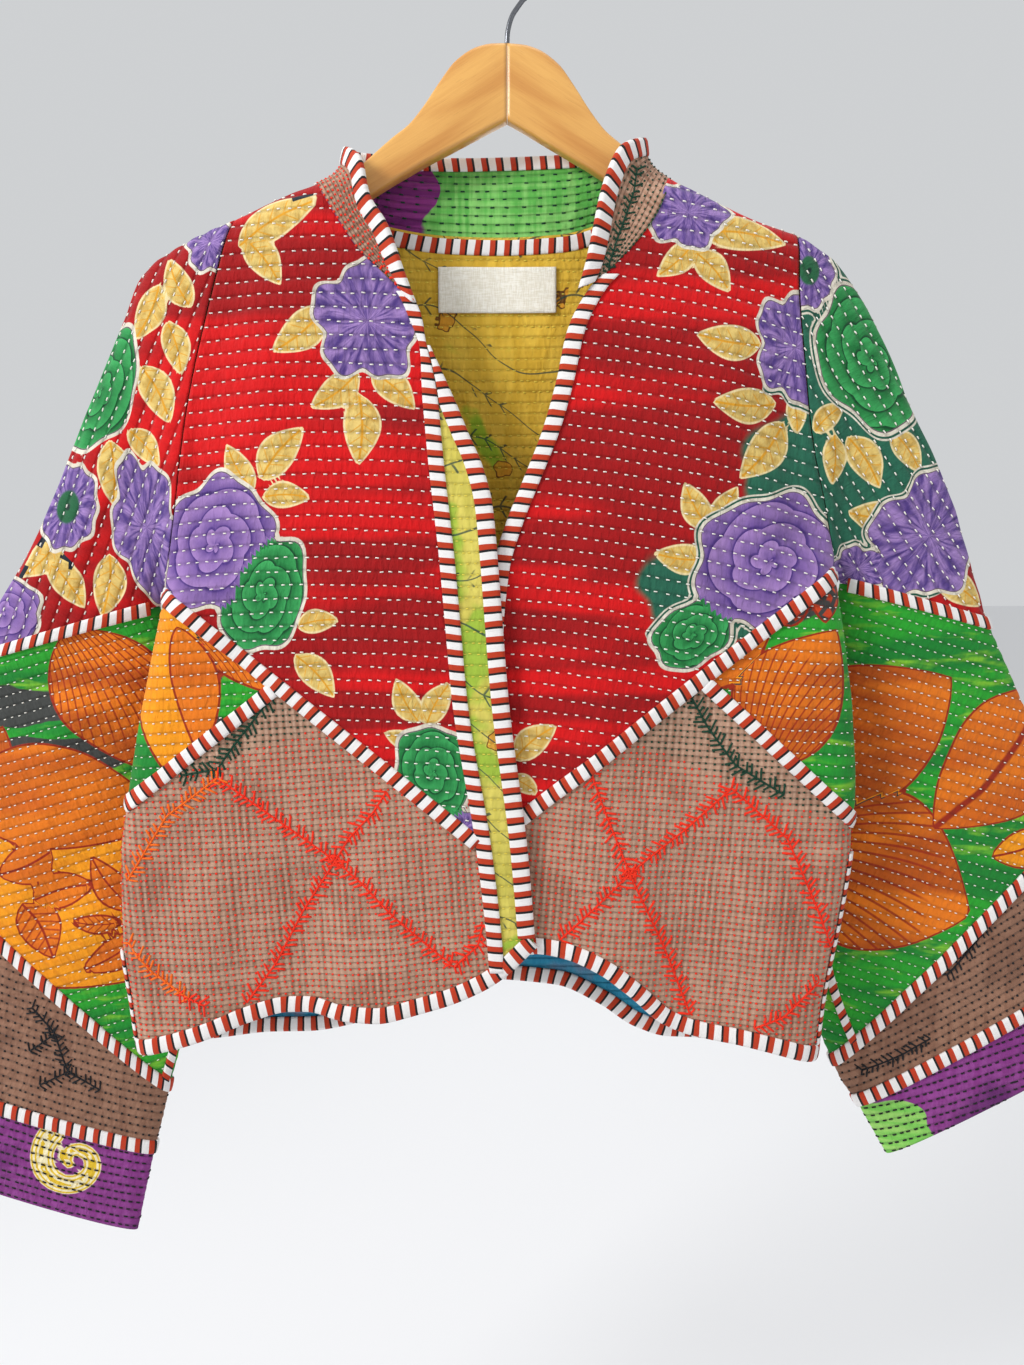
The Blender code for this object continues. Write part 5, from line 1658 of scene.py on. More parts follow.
class Finish:
    """A finish of the jacket: a material with its nodes."""
    groups: SharedGroups

    def __init__(self, name: str, roughness: float = 0.85, sheen: float = 0.0,
                 metallic: float = 0.0) -> None:
        """Starts a material.

        Args:
            name: the finish in a maker's words.
            roughness: of its surface.
            sheen: the soft light along the edge of cloth.
            metallic: 1 for bare metal.
        """
        self.material = bpy.data.materials.new(name)
        self.material.use_nodes = True
        self.graph = Graph(self.material.node_tree)
        self.shader = self.material.node_tree.nodes["Principled BSDF"]
        self.shader.inputs["Roughness"].default_value = roughness
        self.shader.inputs["Metallic"].default_value = metallic
        self.shader.inputs["Sheen Weight"].default_value = sheen
        self.shader.inputs["Sheen Roughness"].default_value = 0.5
        self.shader.inputs["Specular IOR Level"].default_value = 0.25

    def link(self, value: Socket, label: str) -> None:
        """Joins a value to the shader."""
        self.graph.tree.links.new(value, self.shader.inputs[label])

    def bump(self, height: Socket, distance: float) -> None:
        """Raises the surface by a height."""
        item = self.graph.node("ShaderNodeBump", {"Height": height, "Distance": distance,
                                                  "Strength": 1.0})
        self.link(item.outputs["Normal"], "Normal")

    def quilt(self, colour: Socket, pitch: float = ROW_PITCH,
              puckers: float = 1.0) -> bpy.types.Material:
        """Finishes a colour as quilted cotton, with painted shade in the troughs of its sewn rows.

        Args:
            colour: the printed colour.
            pitch: from one sewn row to the next, in millimetres.
            puckers: how strong they are, and with them the painted shade in their troughs.

        Returns:
            The material.
        """
        cloth = self.graph.node("ShaderNodeGroup", node_tree=self.groups.cloth)
        self.graph.tree.links.new(colour, cloth.inputs["Colour"])
        self.graph.tree.links.new(self.graph.weave_place(), cloth.inputs["Place"])
        cloth.inputs["Pitch"].default_value = pitch * MM
        cloth.inputs["Puckers"].default_value = puckers
        self.link(cloth.outputs["Colour"], "Base Color")
        self.link(cloth.outputs["Roughness"], "Roughness")
        self.bump(cloth.outputs["Height"], PUCKER_DEPTH)
        return self.material


@dataclass(frozen=True)
class FloweredCloth:
    """Red cotton printed with roses, leaves and a dark green ground in places."""
    bright: Colour = paint(208, 10, 14)
    deep: Colour = paint(156, 8, 12)
    green_ground: Colour = paint(26, 84, 66)
    leaf: Colour = paint(222, 192, 112)
    leaf_shade: Colour = paint(196, 158, 78)
    vein: Colour = paint(214, 150, 32)
    outline: Colour = paint(228, 222, 205)
    navy: Colour = paint(24, 34, 46)

    def build(self) -> bpy.types.Material:
        """Makes the material.

        Returns:
            The material.
        """
        finish = Finish("flowered red kantha cotton", sheen=0.1)
        g = finish.graph
        place = g.object_place()
        bands = g.noise(g.stretch(place, (3.5, 3.5, 30)), 1.0, 2.0, 0.2)
        streaks = g.noise(g.stretch(place, (420, 40, 16)), 1.0, 2.0)
        share = g.sum("ADD", g.step(bands, 0.60, 0.44), g.sum("MULTIPLY", streaks, 0.25))
        colour = g.blend(g.sum("SUBTRACT", share, 0.12), self.bright, self.deep)
        leaf_edge, bloom_edge, ground = g.attribute("print_edges")
        colour = g.blend(g.step(ground, -5.0, 5.0), colour, g.blend(
            streaks, self.green_ground, paint(44, 110, 84)))
        colour = self.leaves(g, colour, leaf_edge)
        colour = self.blooms(g, colour, bloom_edge, ground)
        return finish.quilt(colour)

    def leaves(self, g: Graph, colour: Socket, edge: Socket) -> Socket:
        """Lays the leaves and the navy bars over the ground.

        Args:
            g: the material's graph.
            colour: what lies below.
            edge: distance to the leaves' outlines.

        Returns:
            The colour with the leaves.
        """
        along, across, tone = g.attribute("leaf")
        off = g.sum("ABSOLUTE", across)
        inside = g.blend(g.step(g.noise(g.object_place(), 160.0, 3.0), 0.35, 0.7), self.leaf,
                         self.leaf_shade)
        ribs = g.sum("FRACT", g.sum("MULTIPLY_ADD", off, -1.1, g.sum("MULTIPLY", along, 6.0)))
        ribs = g.line(ribs, 0.5, 0.10, 0.02)
        ribs = g.sum("MULTIPLY", ribs, g.step(off, 0.80, 0.55))
        middle = g.step(off, 0.09, 0.03)
        inside = g.blend(g.sum("MAXIMUM", g.sum("MULTIPLY", ribs, 0.8), middle), inside, self.vein)
        inside = g.blend(g.step(edge, -1.6, -0.6), inside, paint(232, 212, 160))
        inside = g.blend(g.step(tone, 1.4, 1.6), inside, self.navy)
        return g.blend(g.step(edge, 0.35, -0.25), colour, inside)

    def blooms(self, g: Graph, colour: Socket, edge: Socket, ground: Socket) -> Socket:
        """Lays the flowers with their pale outlines over all else.

        Args:
            g: the material's graph.
            colour: what lies below.
            edge: distance to the flowers' outlines.
            ground: distance into the dark green ground.

        Returns:
            The colour with the flowers.
        """
        side, up, kind = g.attribute("bloom")
        petals = g.node("ShaderNodeGroup", {"Side": side, "Up": up, "Rings": 3.4},
                        node_tree=Finish.groups.petals)
        shade, line = petals.outputs["Shade"], petals.outputs["Line"]
        radius, angle = petals.outputs["Radius"], petals.outputs["Angle"]
        mottled = g.noise(g.object_place(), 90.0, 4.0)
        tone = g.sum("ADD", g.sum("MULTIPLY", shade, 0.75),
                     g.sum("MULTIPLY_ADD", mottled, 0.7, -0.28))
        purple = g.blend(tone, paint(92, 64, 136), paint(168, 132, 192))
        purple = g.blend(g.sum("MULTIPLY", line, 0.85), purple, paint(66, 42, 116))
        green = g.blend(tone, paint(14, 104, 48), paint(62, 168, 92))
        green = g.blend(g.sum("MULTIPLY", line, 0.9), green, paint(6, 62, 34))
        turned = g.sum("ABSOLUTE", g.sum("SUBTRACT", g.sum("ABSOLUTE", angle), 0.25))
        ray = g.node("ShaderNodeCombineXYZ", {0: g.sum("MULTIPLY", turned, 34.0),
                                              1: g.sum("MULTIPLY", radius, 2.2)}).outputs[0]
        rays = g.noise(ray, 1.0, 3.0, 0.8)
        streaked = g.blend(g.step(rays, 0.30, 0.72), paint(76, 54, 124), paint(160, 128, 188))
        heart = g.blend(g.step(radius, 0.46, 0.36), streaked, paint(36, 96, 62))
        heart = g.blend(g.step(radius, 0.12, 0.05), heart, paint(20, 44, 40))
        inside = g.blend(g.step(kind, 0.4, 0.6), purple, green)
        inside = g.blend(g.step(kind, 1.4, 1.6), inside, streaked)
        inside = g.blend(g.step(kind, 2.4, 2.6), inside, heart)
        rim = g.blend(g.step(mottled, 0.3, 0.7), self.outline, paint(206, 196, 178))
        rim = g.blend(g.line(edge, 0.3, 0.5, 0.2), rim,
                      paint(96, 74, 92))
        double = g.step(ground, -24.0, -16.0)
        dark_line = g.line(edge, 3.6, 0.9, 0.5)
        rim = g.blend(g.sum("MULTIPLY", double, dark_line), rim, self.green_ground)
        reach = g.sum("MULTIPLY_ADD", double, -2.4, edge)
        colour = g.blend(g.step(reach, 3.4, 2.8), colour, rim)
        return g.blend(g.step(edge, 0.25, -0.25), colour, inside)


@dataclass(frozen=True)
class PetalCloth:
    """Green cotton printed with large orange petals, amber ones and charcoal patches."""
    green: Colour = paint(40, 158, 44)
    lime: Colour = paint(124, 190, 50)
    charcoal: Colour = paint(62, 64, 62)
    orange: Colour = paint(226, 118, 22)
    dark_orange: Colour = paint(184, 84, 16)
    amber: Colour = paint(244, 164, 24)
    rust: Colour = paint(150, 40, 14)

    def build(self) -> bpy.types.Material:
        """Makes the material.

        Returns:
            The material.
        """
        finish = Finish("petal printed kantha cotton", sheen=0.1)
        g = finish.graph
        place = g.object_place()
        edge, _, ground = g.attribute("print_edges")
        along, across, tone = g.attribute("leaf")
        brushed = g.noise(g.stretch(place, (26, 26, 110), 0.35), 1.0, 3.0, 0.3)
        bands = g.noise(g.stretch(place, (8, 8, 42), 0.35), 1.0, 1.0)
        colour = g.blend(g.step(bands, 0.42, 0.60), self.green, paint(24, 128, 46))
        colour = g.blend(g.step(brushed, 0.54, 0.72), colour, self.lime)
        broken = g.sum("MULTIPLY_ADD", brushed, 26.0, g.sum("SUBTRACT", ground, 12.0))
        colour = g.blend(g.step(broken, 0.0, 3.0), colour, self.charcoal)
        inside = g.blend(g.step(bands, 0.38, 0.62), self.orange, self.dark_orange)
        inside = g.blend(g.between(tone, (0.5, 1.0), (1.5, 1.2)), inside,
                         self.dark_orange)
        inside = g.blend(g.between(tone, (1.4, 1.6), (2.6, 2.4)), inside,
                         g.blend(brushed, self.amber, paint(232, 132, 16)))
        scales = g.node("ShaderNodeTexVoronoi", {"Vector": place, "Scale": 105.0},
                        feature="DISTANCE_TO_EDGE").outputs[0]
        scaled = g.blend(g.step(scales, 0.12, 0.20), self.charcoal, paint(204, 66, 26))
        inside = g.blend(g.between(tone, (2.4, 2.6), (3.6, 3.4)), inside,
                         scaled)
        fan = g.sum("DIVIDE", across, g.sum("MULTIPLY_ADD", along, 0.75, 0.35))
        fan = g.sum("MULTIPLY", fan, 5.0)
        fan = g.sum("ABSOLUTE", g.sum("SUBTRACT", g.sum("FRACT", g.sum("ADD", fan, 20.0)), 0.5))
        ribs = g.step(g.sum("MULTIPLY_ADD", along, 0.10, fan), 0.20, 0.10)
        faded = g.step(g.sum("MULTIPLY_ADD", brushed, 0.3, along), 0.98, 0.85)
        ribs = g.sum("MULTIPLY", ribs, faded)
        strong = g.sum("MULTIPLY_ADD", g.step(tone, 3.5, 4.0), 0.72, 0.13)
        inside = g.blend(g.sum("MULTIPLY", ribs, strong), inside, self.rust)
        inside = g.blend(g.step(g.sum("ABSOLUTE", g.sum("ADD", edge, 0.6)), 1.1, 0.6), inside,
                         self.rust)
        colour = g.blend(g.step(edge, 0.4, -0.3), colour, inside)
        return finish.quilt(self.overlay(g, colour, bands, brushed), pitch=PETAL_PITCH)

    def overlay(self, g: Graph, colour: Socket, bands: Socket, brushed: Socket) -> Socket:
        """Lays the petals that lie on top, with their drawn outlines and middle lines.

        Args:
            g: the material's graph.
            colour: what lies below.
            bands: the broad uneven dye.
            brushed: the fine uneven dye.

        Returns:
            The colour with the petals.
        """
        along, across, tone = g.attribute("bloom")
        edge = g.attribute("print_edges")[1]
        fill = g.blend(g.step(bands, 0.36, 0.64), self.orange, paint(204, 96, 18))
        fill = g.blend(g.between(tone, (1.4, 1.6), (2.6, 2.4)), fill,
                       g.blend(brushed, self.amber, paint(232, 132, 16)))
        veins = g.sum("FRACT", g.sum("MULTIPLY_ADD", g.sum("ABSOLUTE", across), -1.4,
                                     g.sum("MULTIPLY", along, 7.0)))
        veins = g.line(veins, 0.5, 0.16, 0.06)
        middle = g.step(g.sum("ABSOLUTE", across), 0.08, 0.03)
        drawn = g.sum("MULTIPLY_ADD", g.step(tone, 3.5, 4.0), 0.7, 0.06)
        fill = g.blend(g.sum("MULTIPLY", veins, drawn), fill, self.rust)
        fill = g.blend(g.sum("MULTIPLY", middle, g.step(tone, 0.6, 0.9)), fill, self.rust)
        fill = g.blend(g.step(g.sum("ABSOLUTE", g.sum("ADD", edge, 0.5)), 1.0, 0.5), fill,
                       self.rust)
        return g.blend(g.step(edge, 0.4, -0.3), colour, fill)


@dataclass(frozen=True)
class PlainQuilt:
    """Cotton in two tones with blotches, and in places a patch of another colour."""
    name: str
    base: Colour
    other: Colour
    blotch: Colour
    patch: Colour | None = None
    patch_other: Colour | None = None
    warp: float = 0.5
    pitch: float = 4.5
    column: float = 0.0

    def build(self) -> bpy.types.Material:
        """Makes the material.

        Returns:
            The material.
        """
        finish = Finish(self.name, sheen=0.08)
        g = finish.graph
        place = g.object_place()
        upright = g.noise(g.stretch(place, (240, 60, 12)), 1.0, 2.0)
        level = g.noise(g.stretch(place, (14, 30, 260)), 1.0, 2.0)
        cloud = g.noise(place, 17.0, 3.0, 0.3)
        colour = g.blend(g.step(g.sum("MULTIPLY_ADD", upright, 0.6, g.sum("MULTIPLY", level, 0.4)),
                                0.40, 0.62), self.base, self.other)
        colour = g.blend(self.warp, g.blend(0.5, self.base, self.other), colour)
        colour = g.blend(g.sum("MULTIPLY", g.step(cloud, 0.50, 0.68), 0.75), colour, self.blotch)
        if self.column:
            run = g.sum("MULTIPLY", g.parts(g.weave_place())[0], 2 * math.pi / self.column)
            pale = g.sum("MULTIPLY_ADD", g.sum("COSINE", run), -0.5, 0.5)
            pale = g.sum("MULTIPLY", g.sum("POWER", pale, 1.6),
                         g.sum("MULTIPLY_ADD", upright, 1.1, -0.15))
            colour = g.blend(pale, colour, paint(214, 180, 156))
        if self.patch is not None:
            edge, _, ground = g.attribute("print_edges")
            tone = g.attribute("leaf")[2]
            broken = g.sum("MULTIPLY_ADD", cloud, 14.0, g.sum("SUBTRACT", ground, 7.0))
            colour = g.blend(g.step(broken, -0.6, 0.6), colour, g.blend(
                g.step(level, 0.4, 0.6), self.patch, self.patch_other or self.patch))
            lines = g.sum("FRACT", g.sum("MULTIPLY_ADD", edge, 0.36, 20.2))
            curl = g.blend(g.step(lines, 0.50, 0.60), paint(240, 228, 186), paint(222, 184, 44))
            shown = g.sum("MULTIPLY", g.step(edge, 0.4, -0.4), g.step(tone, 4.4, 4.6))
            colour = g.blend(shown, colour, curl)
        return finish.quilt(colour, self.pitch)


@dataclass(frozen=True)
class VineCloth:
    """Mustard cotton with green blotches, small ochre flowers and thin dark vines."""
    name: str
    base: Colour
    other: Colour
    blotch: Colour
    vine: Colour
    scale: float = 1.0

    def build(self) -> bpy.types.Material:
        """Makes the material.

        Returns:
            The material.
        """
        finish = Finish(self.name, sheen=0.08)
        g = finish.graph
        place = g.object_place()
        cloud = g.noise(place, 13.0 * self.scale, 3.0, 0.4)
        fine = g.noise(g.stretch(place, (120, 120, 30)), 1.0, 2.0)
        colour = g.blend(g.step(fine, 0.35, 0.65), self.base, self.other)
        colour = g.blend(g.step(cloud, 0.56, 0.62), colour, self.blotch)
        cells = g.node("ShaderNodeTexVoronoi", {"Vector": place, "Scale": 26.0})
        near, shade = cells.outputs["Distance"], cells.outputs["Color"]
        near = g.sum("MULTIPLY_ADD", g.noise(place, 120.0, 1.0), 0.34, near)
        chosen = g.step(g.parts(shade)[0], 0.60, 0.62)
        petals = g.sum("MULTIPLY", g.step(near, 0.46, 0.44), chosen)
        ring = g.sum("MULTIPLY", g.step(g.sum("ABSOLUTE", g.sum("SUBTRACT", near, 0.45)), 0.018,
                                        0.008), chosen)
        colour = g.blend(g.sum("MULTIPLY", petals, 0.75), colour, paint(214, 140, 36))
        colour = g.blend(ring, colour, paint(110, 70, 24))
        x, _, z = g.parts(place)
        wander = g.noise(place, 11.0, 2.0)
        wave = g.sum("MULTIPLY_ADD", x, 52.0 * self.scale, g.sum("MULTIPLY", z, 21.0))
        wave = g.sum("SINE", wave)
        height = g.sum("MULTIPLY_ADD", wave, 0.013, g.sum("MULTIPLY_ADD", x, 0.32, z))
        height = g.sum("MULTIPLY_ADD", wander, 0.05, height)
        rows = g.sum("FRACT", g.sum("MULTIPLY_ADD", height, 25.0 * self.scale, 40.3))
        off = g.sum("DIVIDE", g.sum("SUBTRACT", rows, 0.5), 25.0 * self.scale)
        reach = g.sum("ABSOLUTE", off)
        lines = g.step(reach, 0.0008, 0.0004)
        shoots = g.sum("FRACT", g.sum("MULTIPLY_ADD", reach, -62.0, g.sum("MULTIPLY", x, 95.0)))
        shoots = g.line(shoots, 0.5, 0.10, 0.05)
        shoots = g.sum("MULTIPLY", shoots, g.step(reach, 0.0075, 0.0065))
        shoots = g.sum("MULTIPLY", shoots, g.step(g.noise(place, 34.0, 1.0), 0.47, 0.52))
        drawn = g.sum("MULTIPLY", g.sum("MAXIMUM", lines, shoots), 0.85)
        colour = g.blend(drawn, colour, self.vine)
        return finish.quilt(colour, 7.5, 0.7)


@dataclass(frozen=True)
class StripedBinding:
    """Cotton strip with slanted white, rust and thin black stripes."""
    white: Colour = paint(238, 235, 233)
    rust: Colour = paint(196, 62, 28)
    black: Colour = paint(22, 24, 26)
    pitch: float = 0.0102
    slant: float = -0.1

    def build(self) -> bpy.types.Material:
        """Makes the material.

        Returns:
            The material.
        """
        finish = Finish("striped binding cotton", 0.78, sheen=0.08)
        g = finish.graph
        place = g.weave_place()
        along, across, _ = g.parts(place)
        wander = g.noise(place, 60.0, 1.0)
        turned = g.sum("MULTIPLY_ADD", across, self.slant, along)
        turned = g.sum("MULTIPLY_ADD", wander, 0.0012, turned)
        part = g.sum("FRACT", g.sum("ADD", g.sum("DIVIDE", turned, self.pitch), 50.0))
        mottled = g.noise(g.stretch(place, (900, 500, 1)), 1.0, 3.0)
        rust = g.blend(mottled, self.rust, paint(172, 48, 20))
        white = g.blend(g.sum("MULTIPLY", mottled, 0.5), self.white, paint(214, 210, 208))
        colour = g.blend(g.step(part, 0.435, 0.455), white, rust)
        colour = g.blend(g.step(part, 0.80, 0.815), colour, self.black)
        colour = g.blend(g.step(part, 0.955, 0.97), colour, white)
        finish.link(colour, "Base Color")
        folds = g.noise(g.stretch(place, (320, 60, 1)), 1.0, 2.0, 0.3)
        threads = g.noise(g.stretch(place, (2600, 2600, 1)), 1.0, 1.0)
        finish.bump(g.sum("MULTIPLY_ADD", threads, 0.3, folds), 0.0006)
        return finish.material


@dataclass(frozen=True)
class LabelCotton:
    """Unbleached cotton tape, bare, with its weave."""
    base: Colour = paint(248, 245, 234)

    def build(self) -> bpy.types.Material:
        """Makes the material.

        Returns:
            The material.
        """
        finish = Finish("bare label cotton", 0.85, sheen=0.05)
        g = finish.graph
        place = g.object_place()
        weft = g.noise(g.stretch(place, (180, 30, 1600)), 1.0, 2.0)
        warp = g.noise(g.stretch(place, (1600, 30, 180)), 1.0, 2.0)
        both = g.sum("ADD", weft, warp)
        colour = g.blend(g.step(both, 0.7, 1.25), self.base, paint(228, 222, 204))
        finish.link(colour, "Base Color")
        finish.bump(both, 0.0003)
        return finish.material


@dataclass(frozen=True)
class VarnishedWood:
    """Honey-coloured wood under satin varnish, its grain running down the arm."""
    light: Colour = paint(236, 182, 98)
    dark: Colour = paint(194, 126, 54)

    def build(self) -> bpy.types.Material:
        """Makes the material.

        Returns:
            The material.
        """
        finish = Finish("honey wood under satin varnish", 0.36)
        g = finish.graph
        grain_place = g.weave_place()
        bent = g.noise(g.stretch(grain_place, (7, 40, 1)), 1.0, 3.0, 0.4)
        fine = g.noise(g.stretch(grain_place, (30, 900, 1)), 1.0, 3.0)
        share = g.sum("MULTIPLY_ADD", g.step(bent, 0.35, 0.7), 0.6, g.sum("MULTIPLY", fine, 0.4))
        colour = g.blend(share, self.light, self.dark)
        pores = g.noise(g.stretch(grain_place, (70, 2400, 1)), 1.0, 1.0)
        colour = g.blend(g.sum("MULTIPLY", g.step(pores, 0.66, 0.76), 0.35), colour,
                         paint(150, 92, 36))
        finish.link(colour, "Base Color")
        finish.link(g.sum("MULTIPLY_ADD", fine, 0.14, 0.28), "Roughness")
        finish.bump(g.sum("ADD", fine, pores), 0.00008)
        finish.shader.inputs["Specular IOR Level"].default_value = 0.5
        finish.shader.inputs["Coat Weight"].default_value = 0.35
        finish.shader.inputs["Coat Roughness"].default_value = 0.22
        return finish.material


@dataclass(frozen=True)
class HookSteel:
    """Plated steel wire with faint drawing marks."""
    base: Colour = paint(132, 134, 138)

    def build(self) -> bpy.types.Material:
        """Makes the material.

        Returns:
            The material.
        """
        finish = Finish("plated hook steel", 0.26, metallic=1.0)
        g = finish.graph
        marks = g.noise(g.stretch(g.object_place(), (90, 90, 700)), 1.0, 2.0)
        finish.link(g.blend(marks, self.base, paint(100, 102, 108)), "Base Color")
        finish.link(g.sum("MULTIPLY_ADD", marks, 0.2, 0.2), "Roughness")
        finish.bump(marks, 0.00004)
        return finish.material


@dataclass(frozen=True)
class SewingThread:
    """Twisted cotton thread in one dye."""
    name: str
    dye: Colour

    def build(self) -> bpy.types.Material:
        """Makes the material.

        Returns:
            The material.
        """
        finish = Finish(self.name, 0.7, sheen=0.1)
        g = finish.graph
        place = g.object_place()
        uneven = g.noise(place, 140.0, 2.0)
        darker = tuple(part * 0.8 for part in self.dye)
        finish.link(g.blend(uneven, self.dye, darker), "Base Color")
        finish.bump(g.noise(place, 2600.0, 1.0), 0.0002)
        return finish.material


class Finishes:
    """All finishes of the jacket, made once."""

    def __init__(self) -> None:
        """Makes the materials."""
        Finish.groups = SharedGroups()
        brown = dict(base=paint(184, 144, 120), other=paint(140, 100, 78),
                     blotch=paint(136, 92, 70))
        self.flowered = FloweredCloth().build()
        self.petal = PetalCloth().build()
        self.brown = PlainQuilt("brown kantha cotton", warp=0.8, pitch=BROWN_PITCH, column=0.0048,
                                **brown).build()
        self.dark_brown = PlainQuilt("dark brown kantha cotton", base=paint(158, 118, 96),
                                     other=paint(122, 84, 66), blotch=paint(108, 74, 58),
                                     pitch=DARK_BROWN_PITCH).build()
        self.purple = PlainQuilt("purple kantha cotton", paint(122, 40, 118), paint(152, 74, 150),
                                 paint(86, 26, 92), patch=paint(150, 206, 104),
                                 patch_other=paint(120, 196, 84), pitch=PURPLE_PITCH).build()
        self.collar_inside = PlainQuilt("purple and green collar cotton", paint(56, 160, 52),
                                        paint(150, 214, 120), paint(28, 128, 44),
                                        patch=paint(112, 36, 108),
                                        patch_other=paint(138, 52, 128), pitch=COLLAR_PITCH).build()
        self.lining = VineCloth("mustard lining cotton", paint(226, 186, 66), paint(210, 168, 50),
                                paint(146, 176, 42), paint(38, 66, 58)).build()
        self.band = VineCloth("olive yellow band cotton", paint(216, 202, 96), paint(196, 184, 80),
                              paint(158, 186, 62), paint(38, 70, 66), 1.2).build()
        self.hem_lining = PlainQuilt("blue lining cotton", paint(40, 136, 176), paint(60, 158, 190),
                                     paint(196, 108, 92), pitch=6.2).build()
        self.binding = StripedBinding().build()
        self.label = LabelCotton().build()
        self.wood = VarnishedWood().build()
        self.steel = HookSteel().build()
        dyes = {"cream": (252, 248, 238), "red": (250, 48, 14), "bottle green": (14, 62, 42),
                "orange": (250, 112, 18), "black": (20, 20, 24), "yellow": (240, 220, 84)}
        self.threads = {name: SewingThread(f"{name} sewing thread", paint(*dye)).build()
                        for name, dye in dyes.items()}


RUNNING = Stitch(2.7, 0.95, 0.75, 0.95)
DOT = Stitch(1.7, 1.6, 0.95, 0.95)
DASH = Stitch(3.3, 1.25, 0.85, 0.95)
FEATHER = Stitch(7.5, 1.7, 1.3, 1.2)


@dataclass
class Sewing:
    """All threads of the jacket, gathered while its cloth is made."""
    finishes: Finishes
    threads: dict[str, Thread] = field(default_factory=dict)

    def thread(self, piece: str, dye: str, slot: str) -> Thread:
        """The thread of one dye on one stretch of the jacket, started when first asked for.

        Args:
            piece: the stretch of the jacket.
            dye: the thread's colour.
            slot: the record's material slot.

        Returns:
            The thread.
        """
        label = f"stitches_{piece}"
        if label not in self.threads:
            self.threads[label] = Thread(label, self.finishes.threads[dye], slot)
        return self.threads[label]

    def build(self) -> None:
        """Makes every thread's joined piece."""
        for thread in self.threads.values():
            thread.build()


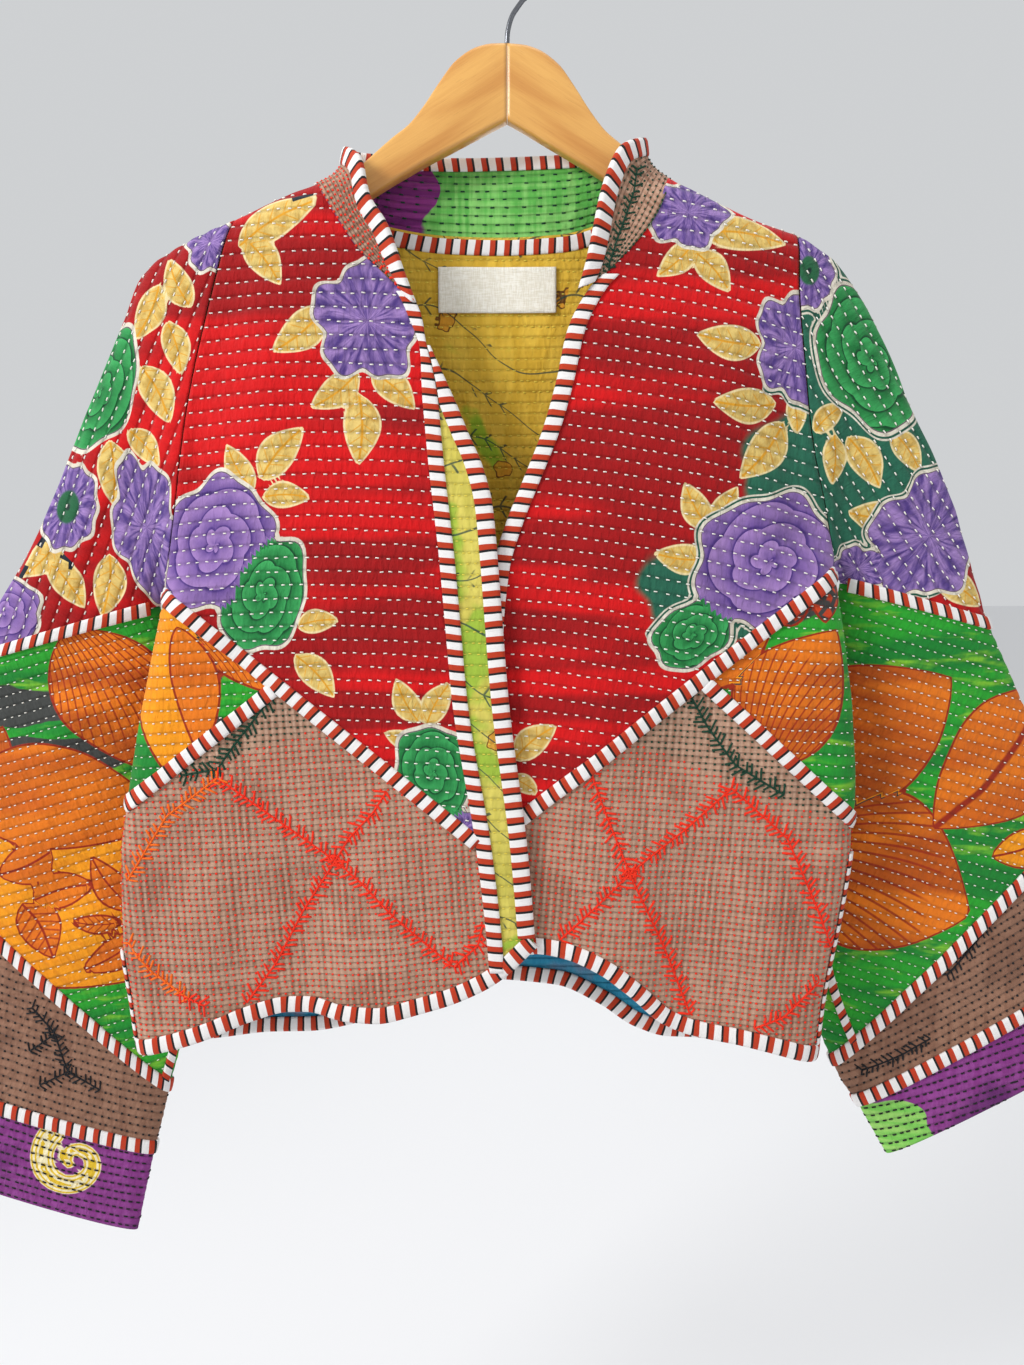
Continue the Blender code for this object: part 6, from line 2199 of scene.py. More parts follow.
@dataclass
class FrontHalf:
    """One front: the flowered piece, the triangle under the arm and the brown piece below."""
    side: Side
    finishes: Finishes
    sewing: Sewing
    prints: Print
    triangle_print: Print
    red_rows: Callable[[Array], Array]
    branches: tuple[Path, ...]
    green_branch: Path
    green_line: tuple[tuple[float, float], tuple[float, float]]
    orange_branches: tuple[Path, ...] = ()

    def red_place(self, across: Array, down: Array) -> Array:
        """Points of the flowered front.

        Args:
            across: shares across the piece.
            down: shares down it.

        Returns:
            One point for each place.
        """
        side = self.side
        top, neck = side.edge.at[-1], side.inner.at[-1]
        outer_z = mix(top, side.underarm[1], down)
        outer_x = side.edge(outer_z) - side.sign * 0.7
        inner_z = mix(neck, side.yoke_end[1], down)
        inner_x = side.inner(inner_z) + side.sign * 0.15
        x, z = mix(outer_x, inner_x, across), mix(outer_z, inner_z, across)
        lift = FORM.shoulder(x) - mix(top, neck, across)
        z = z + lift * np.clip(1 - down * 26, 0, 1) + 0.2 * down - CLEAR
        return FORM.front(side)(x, z)

    def triangle_place(self, across: Array, down: Array) -> Array:
        """Points of the triangle, from the side seam to the slanted seams.

        Args:
            across: shares across the piece.
            down: shares down it.

        Returns:
            One point for each place.
        """
        side = self.side
        corner = 26 / 48
        upper = mix(side.underarm[1] - 5, side.apex[1], down / corner)
        lower = mix(side.apex[1], side.point_end[1] + 5, (down - corner) / (1 - corner))
        z = np.where(down <= corner, upper, lower)
        share_up = (z - side.underarm[1]) / (side.apex[1] - side.underarm[1])
        share_low = (z - side.apex[1]) / (side.point_end[1] - side.apex[1])
        seam = np.where(z >= side.apex[1], mix(side.underarm[0], side.apex[0], share_up),
                        mix(side.apex[0], side.point_end[0], share_low)) + side.sign * 0.25
        return FORM.front(side)(mix(side.edge(z) - side.sign * CLEAR, seam, across), z)

    def patch_place(self, across: Array, down: Array) -> Array:
        """Points of the brown lower piece.

        Args:
            across: shares across the piece.
            down: shares down it.

        Returns:
            One point for each place.
        """
        side = self.side
        corner = 40 / 92
        first = mix(side.point_end[0], side.apex[0], across / corner)
        second = mix(side.apex[0], side.yoke_end[0], (across - corner) / (1 - corner))
        node = np.where(across <= corner, first, second)
        share = (node - side.point_end[0]) / (side.yoke_end[0] - side.point_end[0])
        foot = mix(side.hem_x, side.inner(-690.0), share)
        x = mix(node, foot, down)
        z = mix(side.patch_top(node) - 0.2, side.hem(foot), down)
        start_x = mix(side.point_end[0], side.hem_x, down)
        start_z = mix(side.point_end[1], side.hem(side.hem_x), down)
        end_x = mix(side.yoke_end[0], side.inner(-690.0), down)
        end_z = mix(side.yoke_end[1], side.hem(side.inner(-690.0)), down)
        x = x + (side.edge(start_z) - start_x) * (1 - share) ** 3
        x = x + (side.inner(end_z) + side.sign * 0.15 - end_x) * share ** 3
        return FORM.front(side)(x, z)

    def below_line(self, points: Array) -> Array:
        """Tells which points of the brown piece lie below its green-sewn corner."""
        (x0, z0), (x1, z1) = self.green_line
        return points[..., 2] < z0 + (points[..., 0] - x0) * (z1 - z0) / (x1 - x0)

    def cloths(self) -> tuple[ClothSheet, ClothSheet, ClothSheet]:
        """The three pieces of cloth.

        Returns:
            The flowered piece, the triangle and the brown piece.
        """
        name = self.side.name
        outward = float(self.side.sign)
        red = ClothSheet(f"front_{name}_red", self.red_place, self.red_rows, 76, 130, outward,
                         (232, 446), prints=(self.prints, PLAIN_PRINT))
        triangle = ClothSheet(f"front_{name}_triangle", self.triangle_place,
                              RowFan(-4 * self.side.sign), 30, 48, outward, (112, 152),
                              pitch=PETAL_PITCH,
                              prints=(self.triangle_print, PLAIN_PRINT))
        patch = ClothSheet(f"front_{name}_patch", self.patch_place,
                           RowFan(4 * -self.side.sign, 0.0002, self.side.apex_x), 92, 76, outward,
                           (256, 236), pitch=BROWN_PITCH, swell=0.25)
        return red, triangle, patch

    def build(self) -> None:
        """Makes the cloth, its stitches and its bindings."""
        name, finishes = self.side.name, self.finishes
        red, triangle, patch = self.cloths()
        red.build(finishes.flowered, finishes.lining, "red_kantha")
        triangle.build(finishes.petal, finishes.lining, "orange_kantha")
        patch.build(finishes.brown, finishes.hem_lining, "brown_kantha")
        cream = self.sewing.thread("cream_fronts", "cream", "red_kantha")
        sew_rows(cream, red, 6.9, RUNNING, 11)
        pale = self.sewing.thread("pale_petals", "cream", "orange_kantha")
        sew_rows(pale, triangle, 5.6, Stitch(1.9, 0.8, 0.6, 0.95), 12)
        red_dots = self.sewing.thread(f"red_{name}", "red", "brown_kantha")
        green_dots = self.sewing.thread(f"green_{name}", "bottle green", "brown_kantha")
        sew_rows(red_dots, patch, 4.8, DOT, 13, keep=self.below_line, aligned=True)
        sew_rows(green_dots, patch, 4.8, DOT, 14,
                 keep=lambda points: ~self.below_line(points), aligned=True)
        ground = SurfacePicker(patch)
        for branch in self.branches:
            embroider(red_dots, ground, branch, FEATHER)
        embroider(green_dots, ground, self.green_branch, FEATHER)
        orange = self.sewing.thread("orange_branches", "orange", "brown_kantha")
        for branch in self.orange_branches:
            embroider(orange, ground, branch, FEATHER)
        self.bindings()

    def seam(self, name: str, start: tuple[float, float], end: tuple[float, float],
             clip: tuple[float, float] = (0.0, 1.0)) -> Binding:
        """A binding over a straight seam of the front's pattern.

        Args:
            name: the binding's name.
            start: where the seam begins.
            end: where it ends.
            clip: shares of it at which the binding begins and ends.

        Returns:
            The binding.
        """
        share = np.linspace(clip[0], clip[1], 70)
        x, z = mix(start[0], end[0], share), mix(start[1], end[1], share)
        length = math.hypot(end[0] - start[0], end[1] - start[1])
        way = (-(end[1] - start[1]) / length, (end[0] - start[0]) / length)
        over = (f"front_{self.side.name}_red_cloth", f"front_{self.side.name}_patch_cloth")
        return Binding(name, FORM.front(self.side), (x, z), way, 1.0, high=3.2,
                       rests_on=over)

    def bindings(self) -> None:
        """Makes the bindings over the slanted seams, the hem and the slit."""
        side, name, finish = self.side, self.side.name, self.finishes.binding
        for seam, start, end, first in (("point", side.apex, side.point_end, 0.03),
                                        ("yoke", side.underarm, side.yoke_end, 0.012)):
            self.seam(f"binding_{seam}_{name}", start, end, (first, 0.985)).build(finish)
        place = FORM.front(side)
        over = (f"front_{name}_patch_cloth",)
        x = np.linspace(side.hem_x - side.sign * 0.5, 20.0 if side.sign < 0 else 5.0, 110)
        hem_binding(f"binding_hem_{name}", place, x, side.hem(x), 1.0, over).build(finish)
        slit_binding(side, "front", place, side.hem(side.hem_x), 1.0, over).build(finish)
        if side.sign > 0:
            z = np.linspace(-216.0, -672.0, 220)
            Binding("binding_edge_right", place, (side.inner(z), z),
                    (1.0, 0.0), 1.0, folded=True,
                    rests_on=("front_right_red_cloth",) + over).build(finish)


@dataclass
class FrontBand:
    """The plain band down the left front's opening, with its two bindings."""
    finishes: Finishes
    sewing: Sewing
    top: float = -264.0

    def place(self, across: Array, down: Array) -> Array:
        """Points of the band, from its seam to its free edge.

        Args:
            across: shares across the piece.
            down: shares down it.

        Returns:
            One point for each place.
        """
        foot = LEFT.hem(mix(-6.5, 19.6, across))
        z = mix(self.top, foot, down)
        return FORM.front(LEFT)(mix(LEFT.inner(z) + 0.15, FORM.band_edge(z), across), z)

    def half_width(self, z: Array) -> Array:
        """Half the width of a binding, narrow where the band begins."""
        return mix(1.4, BINDING_WIDTH / 2, smooth((self.top + 22 - z) / 60))

    def build(self) -> None:
        """Makes the band, its stitches and its bindings."""
        cloth = ClothSheet("front_band_left", self.place, RowFan(0), 14, 150, -1.0, (34, 430),
                           pitch=7.5, swell=0.15)
        cloth.build(self.finishes.band, self.finishes.lining, "yellow_kantha")
        yellow = self.sewing.thread("yellow_band", "yellow", "yellow_kantha")
        sew_rows(yellow, cloth, 4.6, Stitch(2.2, 0.7, 0.5, 0.95), 21)
        z = np.linspace(self.top + 2, float(LEFT.hem(19.6)) + 6, 230)
        half = self.half_width(z)
        wide = np.minimum(BINDING_WIDTH, FORM.band_edge(z) - LEFT.inner(z) - half - 0.3)
        Binding("binding_edge_left", FORM.front(LEFT), (FORM.band_edge(z), z),
                (-1.0, 0.0), 1.0, width=wide, folded=True,
                rests_on=("front_band_left_cloth",)).build(self.finishes.binding)
        z = np.linspace(-227.0, float(LEFT.hem(-6.5)) + 6, 230)
        low = self.half_width(z)
        half = mix(4.6, low, smooth((-240 - z) / 26))
        Binding("binding_band_seam", FORM.front(LEFT), (LEFT.inner(z), z),
                (1.0, 0.0), 1.0, width=2 * half,
                rests_on=("front_left_red_cloth",)).build(self.finishes.binding)


@dataclass
class BackPanel:
    """The plain back in two pieces, its lining side towards the front."""
    finishes: Finishes
    sewing: Sewing
    seam_z: float = -552.0
    label_x: tuple[float, float] = (-48.0, 34.0)
    label_z: tuple[float, float] = (-200.0, -231.0)
    label_off: float = 1.9

    @staticmethod
    def spread(share: Array) -> Array:
        """Crowds columns towards both sides.

        Args:
            share: even shares across.

        Returns:
            The crowded shares.
        """
        low = 0.5 * (2 * np.minimum(share, 0.5)) ** 1.4
        high = 1 - 0.5 * np.maximum(2 - 2 * share, 0) ** 1.4
        return np.where(share < 0.5, low, np.where(share > 1, 1 + (share - 1) * 0.1, high))

    @staticmethod
    def width_at(z: Array, share: Array) -> Array:
        """Place across the back at a height."""
        return mix(LEFT.edge(z) + CLEAR, RIGHT.edge(z) - CLEAR, share)

    def upper_place(self, across: Array, down: Array) -> Array:
        """Points of the upper piece.

        Args:
            across: shares across the piece.
            down: shares down it.

        Returns:
            One point for each place.
        """
        across = np.clip(across, 0.0, 1.0)
        top_x = np.interp(across, np.linspace(0, 1, len(FORM.back_top)), FORM.back_top)
        inside = (top_x > -126) & (top_x < 108)
        top_z = np.where(inside, FORM.back_neck(top_x), FORM.shoulder(top_x))
        share = self.spread(across)
        z = mix(top_z, self.seam_z + 0.15, down) - CLEAR
        inset = 0.7 * smooth((z - LEFT.underarm[1] + 8) / 8)
        x = self.width_at(z, share) + (1 - 2 * share) * inset
        return FORM.back()(mix(top_x, x, smooth(down * 10)), z)

    def lower_place(self, across: Array, down: Array) -> Array:
        """Points of the lower piece.

        Args:
            across: shares across the piece.
            down: shares down it.

        Returns:
            One point for each place.
        """
        share = self.spread(np.clip(across, 0.0, 1.0))
        foot = FORM.back_hem(self.width_at(np.full(share.shape, -746.0), share))
        z = mix(self.seam_z - 0.15, foot, down)
        return FORM.back()(self.width_at(z, share), z)

    def build(self) -> None:
        """Makes the back, its stitches, its bindings and the label."""
        finishes = self.finishes
        upper = ClothSheet("back_panel", self.upper_place, RowFan(0, 0.0003, 0), 130, 140, 1.0,
                           (490, 464), prints=(BACK_PRINT, PLAIN_PRINT))
        upper.build(finishes.flowered, finishes.lining, "red_kantha")
        lower = ClothSheet("back_hem_patch", self.lower_place, RowFan(0), 104, 60, 1.0,
                           (512, 210), pitch=5.4, swell=0.25)
        lower.build(finishes.brown, finishes.hem_lining, "brown_kantha")
        cream = self.sewing.thread("cream_back", "cream", "red_kantha")
        sew_rows(cream, upper, 6.9, RUNNING, 31)
        yellow = self.sewing.thread("yellow_lining", "yellow", "yellow_kantha")
        turned = ClothSheet("lining", self.upper_place, RowFan(0), 156, 170, -1.0, (490, 464),
                            pitch=7.5)
        sew_rows(yellow, turned, 5.2, Stitch(2.4, 0.8, 0.6, 0.95), 32,
                 keep=self.seen_in_neck)
        dots = self.sewing.thread("red_back", "red", "brown_kantha")
        sew_rows(dots, lower, 4.8, DOT, 33, spacing=1.1, aligned=True)
        self.bindings()
        self.label()

    def bindings(self) -> None:
        """Makes the bindings of the seam, the hem, the slits and the neck seam."""
        finish, place = self.finishes.binding, FORM.back()
        over, lower = ("back_panel_cloth",), ("back_hem_patch_cloth",)
        seam = np.full(160, self.seam_z)
        x = self.width_at(seam, np.linspace(0.006, 0.994, 160))
        Binding("binding_back_seam", place, (x, seam), (0.0, 1.0), -1.0,
                rests_on=over).build(finish)
        x = np.linspace(-258.6, 216.6, 200)
        hem_binding("binding_hem_back", place, x, FORM.back_hem(x), -1.0, lower).build(finish)
        for side in (LEFT, RIGHT):
            slit_binding(side, "back", place, FORM.back_hem(side.hem_x), -1.0,
                         lower).build(finish)
        x = np.linspace(-112.0, 98.0, 110)
        z = FORM.back_neck(x)
        across, up = square_up(x, z)
        Binding("binding_neck_seam", place, (x - across * 7, z - up * 7), (across, up), 1.0,
                high=2.4, rests_on=over).build(finish)

    @staticmethod
    def seen_in_neck(points: Array) -> Array:
        """Tells which points of the lining show through the neck."""
        return (np.abs(points[..., 0] + 4) < 110) & (points[..., 2] > -450)

    def label_place(self, across: Array, down: Array) -> Array:
        """Points of the label, which stands off the lining and curls at its ends.

        Args:
            across: shares across the label.
            down: shares down it.

        Returns:
            One point for each place.
        """
        points = FORM.back()(mix(*self.label_x, across), mix(*self.label_z, down))
        curl = 0.9 * np.abs(2 * across - 1) ** 6 * (0.4 + 0.6 * down)
        points[..., 1] -= self.label_off + (curl + 0.25 * np.sin(across * 9))
        return points

    def label(self) -> None:
        """Makes the bare label and the stitches that hold it."""
        cloth = ClothSheet("neck_label", self.label_place, RowFan(0), 50, 20, -1.0, (88, 37),
                           swell=0.0, wall=0.6)
        cloth.build(self.finishes.label, self.finishes.label, "label_cotton", held="stretched")
        thread = self.sewing.thread("label", "cream", "label_cotton")
        long = np.linspace(0.03, 0.97, 26)
        short = np.append(long[::3], 0.97)
        for across, down in ((long, np.full(26, 0.08)), (long, np.full(26, 0.92)),
                             (np.full(10, 0.025), short), (np.full(10, 0.975), short)):
            one, two, facing = cloth.normals(across, down)
            along = unit(one if across[0] != across[-1] else two)
            thread.add(self.label_place(across, down), along, facing, Stitch(2.0, 0.45, 0.35, 0.3))


@dataclass
class Sleeve:
    """One sleeve: four cross pieces, their bindings and the underarm seam's binding."""
    side: Side
    finishes: Finishes
    sewing: Sewing
    upper_print: Print
    middle_print: Print
    cuff_print: Print
    branches: tuple[Path, ...]
    row_turns: tuple[float, float, float, float]
    underarm_turn: float
    seam_gap: float = 0.0016
    turn_step: float = 0.004
    station_step: float = 0.01

    def section(self, start: float, stop: float, across: Array, down: Array) -> Array:
        """Points of one cross piece of the sleeve.

        Args:
            start: the station where it begins.
            stop: the station where it ends.
            across: shares round the sleeve.
            down: shares down the piece.

        Returns:
            One point for each place.
        """
        gap = 0.004 if start == 0 else self.seam_gap
        fold = np.exp(-((across % 1.0 - 0.5) / 0.09) ** 2)
        first = start + gap * (1 + 5 * fold)
        return FORM.sleeve_point(self.side, across, mix(first, stop - self.seam_gap, down))

    def cloths(self) -> list[ClothSheet]:
        """The four pieces of cloth.

        Returns:
            They stand in order from the armhole down.
        """
        side, name = self.side, self.side.name
        middle = 0.5 * (side.stations[0].outer_x + side.underarm[0])
        table = (("upper", 0.0, 1.0, 150, 88, (500, 352), ROW_PITCH,
                  (self.upper_print, ARM_BACK_PRINT)),
                 ("middle", 1.0, 2.0, 130, 84, (366, 376), PETAL_PITCH,
                  (self.middle_print,) * 2),
                 ("lower", 2.0, 3.0, 110, 48, (512, 186), DARK_BROWN_PITCH, (PLAIN_PRINT,) * 2),
                 ("cuff", 3.0, 4.0, 120, 28, (496, 84), PURPLE_PITCH,
                  (self.cuff_print, PLAIN_PRINT)))
        cloths = []
        for (label, start, stop, columns, rows, flat, pitch, prints), turn in zip(table,
                                                                                  self.row_turns):
            cloths.append(ClothSheet(
                f"sleeve_{name}_{label}", partial(self.section, start, stop),
                RowFan(turn, 0.00012, middle),
                columns, rows, float(side.sign), flat, pitch=pitch,
                swell=0.35 if label == "upper" else 0.25, closed=True, prints=prints))
        return cloths

    def build(self) -> None:
        """Makes the sleeve's cloth, stitches and bindings."""
        finishes, name = self.finishes, self.side.name
        upper, middle, lower, cuff = self.cloths()
        upper.build(finishes.flowered, finishes.lining, "red_kantha")
        middle.build(finishes.petal, finishes.lining, "orange_kantha")
        lower.build(finishes.dark_brown, finishes.lining, "brown_kantha")
        cuff.build(finishes.purple, finishes.purple, "purple_kantha")
        cream = self.sewing.thread(f"cream_arm_{name}", "cream", "red_kantha")
        sew_rows(cream, upper, 6.9, RUNNING, 41)
        pale = self.sewing.thread(f"pale_arm_{name}", "cream", "orange_kantha")
        sew_rows(pale, middle, 5.6, Stitch(1.9, 0.8, 0.6, 0.95), 42)
        black = self.sewing.thread(f"black_arm_{name}", "black", "brown_kantha")
        sew_rows(black, lower, 5.2, DOT, 43)
        sew_rows(black, cuff, 5.2, DASH, 44)
        ground = SurfacePicker(lower)
        for branch in self.branches:
            embroider(black, ground, branch, Stitch(6, 1.5, 1.2, 1.15), leg=7.0, pitch=3.9)
        self.bindings()

    def bindings(self) -> None:
        """Makes the bindings over the cross seams and along the underarm seam."""
        side, name = self.side, self.side.name
        place = FORM.sleeve(side)
        outward = float(side.sign)
        for label, at in (("upper", 1.0), ("middle", 2.0), ("lower", 3.0)):
            whole = label != "upper"
            turn = np.linspace(0, 1, 170) if whole else np.linspace(0.562, 1.438, 150)
            station = np.full(len(turn), at)
            step = self.station_step
            reach = np.linalg.norm(FORM.sleeve_point(side, turn, station + step)
                                   - FORM.sleeve_point(side, turn, station - step), axis=-1)
            Binding(f"binding_sleeve_{name}_{label}", place, (turn, station),
                    (0.0, 2 * step / reach), outward, closed=whole, high=3.2,
                    steps=(self.turn_step, self.station_step), straight=True,
                    rests_on=(f"sleeve_{name}_{label}_cloth",)).build(self.finishes.binding)
        station = np.linspace(1.60, 1.975, 60)
        turn = np.full(60, self.underarm_turn)
        step = self.turn_step
        reach = np.linalg.norm(FORM.sleeve_point(side, turn + step, station)
                               - FORM.sleeve_point(side, turn - step, station), axis=-1)
        Binding(f"binding_underarm_{name}", place, (turn, station), (2 * step / reach, 0.0),
                outward, width=7.0, high=3.4, steps=(self.turn_step, self.station_step),
                straight=True,
                rests_on=(f"sleeve_{name}_middle_cloth",)).build(self.finishes.binding)


@dataclass
class Collar:
    """The standing collar, brown outside and green and purple inside, with its binding."""
    finishes: Finishes
    sewing: Sewing
    branch: Path = ((85, -148), (83, -163), (77, -180), (71, -197), (66, -212))

    @staticmethod
    def place(across: Array, down: Array) -> Array:
        """Points of the collar, from tip to tip and from its seam to its free edge."""
        return FORM.collar_point(mix(CLEAR, 1 - CLEAR, across), mix(-0.1, 1.0, down))

    @classmethod
    def right_tip(cls, across: Array, down: Array) -> Array:
        """Points of the collar's right end."""
        return cls.place(mix(0.8, 1.0, across), down)

    def build(self) -> None:
        """Makes the collar, its stitches and its binding."""
        cloth = ClothSheet("collar", self.place, RowFan(0), 150, 16, 1.0, (412, 48),
                           pitch=COLLAR_PITCH, swell=0.2,
                           prints=(PURPLE_COLLAR_PRINT, PLAIN_PRINT), follow=True)
        cloth.build(self.finishes.collar_inside, self.finishes.brown, "brown_kantha")
        green = self.sewing.thread("collar_green", "bottle green", "brown_kantha")
        sew_rows(green, cloth, 5.4, DASH, 51, spacing=0.7)
        outside = ClothSheet("collar_outside", self.place, RowFan(0), 150, 16, -1.0, (412, 48),
                             pitch=4.8, follow=True)
        dots = self.sewing.thread("collar_dots", "red", "brown_kantha")
        sew_rows(dots, outside, 4.8, DOT, 52, keep=lambda points: points[..., 0] < 0, spacing=0.7)
        sew_rows(green, outside, 4.8, DOT, 53, keep=lambda points: points[..., 0] >= 0, spacing=0.7)
        tip = ClothSheet("collar_tip", self.right_tip, RowFan(0), 40, 16, -1.0, (412, 48))
        embroider(green, SurfacePicker(tip), self.branch, Stitch(6, 1.4, 1.1, 1.1), leg=6.0)
        share = np.linspace(0.0, 1.0, 240)
        top = np.ones(240)
        step = 0.02
        reach = np.linalg.norm(FORM.collar_point(share, top) - FORM.collar_point(share, top - step),
                               axis=-1)
        high = np.linalg.norm(FORM.collar_point(share, top) - FORM.collar_point(share, top * 0),
                              axis=-1)
        Binding("binding_collar", FORM.collar_point, (share, top), (0.0, -step / reach),
                1.0, width=np.minimum(BINDING_WIDTH, high * 0.85), folded=True,
                steps=(0.003, step), straight=True,
                rests_on=("collar_cloth",)).build(self.finishes.binding)


@dataclass
class WoodenHanger:
    """Two bevelled wooden arms that meet at the middle, and the steel hook."""
    finishes: Finishes
    half_wood: float = 6.0
    half_tip: float = 4.0
    bevel: float = 3.2
    wire: float = 1.7
    bend: float = 17.0
    gap: float = 0.15
    straight: float = 185.0
    tip: float = 9.9
    tilt: float = 0.03
    top: Curve = field(default_factory=lambda: Curve((
        (0.15, -61), (10, -61.5), (20, -64), (34, -73), (45, -87), (56, -103), (66, -115),
        (76, -123), (98, -142.5), (112, -154.5), (126, -161.5), (144, -167), (162, -176),
        (180, -186), (190, -193), (195, -199))))
    bottom: Curve = field(default_factory=lambda: Curve((
        (0.15, -110), (10, -115), (20, -120.5), (34, -128), (45, -134), (56, -140), (66, -146),
        (76, -152), (98, -166), (112, -174), (126, -182), (144, -192), (162, -201), (180, -210),
        (190, -212), (195, -208))))

    def arm(self, sign: int, name: str) -> None:
        """Makes one arm.

        Args:
            sign: -1 for the left arm and 1 for the right.
            name: the solid that it stands for.
        """
        quarter = np.linspace(0, math.pi / 2, 6)
        run = np.concatenate((np.linspace(self.gap, self.straight, 74),
                              self.straight + self.tip * np.sin(quarter)[1:]))
        rings = []
        for x in run:
            half = float(mix(self.half_wood, self.half_tip, smooth((x - 150) / 45)))
            top, bottom = float(self.top(x)), float(self.bottom(x))
            bevel = min(self.bevel, half * 0.8, (top - bottom) * 0.42)
            corners = ((half - bevel, top - bevel, 0.0), (-half + bevel, top - bevel, 90.0),
                       (-half + bevel, bottom + bevel, 180.0),
                       (half - bevel, bottom + bevel, 270.0))
            ring = [(depth + bevel * math.cos(math.radians(start) + turn),
                     height + bevel * math.sin(math.radians(start) + turn))
                    for depth, height, start in corners for turn in quarter]
            rings.append([(sign * x, float(FORM.hanger_y(x)) + depth, height - self.tilt * sign * x)
                          for depth, height in ring])
        points = np.array(rings)
        x, y, z = np.moveaxis(points, -1, 0)
        grain = np.stack((np.abs(x) * 1.15, z + 0.62 * np.abs(x) + 0.4 * y), -1)
        new_object(f"{name}_wood", rings_mesh(name, points, grain), (self.finishes.wood,),
                   "varnished_wood", (name,))

    def hook(self) -> None:
        """Makes the wire hook: a stem that leans and a round bend, open to the left."""
        radius = self.bend + self.wire
        turns = np.radians(np.linspace(-56, 196, 64))
        bend = np.stack((np.cos(turns) * radius, np.zeros(64), np.sin(turns) * radius - self.bend),
                        -1)
        rows = np.array(((0, -60.6), (0.2, -55), (1.4, -48), (3.6, -42), (7.0, -37)), float)
        stem_x = Curve([(-row[1], row[0]) for row in rows])
        heights = np.linspace(60.6, 37.0, 20)
        stem = np.stack((stem_x(heights), np.zeros(20), -heights), -1)
        path = np.concatenate((stem, bend))
        run = unit(np.gradient(path, axis=0))
        out = np.cross(np.array((0.0, 1.0, 0.0)), run)
        out[0] = (1, 0, 0)
        angles = np.linspace(0, 2 * math.pi, 14, endpoint=False)
        size = np.full(len(path), self.wire)
        size[-1] *= 0.6
        points = path[:, None] + size[:, None, None] * (
            np.cos(angles)[None, :, None] * out[:, None]
            + np.sin(angles)[None, :, None] * np.array((0.0, 1.0, 0.0)))
        new_object("hanger_hook_wire", rings_mesh("hanger_hook", points), (self.finishes.steel,),
                   "hook_steel", ("hanger_hook",))

    def build(self) -> None:
        """Makes both arms and the hook."""
        self.arm(-1, "hanger_arm_left")
        self.arm(1, "hanger_arm_right")
        self.hook()


class Lamp(NamedTuple):
    """A soft square lamp that looks at the jacket's middle; lengths in metres, power in watts."""
    name: str
    spot: tuple[float, float, float]
    size: float
    power: float


@dataclass
class Studio:
    """Pale floor, soft lights and the camera at the photograph's angle."""
    floor_z: float = -1.5
    lens: float = 27.03
    eye: tuple[float, float, float] = (0.00328, -0.7270, -0.40858)
    pitch: float = 6.3
    sensor: float = 36.0
    floor_size: float = 30.0
    floor_tone: tuple[float, float, float, float] = (0.86, 0.86, 0.87, 1)
    sky_tone: tuple[float, float, float, float] = (0.94, 0.96, 0.98, 1)
    sky_light: float = 0.66
    middle: tuple[float, float, float] = (0, 0, -0.45)
    lamps: tuple[Lamp, ...] = (
        Lamp("key", (-1.7, -1.2, 0.7), 0.7, 40.0), Lamp("fill", (1.5, -1.6, -0.2), 1.8, 3.0),
        Lamp("top", (0.2, -0.3, 1.5), 1.2, 9.0), Lamp("back", (0.3, 2.2, 0.2), 2.0, 14.0))

    def build(self) -> None:
        """Sets the stage up."""
        scene = bpy.context.scene
        scene.view_settings.view_transform = "Standard"
        floor = bmesh.new()
        bmesh.ops.create_grid(floor, x_segments=1, y_segments=1, size=self.floor_size)
        bmesh.ops.translate(floor, verts=floor.verts, vec=(0, 0, self.floor_z))
        mesh = bpy.data.meshes.new("floor")
        floor.to_mesh(mesh)
        floor.free()
        pale = bpy.data.materials.new("pale floor")
        pale.use_nodes = True
        shader = pale.node_tree.nodes["Principled BSDF"]
        shader.inputs["Base Color"].default_value = self.floor_tone
        shader.inputs["Roughness"].default_value = 0.9
        mesh.materials.append(pale)
        ground = bpy.data.objects.new("floor", mesh)
        scene.collection.objects.link(ground)
        world = bpy.data.worlds.new("pale studio")
        world.use_nodes = True
        sky = world.node_tree.nodes["Background"].inputs
        sky["Color"].default_value = self.sky_tone
        sky["Strength"].default_value = self.sky_light
        scene.world = world
        for lamp in self.lamps:
            light = bpy.data.lights.new(lamp.name, "AREA")
            light.size, light.energy = lamp.size, lamp.power
            stand = bpy.data.objects.new(lamp.name, light)
            stand.location = lamp.spot
            way = Vector(self.middle) - Vector(lamp.spot)
            stand.rotation_euler = way.to_track_quat("-Z", "Y").to_euler()
            scene.collection.objects.link(stand)
        lens = bpy.data.cameras.new("camera")
        lens.lens, lens.sensor_width, lens.sensor_fit = self.lens, self.sensor, "AUTO"
        camera = bpy.data.objects.new("camera", lens)
        camera.location = self.eye
        camera.rotation_euler = (math.radians(90 - self.pitch), 0, 0)
        scene.collection.objects.link(camera)
        scene.camera = camera


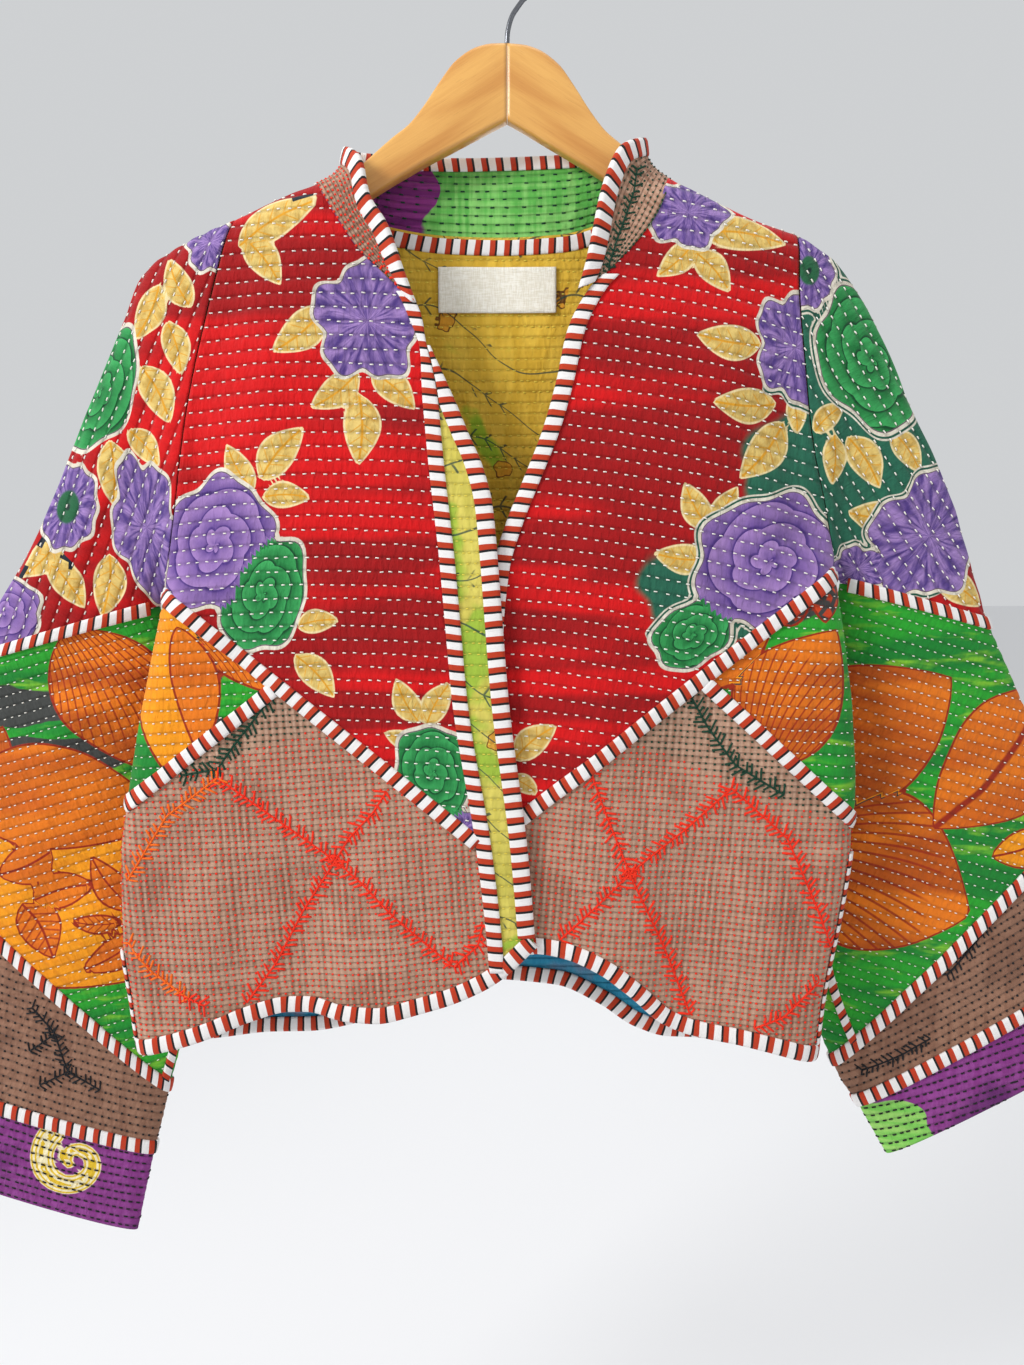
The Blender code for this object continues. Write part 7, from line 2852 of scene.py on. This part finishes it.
def main() -> None:
    """Builds the hanger, the jacket and the studio in order."""
    logging.basicConfig(level=logging.INFO, format="%(message)s")
    finishes = Finishes()
    sewing = Sewing(finishes)
    WoodenHanger(finishes).build()
    BackPanel(finishes, sewing).build()
    FrontHalf(LEFT, finishes, sewing, LEFT_FRONT_PRINT, LEFT_TRIANGLE_PRINT,
              RowFan(0.0, -0.0005, -120),
              (((-196, -549), (-117, -606), (-98, -622), (-78, -643), (-53, -666), (-36, -679)),
               ((-117, -606), (-141, -643), (-160, -679), (-180, -706)),
               ((-117, -606), (-108, -591), (-91, -573), (-81, -557)),
               ((-36, -679), (-20, -664), (-16, -647)), ((-208, -706), (-226, -697))),
              ((-220, -547), (-196, -543), (-185, -527), (-171, -509), (-157, -491)),
              ((-200, -539), (-118, -513)),
              (((-196, -549), (-231, -575), (-246, -599), (-259, -620)),
               ((-259, -664), (-243, -684), (-217, -702)))).build()
    FrontHalf(RIGHT, finishes, sewing, RIGHT_FRONT_PRINT, RIGHT_TRIANGLE_PRINT,
              RowFan(-4.0, -0.0006, 30),
              (((83, -614), (64, -566), (56, -543)), ((83, -614), (120, -585), (152, -556)),
               ((83, -614), (36, -662)), ((83, -614), (108, -668), (127, -716)),
               ((152, -556), (190, -590), (212, -640), (222, -668)),
               ((214, -690), (190, -714), (169, -723))),
              ((123, -492), (136, -515), (154, -540), (190, -562)),
              ((90, -526), (192, -566))).build()
    FrontBand(finishes, sewing).build()
    Sleeve(LEFT, finishes, sewing, LEFT_ARM_PRINT, LEFT_MIDDLE_PRINT, CUFF_PRINT,
           (((-345, -725), (-330, -745), (-322, -775), (-300, -790)),
            ((-330, -745), (-352, -760)), ((-322, -775), (-345, -785))),
           (-122.0, 20.0, -24.0, -22.0), 0.461).build()
    Sleeve(RIGHT, finishes, sewing, RIGHT_ARM_PRINT, RIGHT_MIDDLE_PRINT, GREEN_CUFF_PRINT,
           (((318, -700), (340, -672), (352, -652)), ((262, -776), (290, -762), (312, -748))),
           (-58.0, -20.0, 36.0, 24.0), 0.407).build()
    Collar(finishes, sewing).build()
    sewing.build()
    Studio().build()


if __name__ == "__main__":
    main()
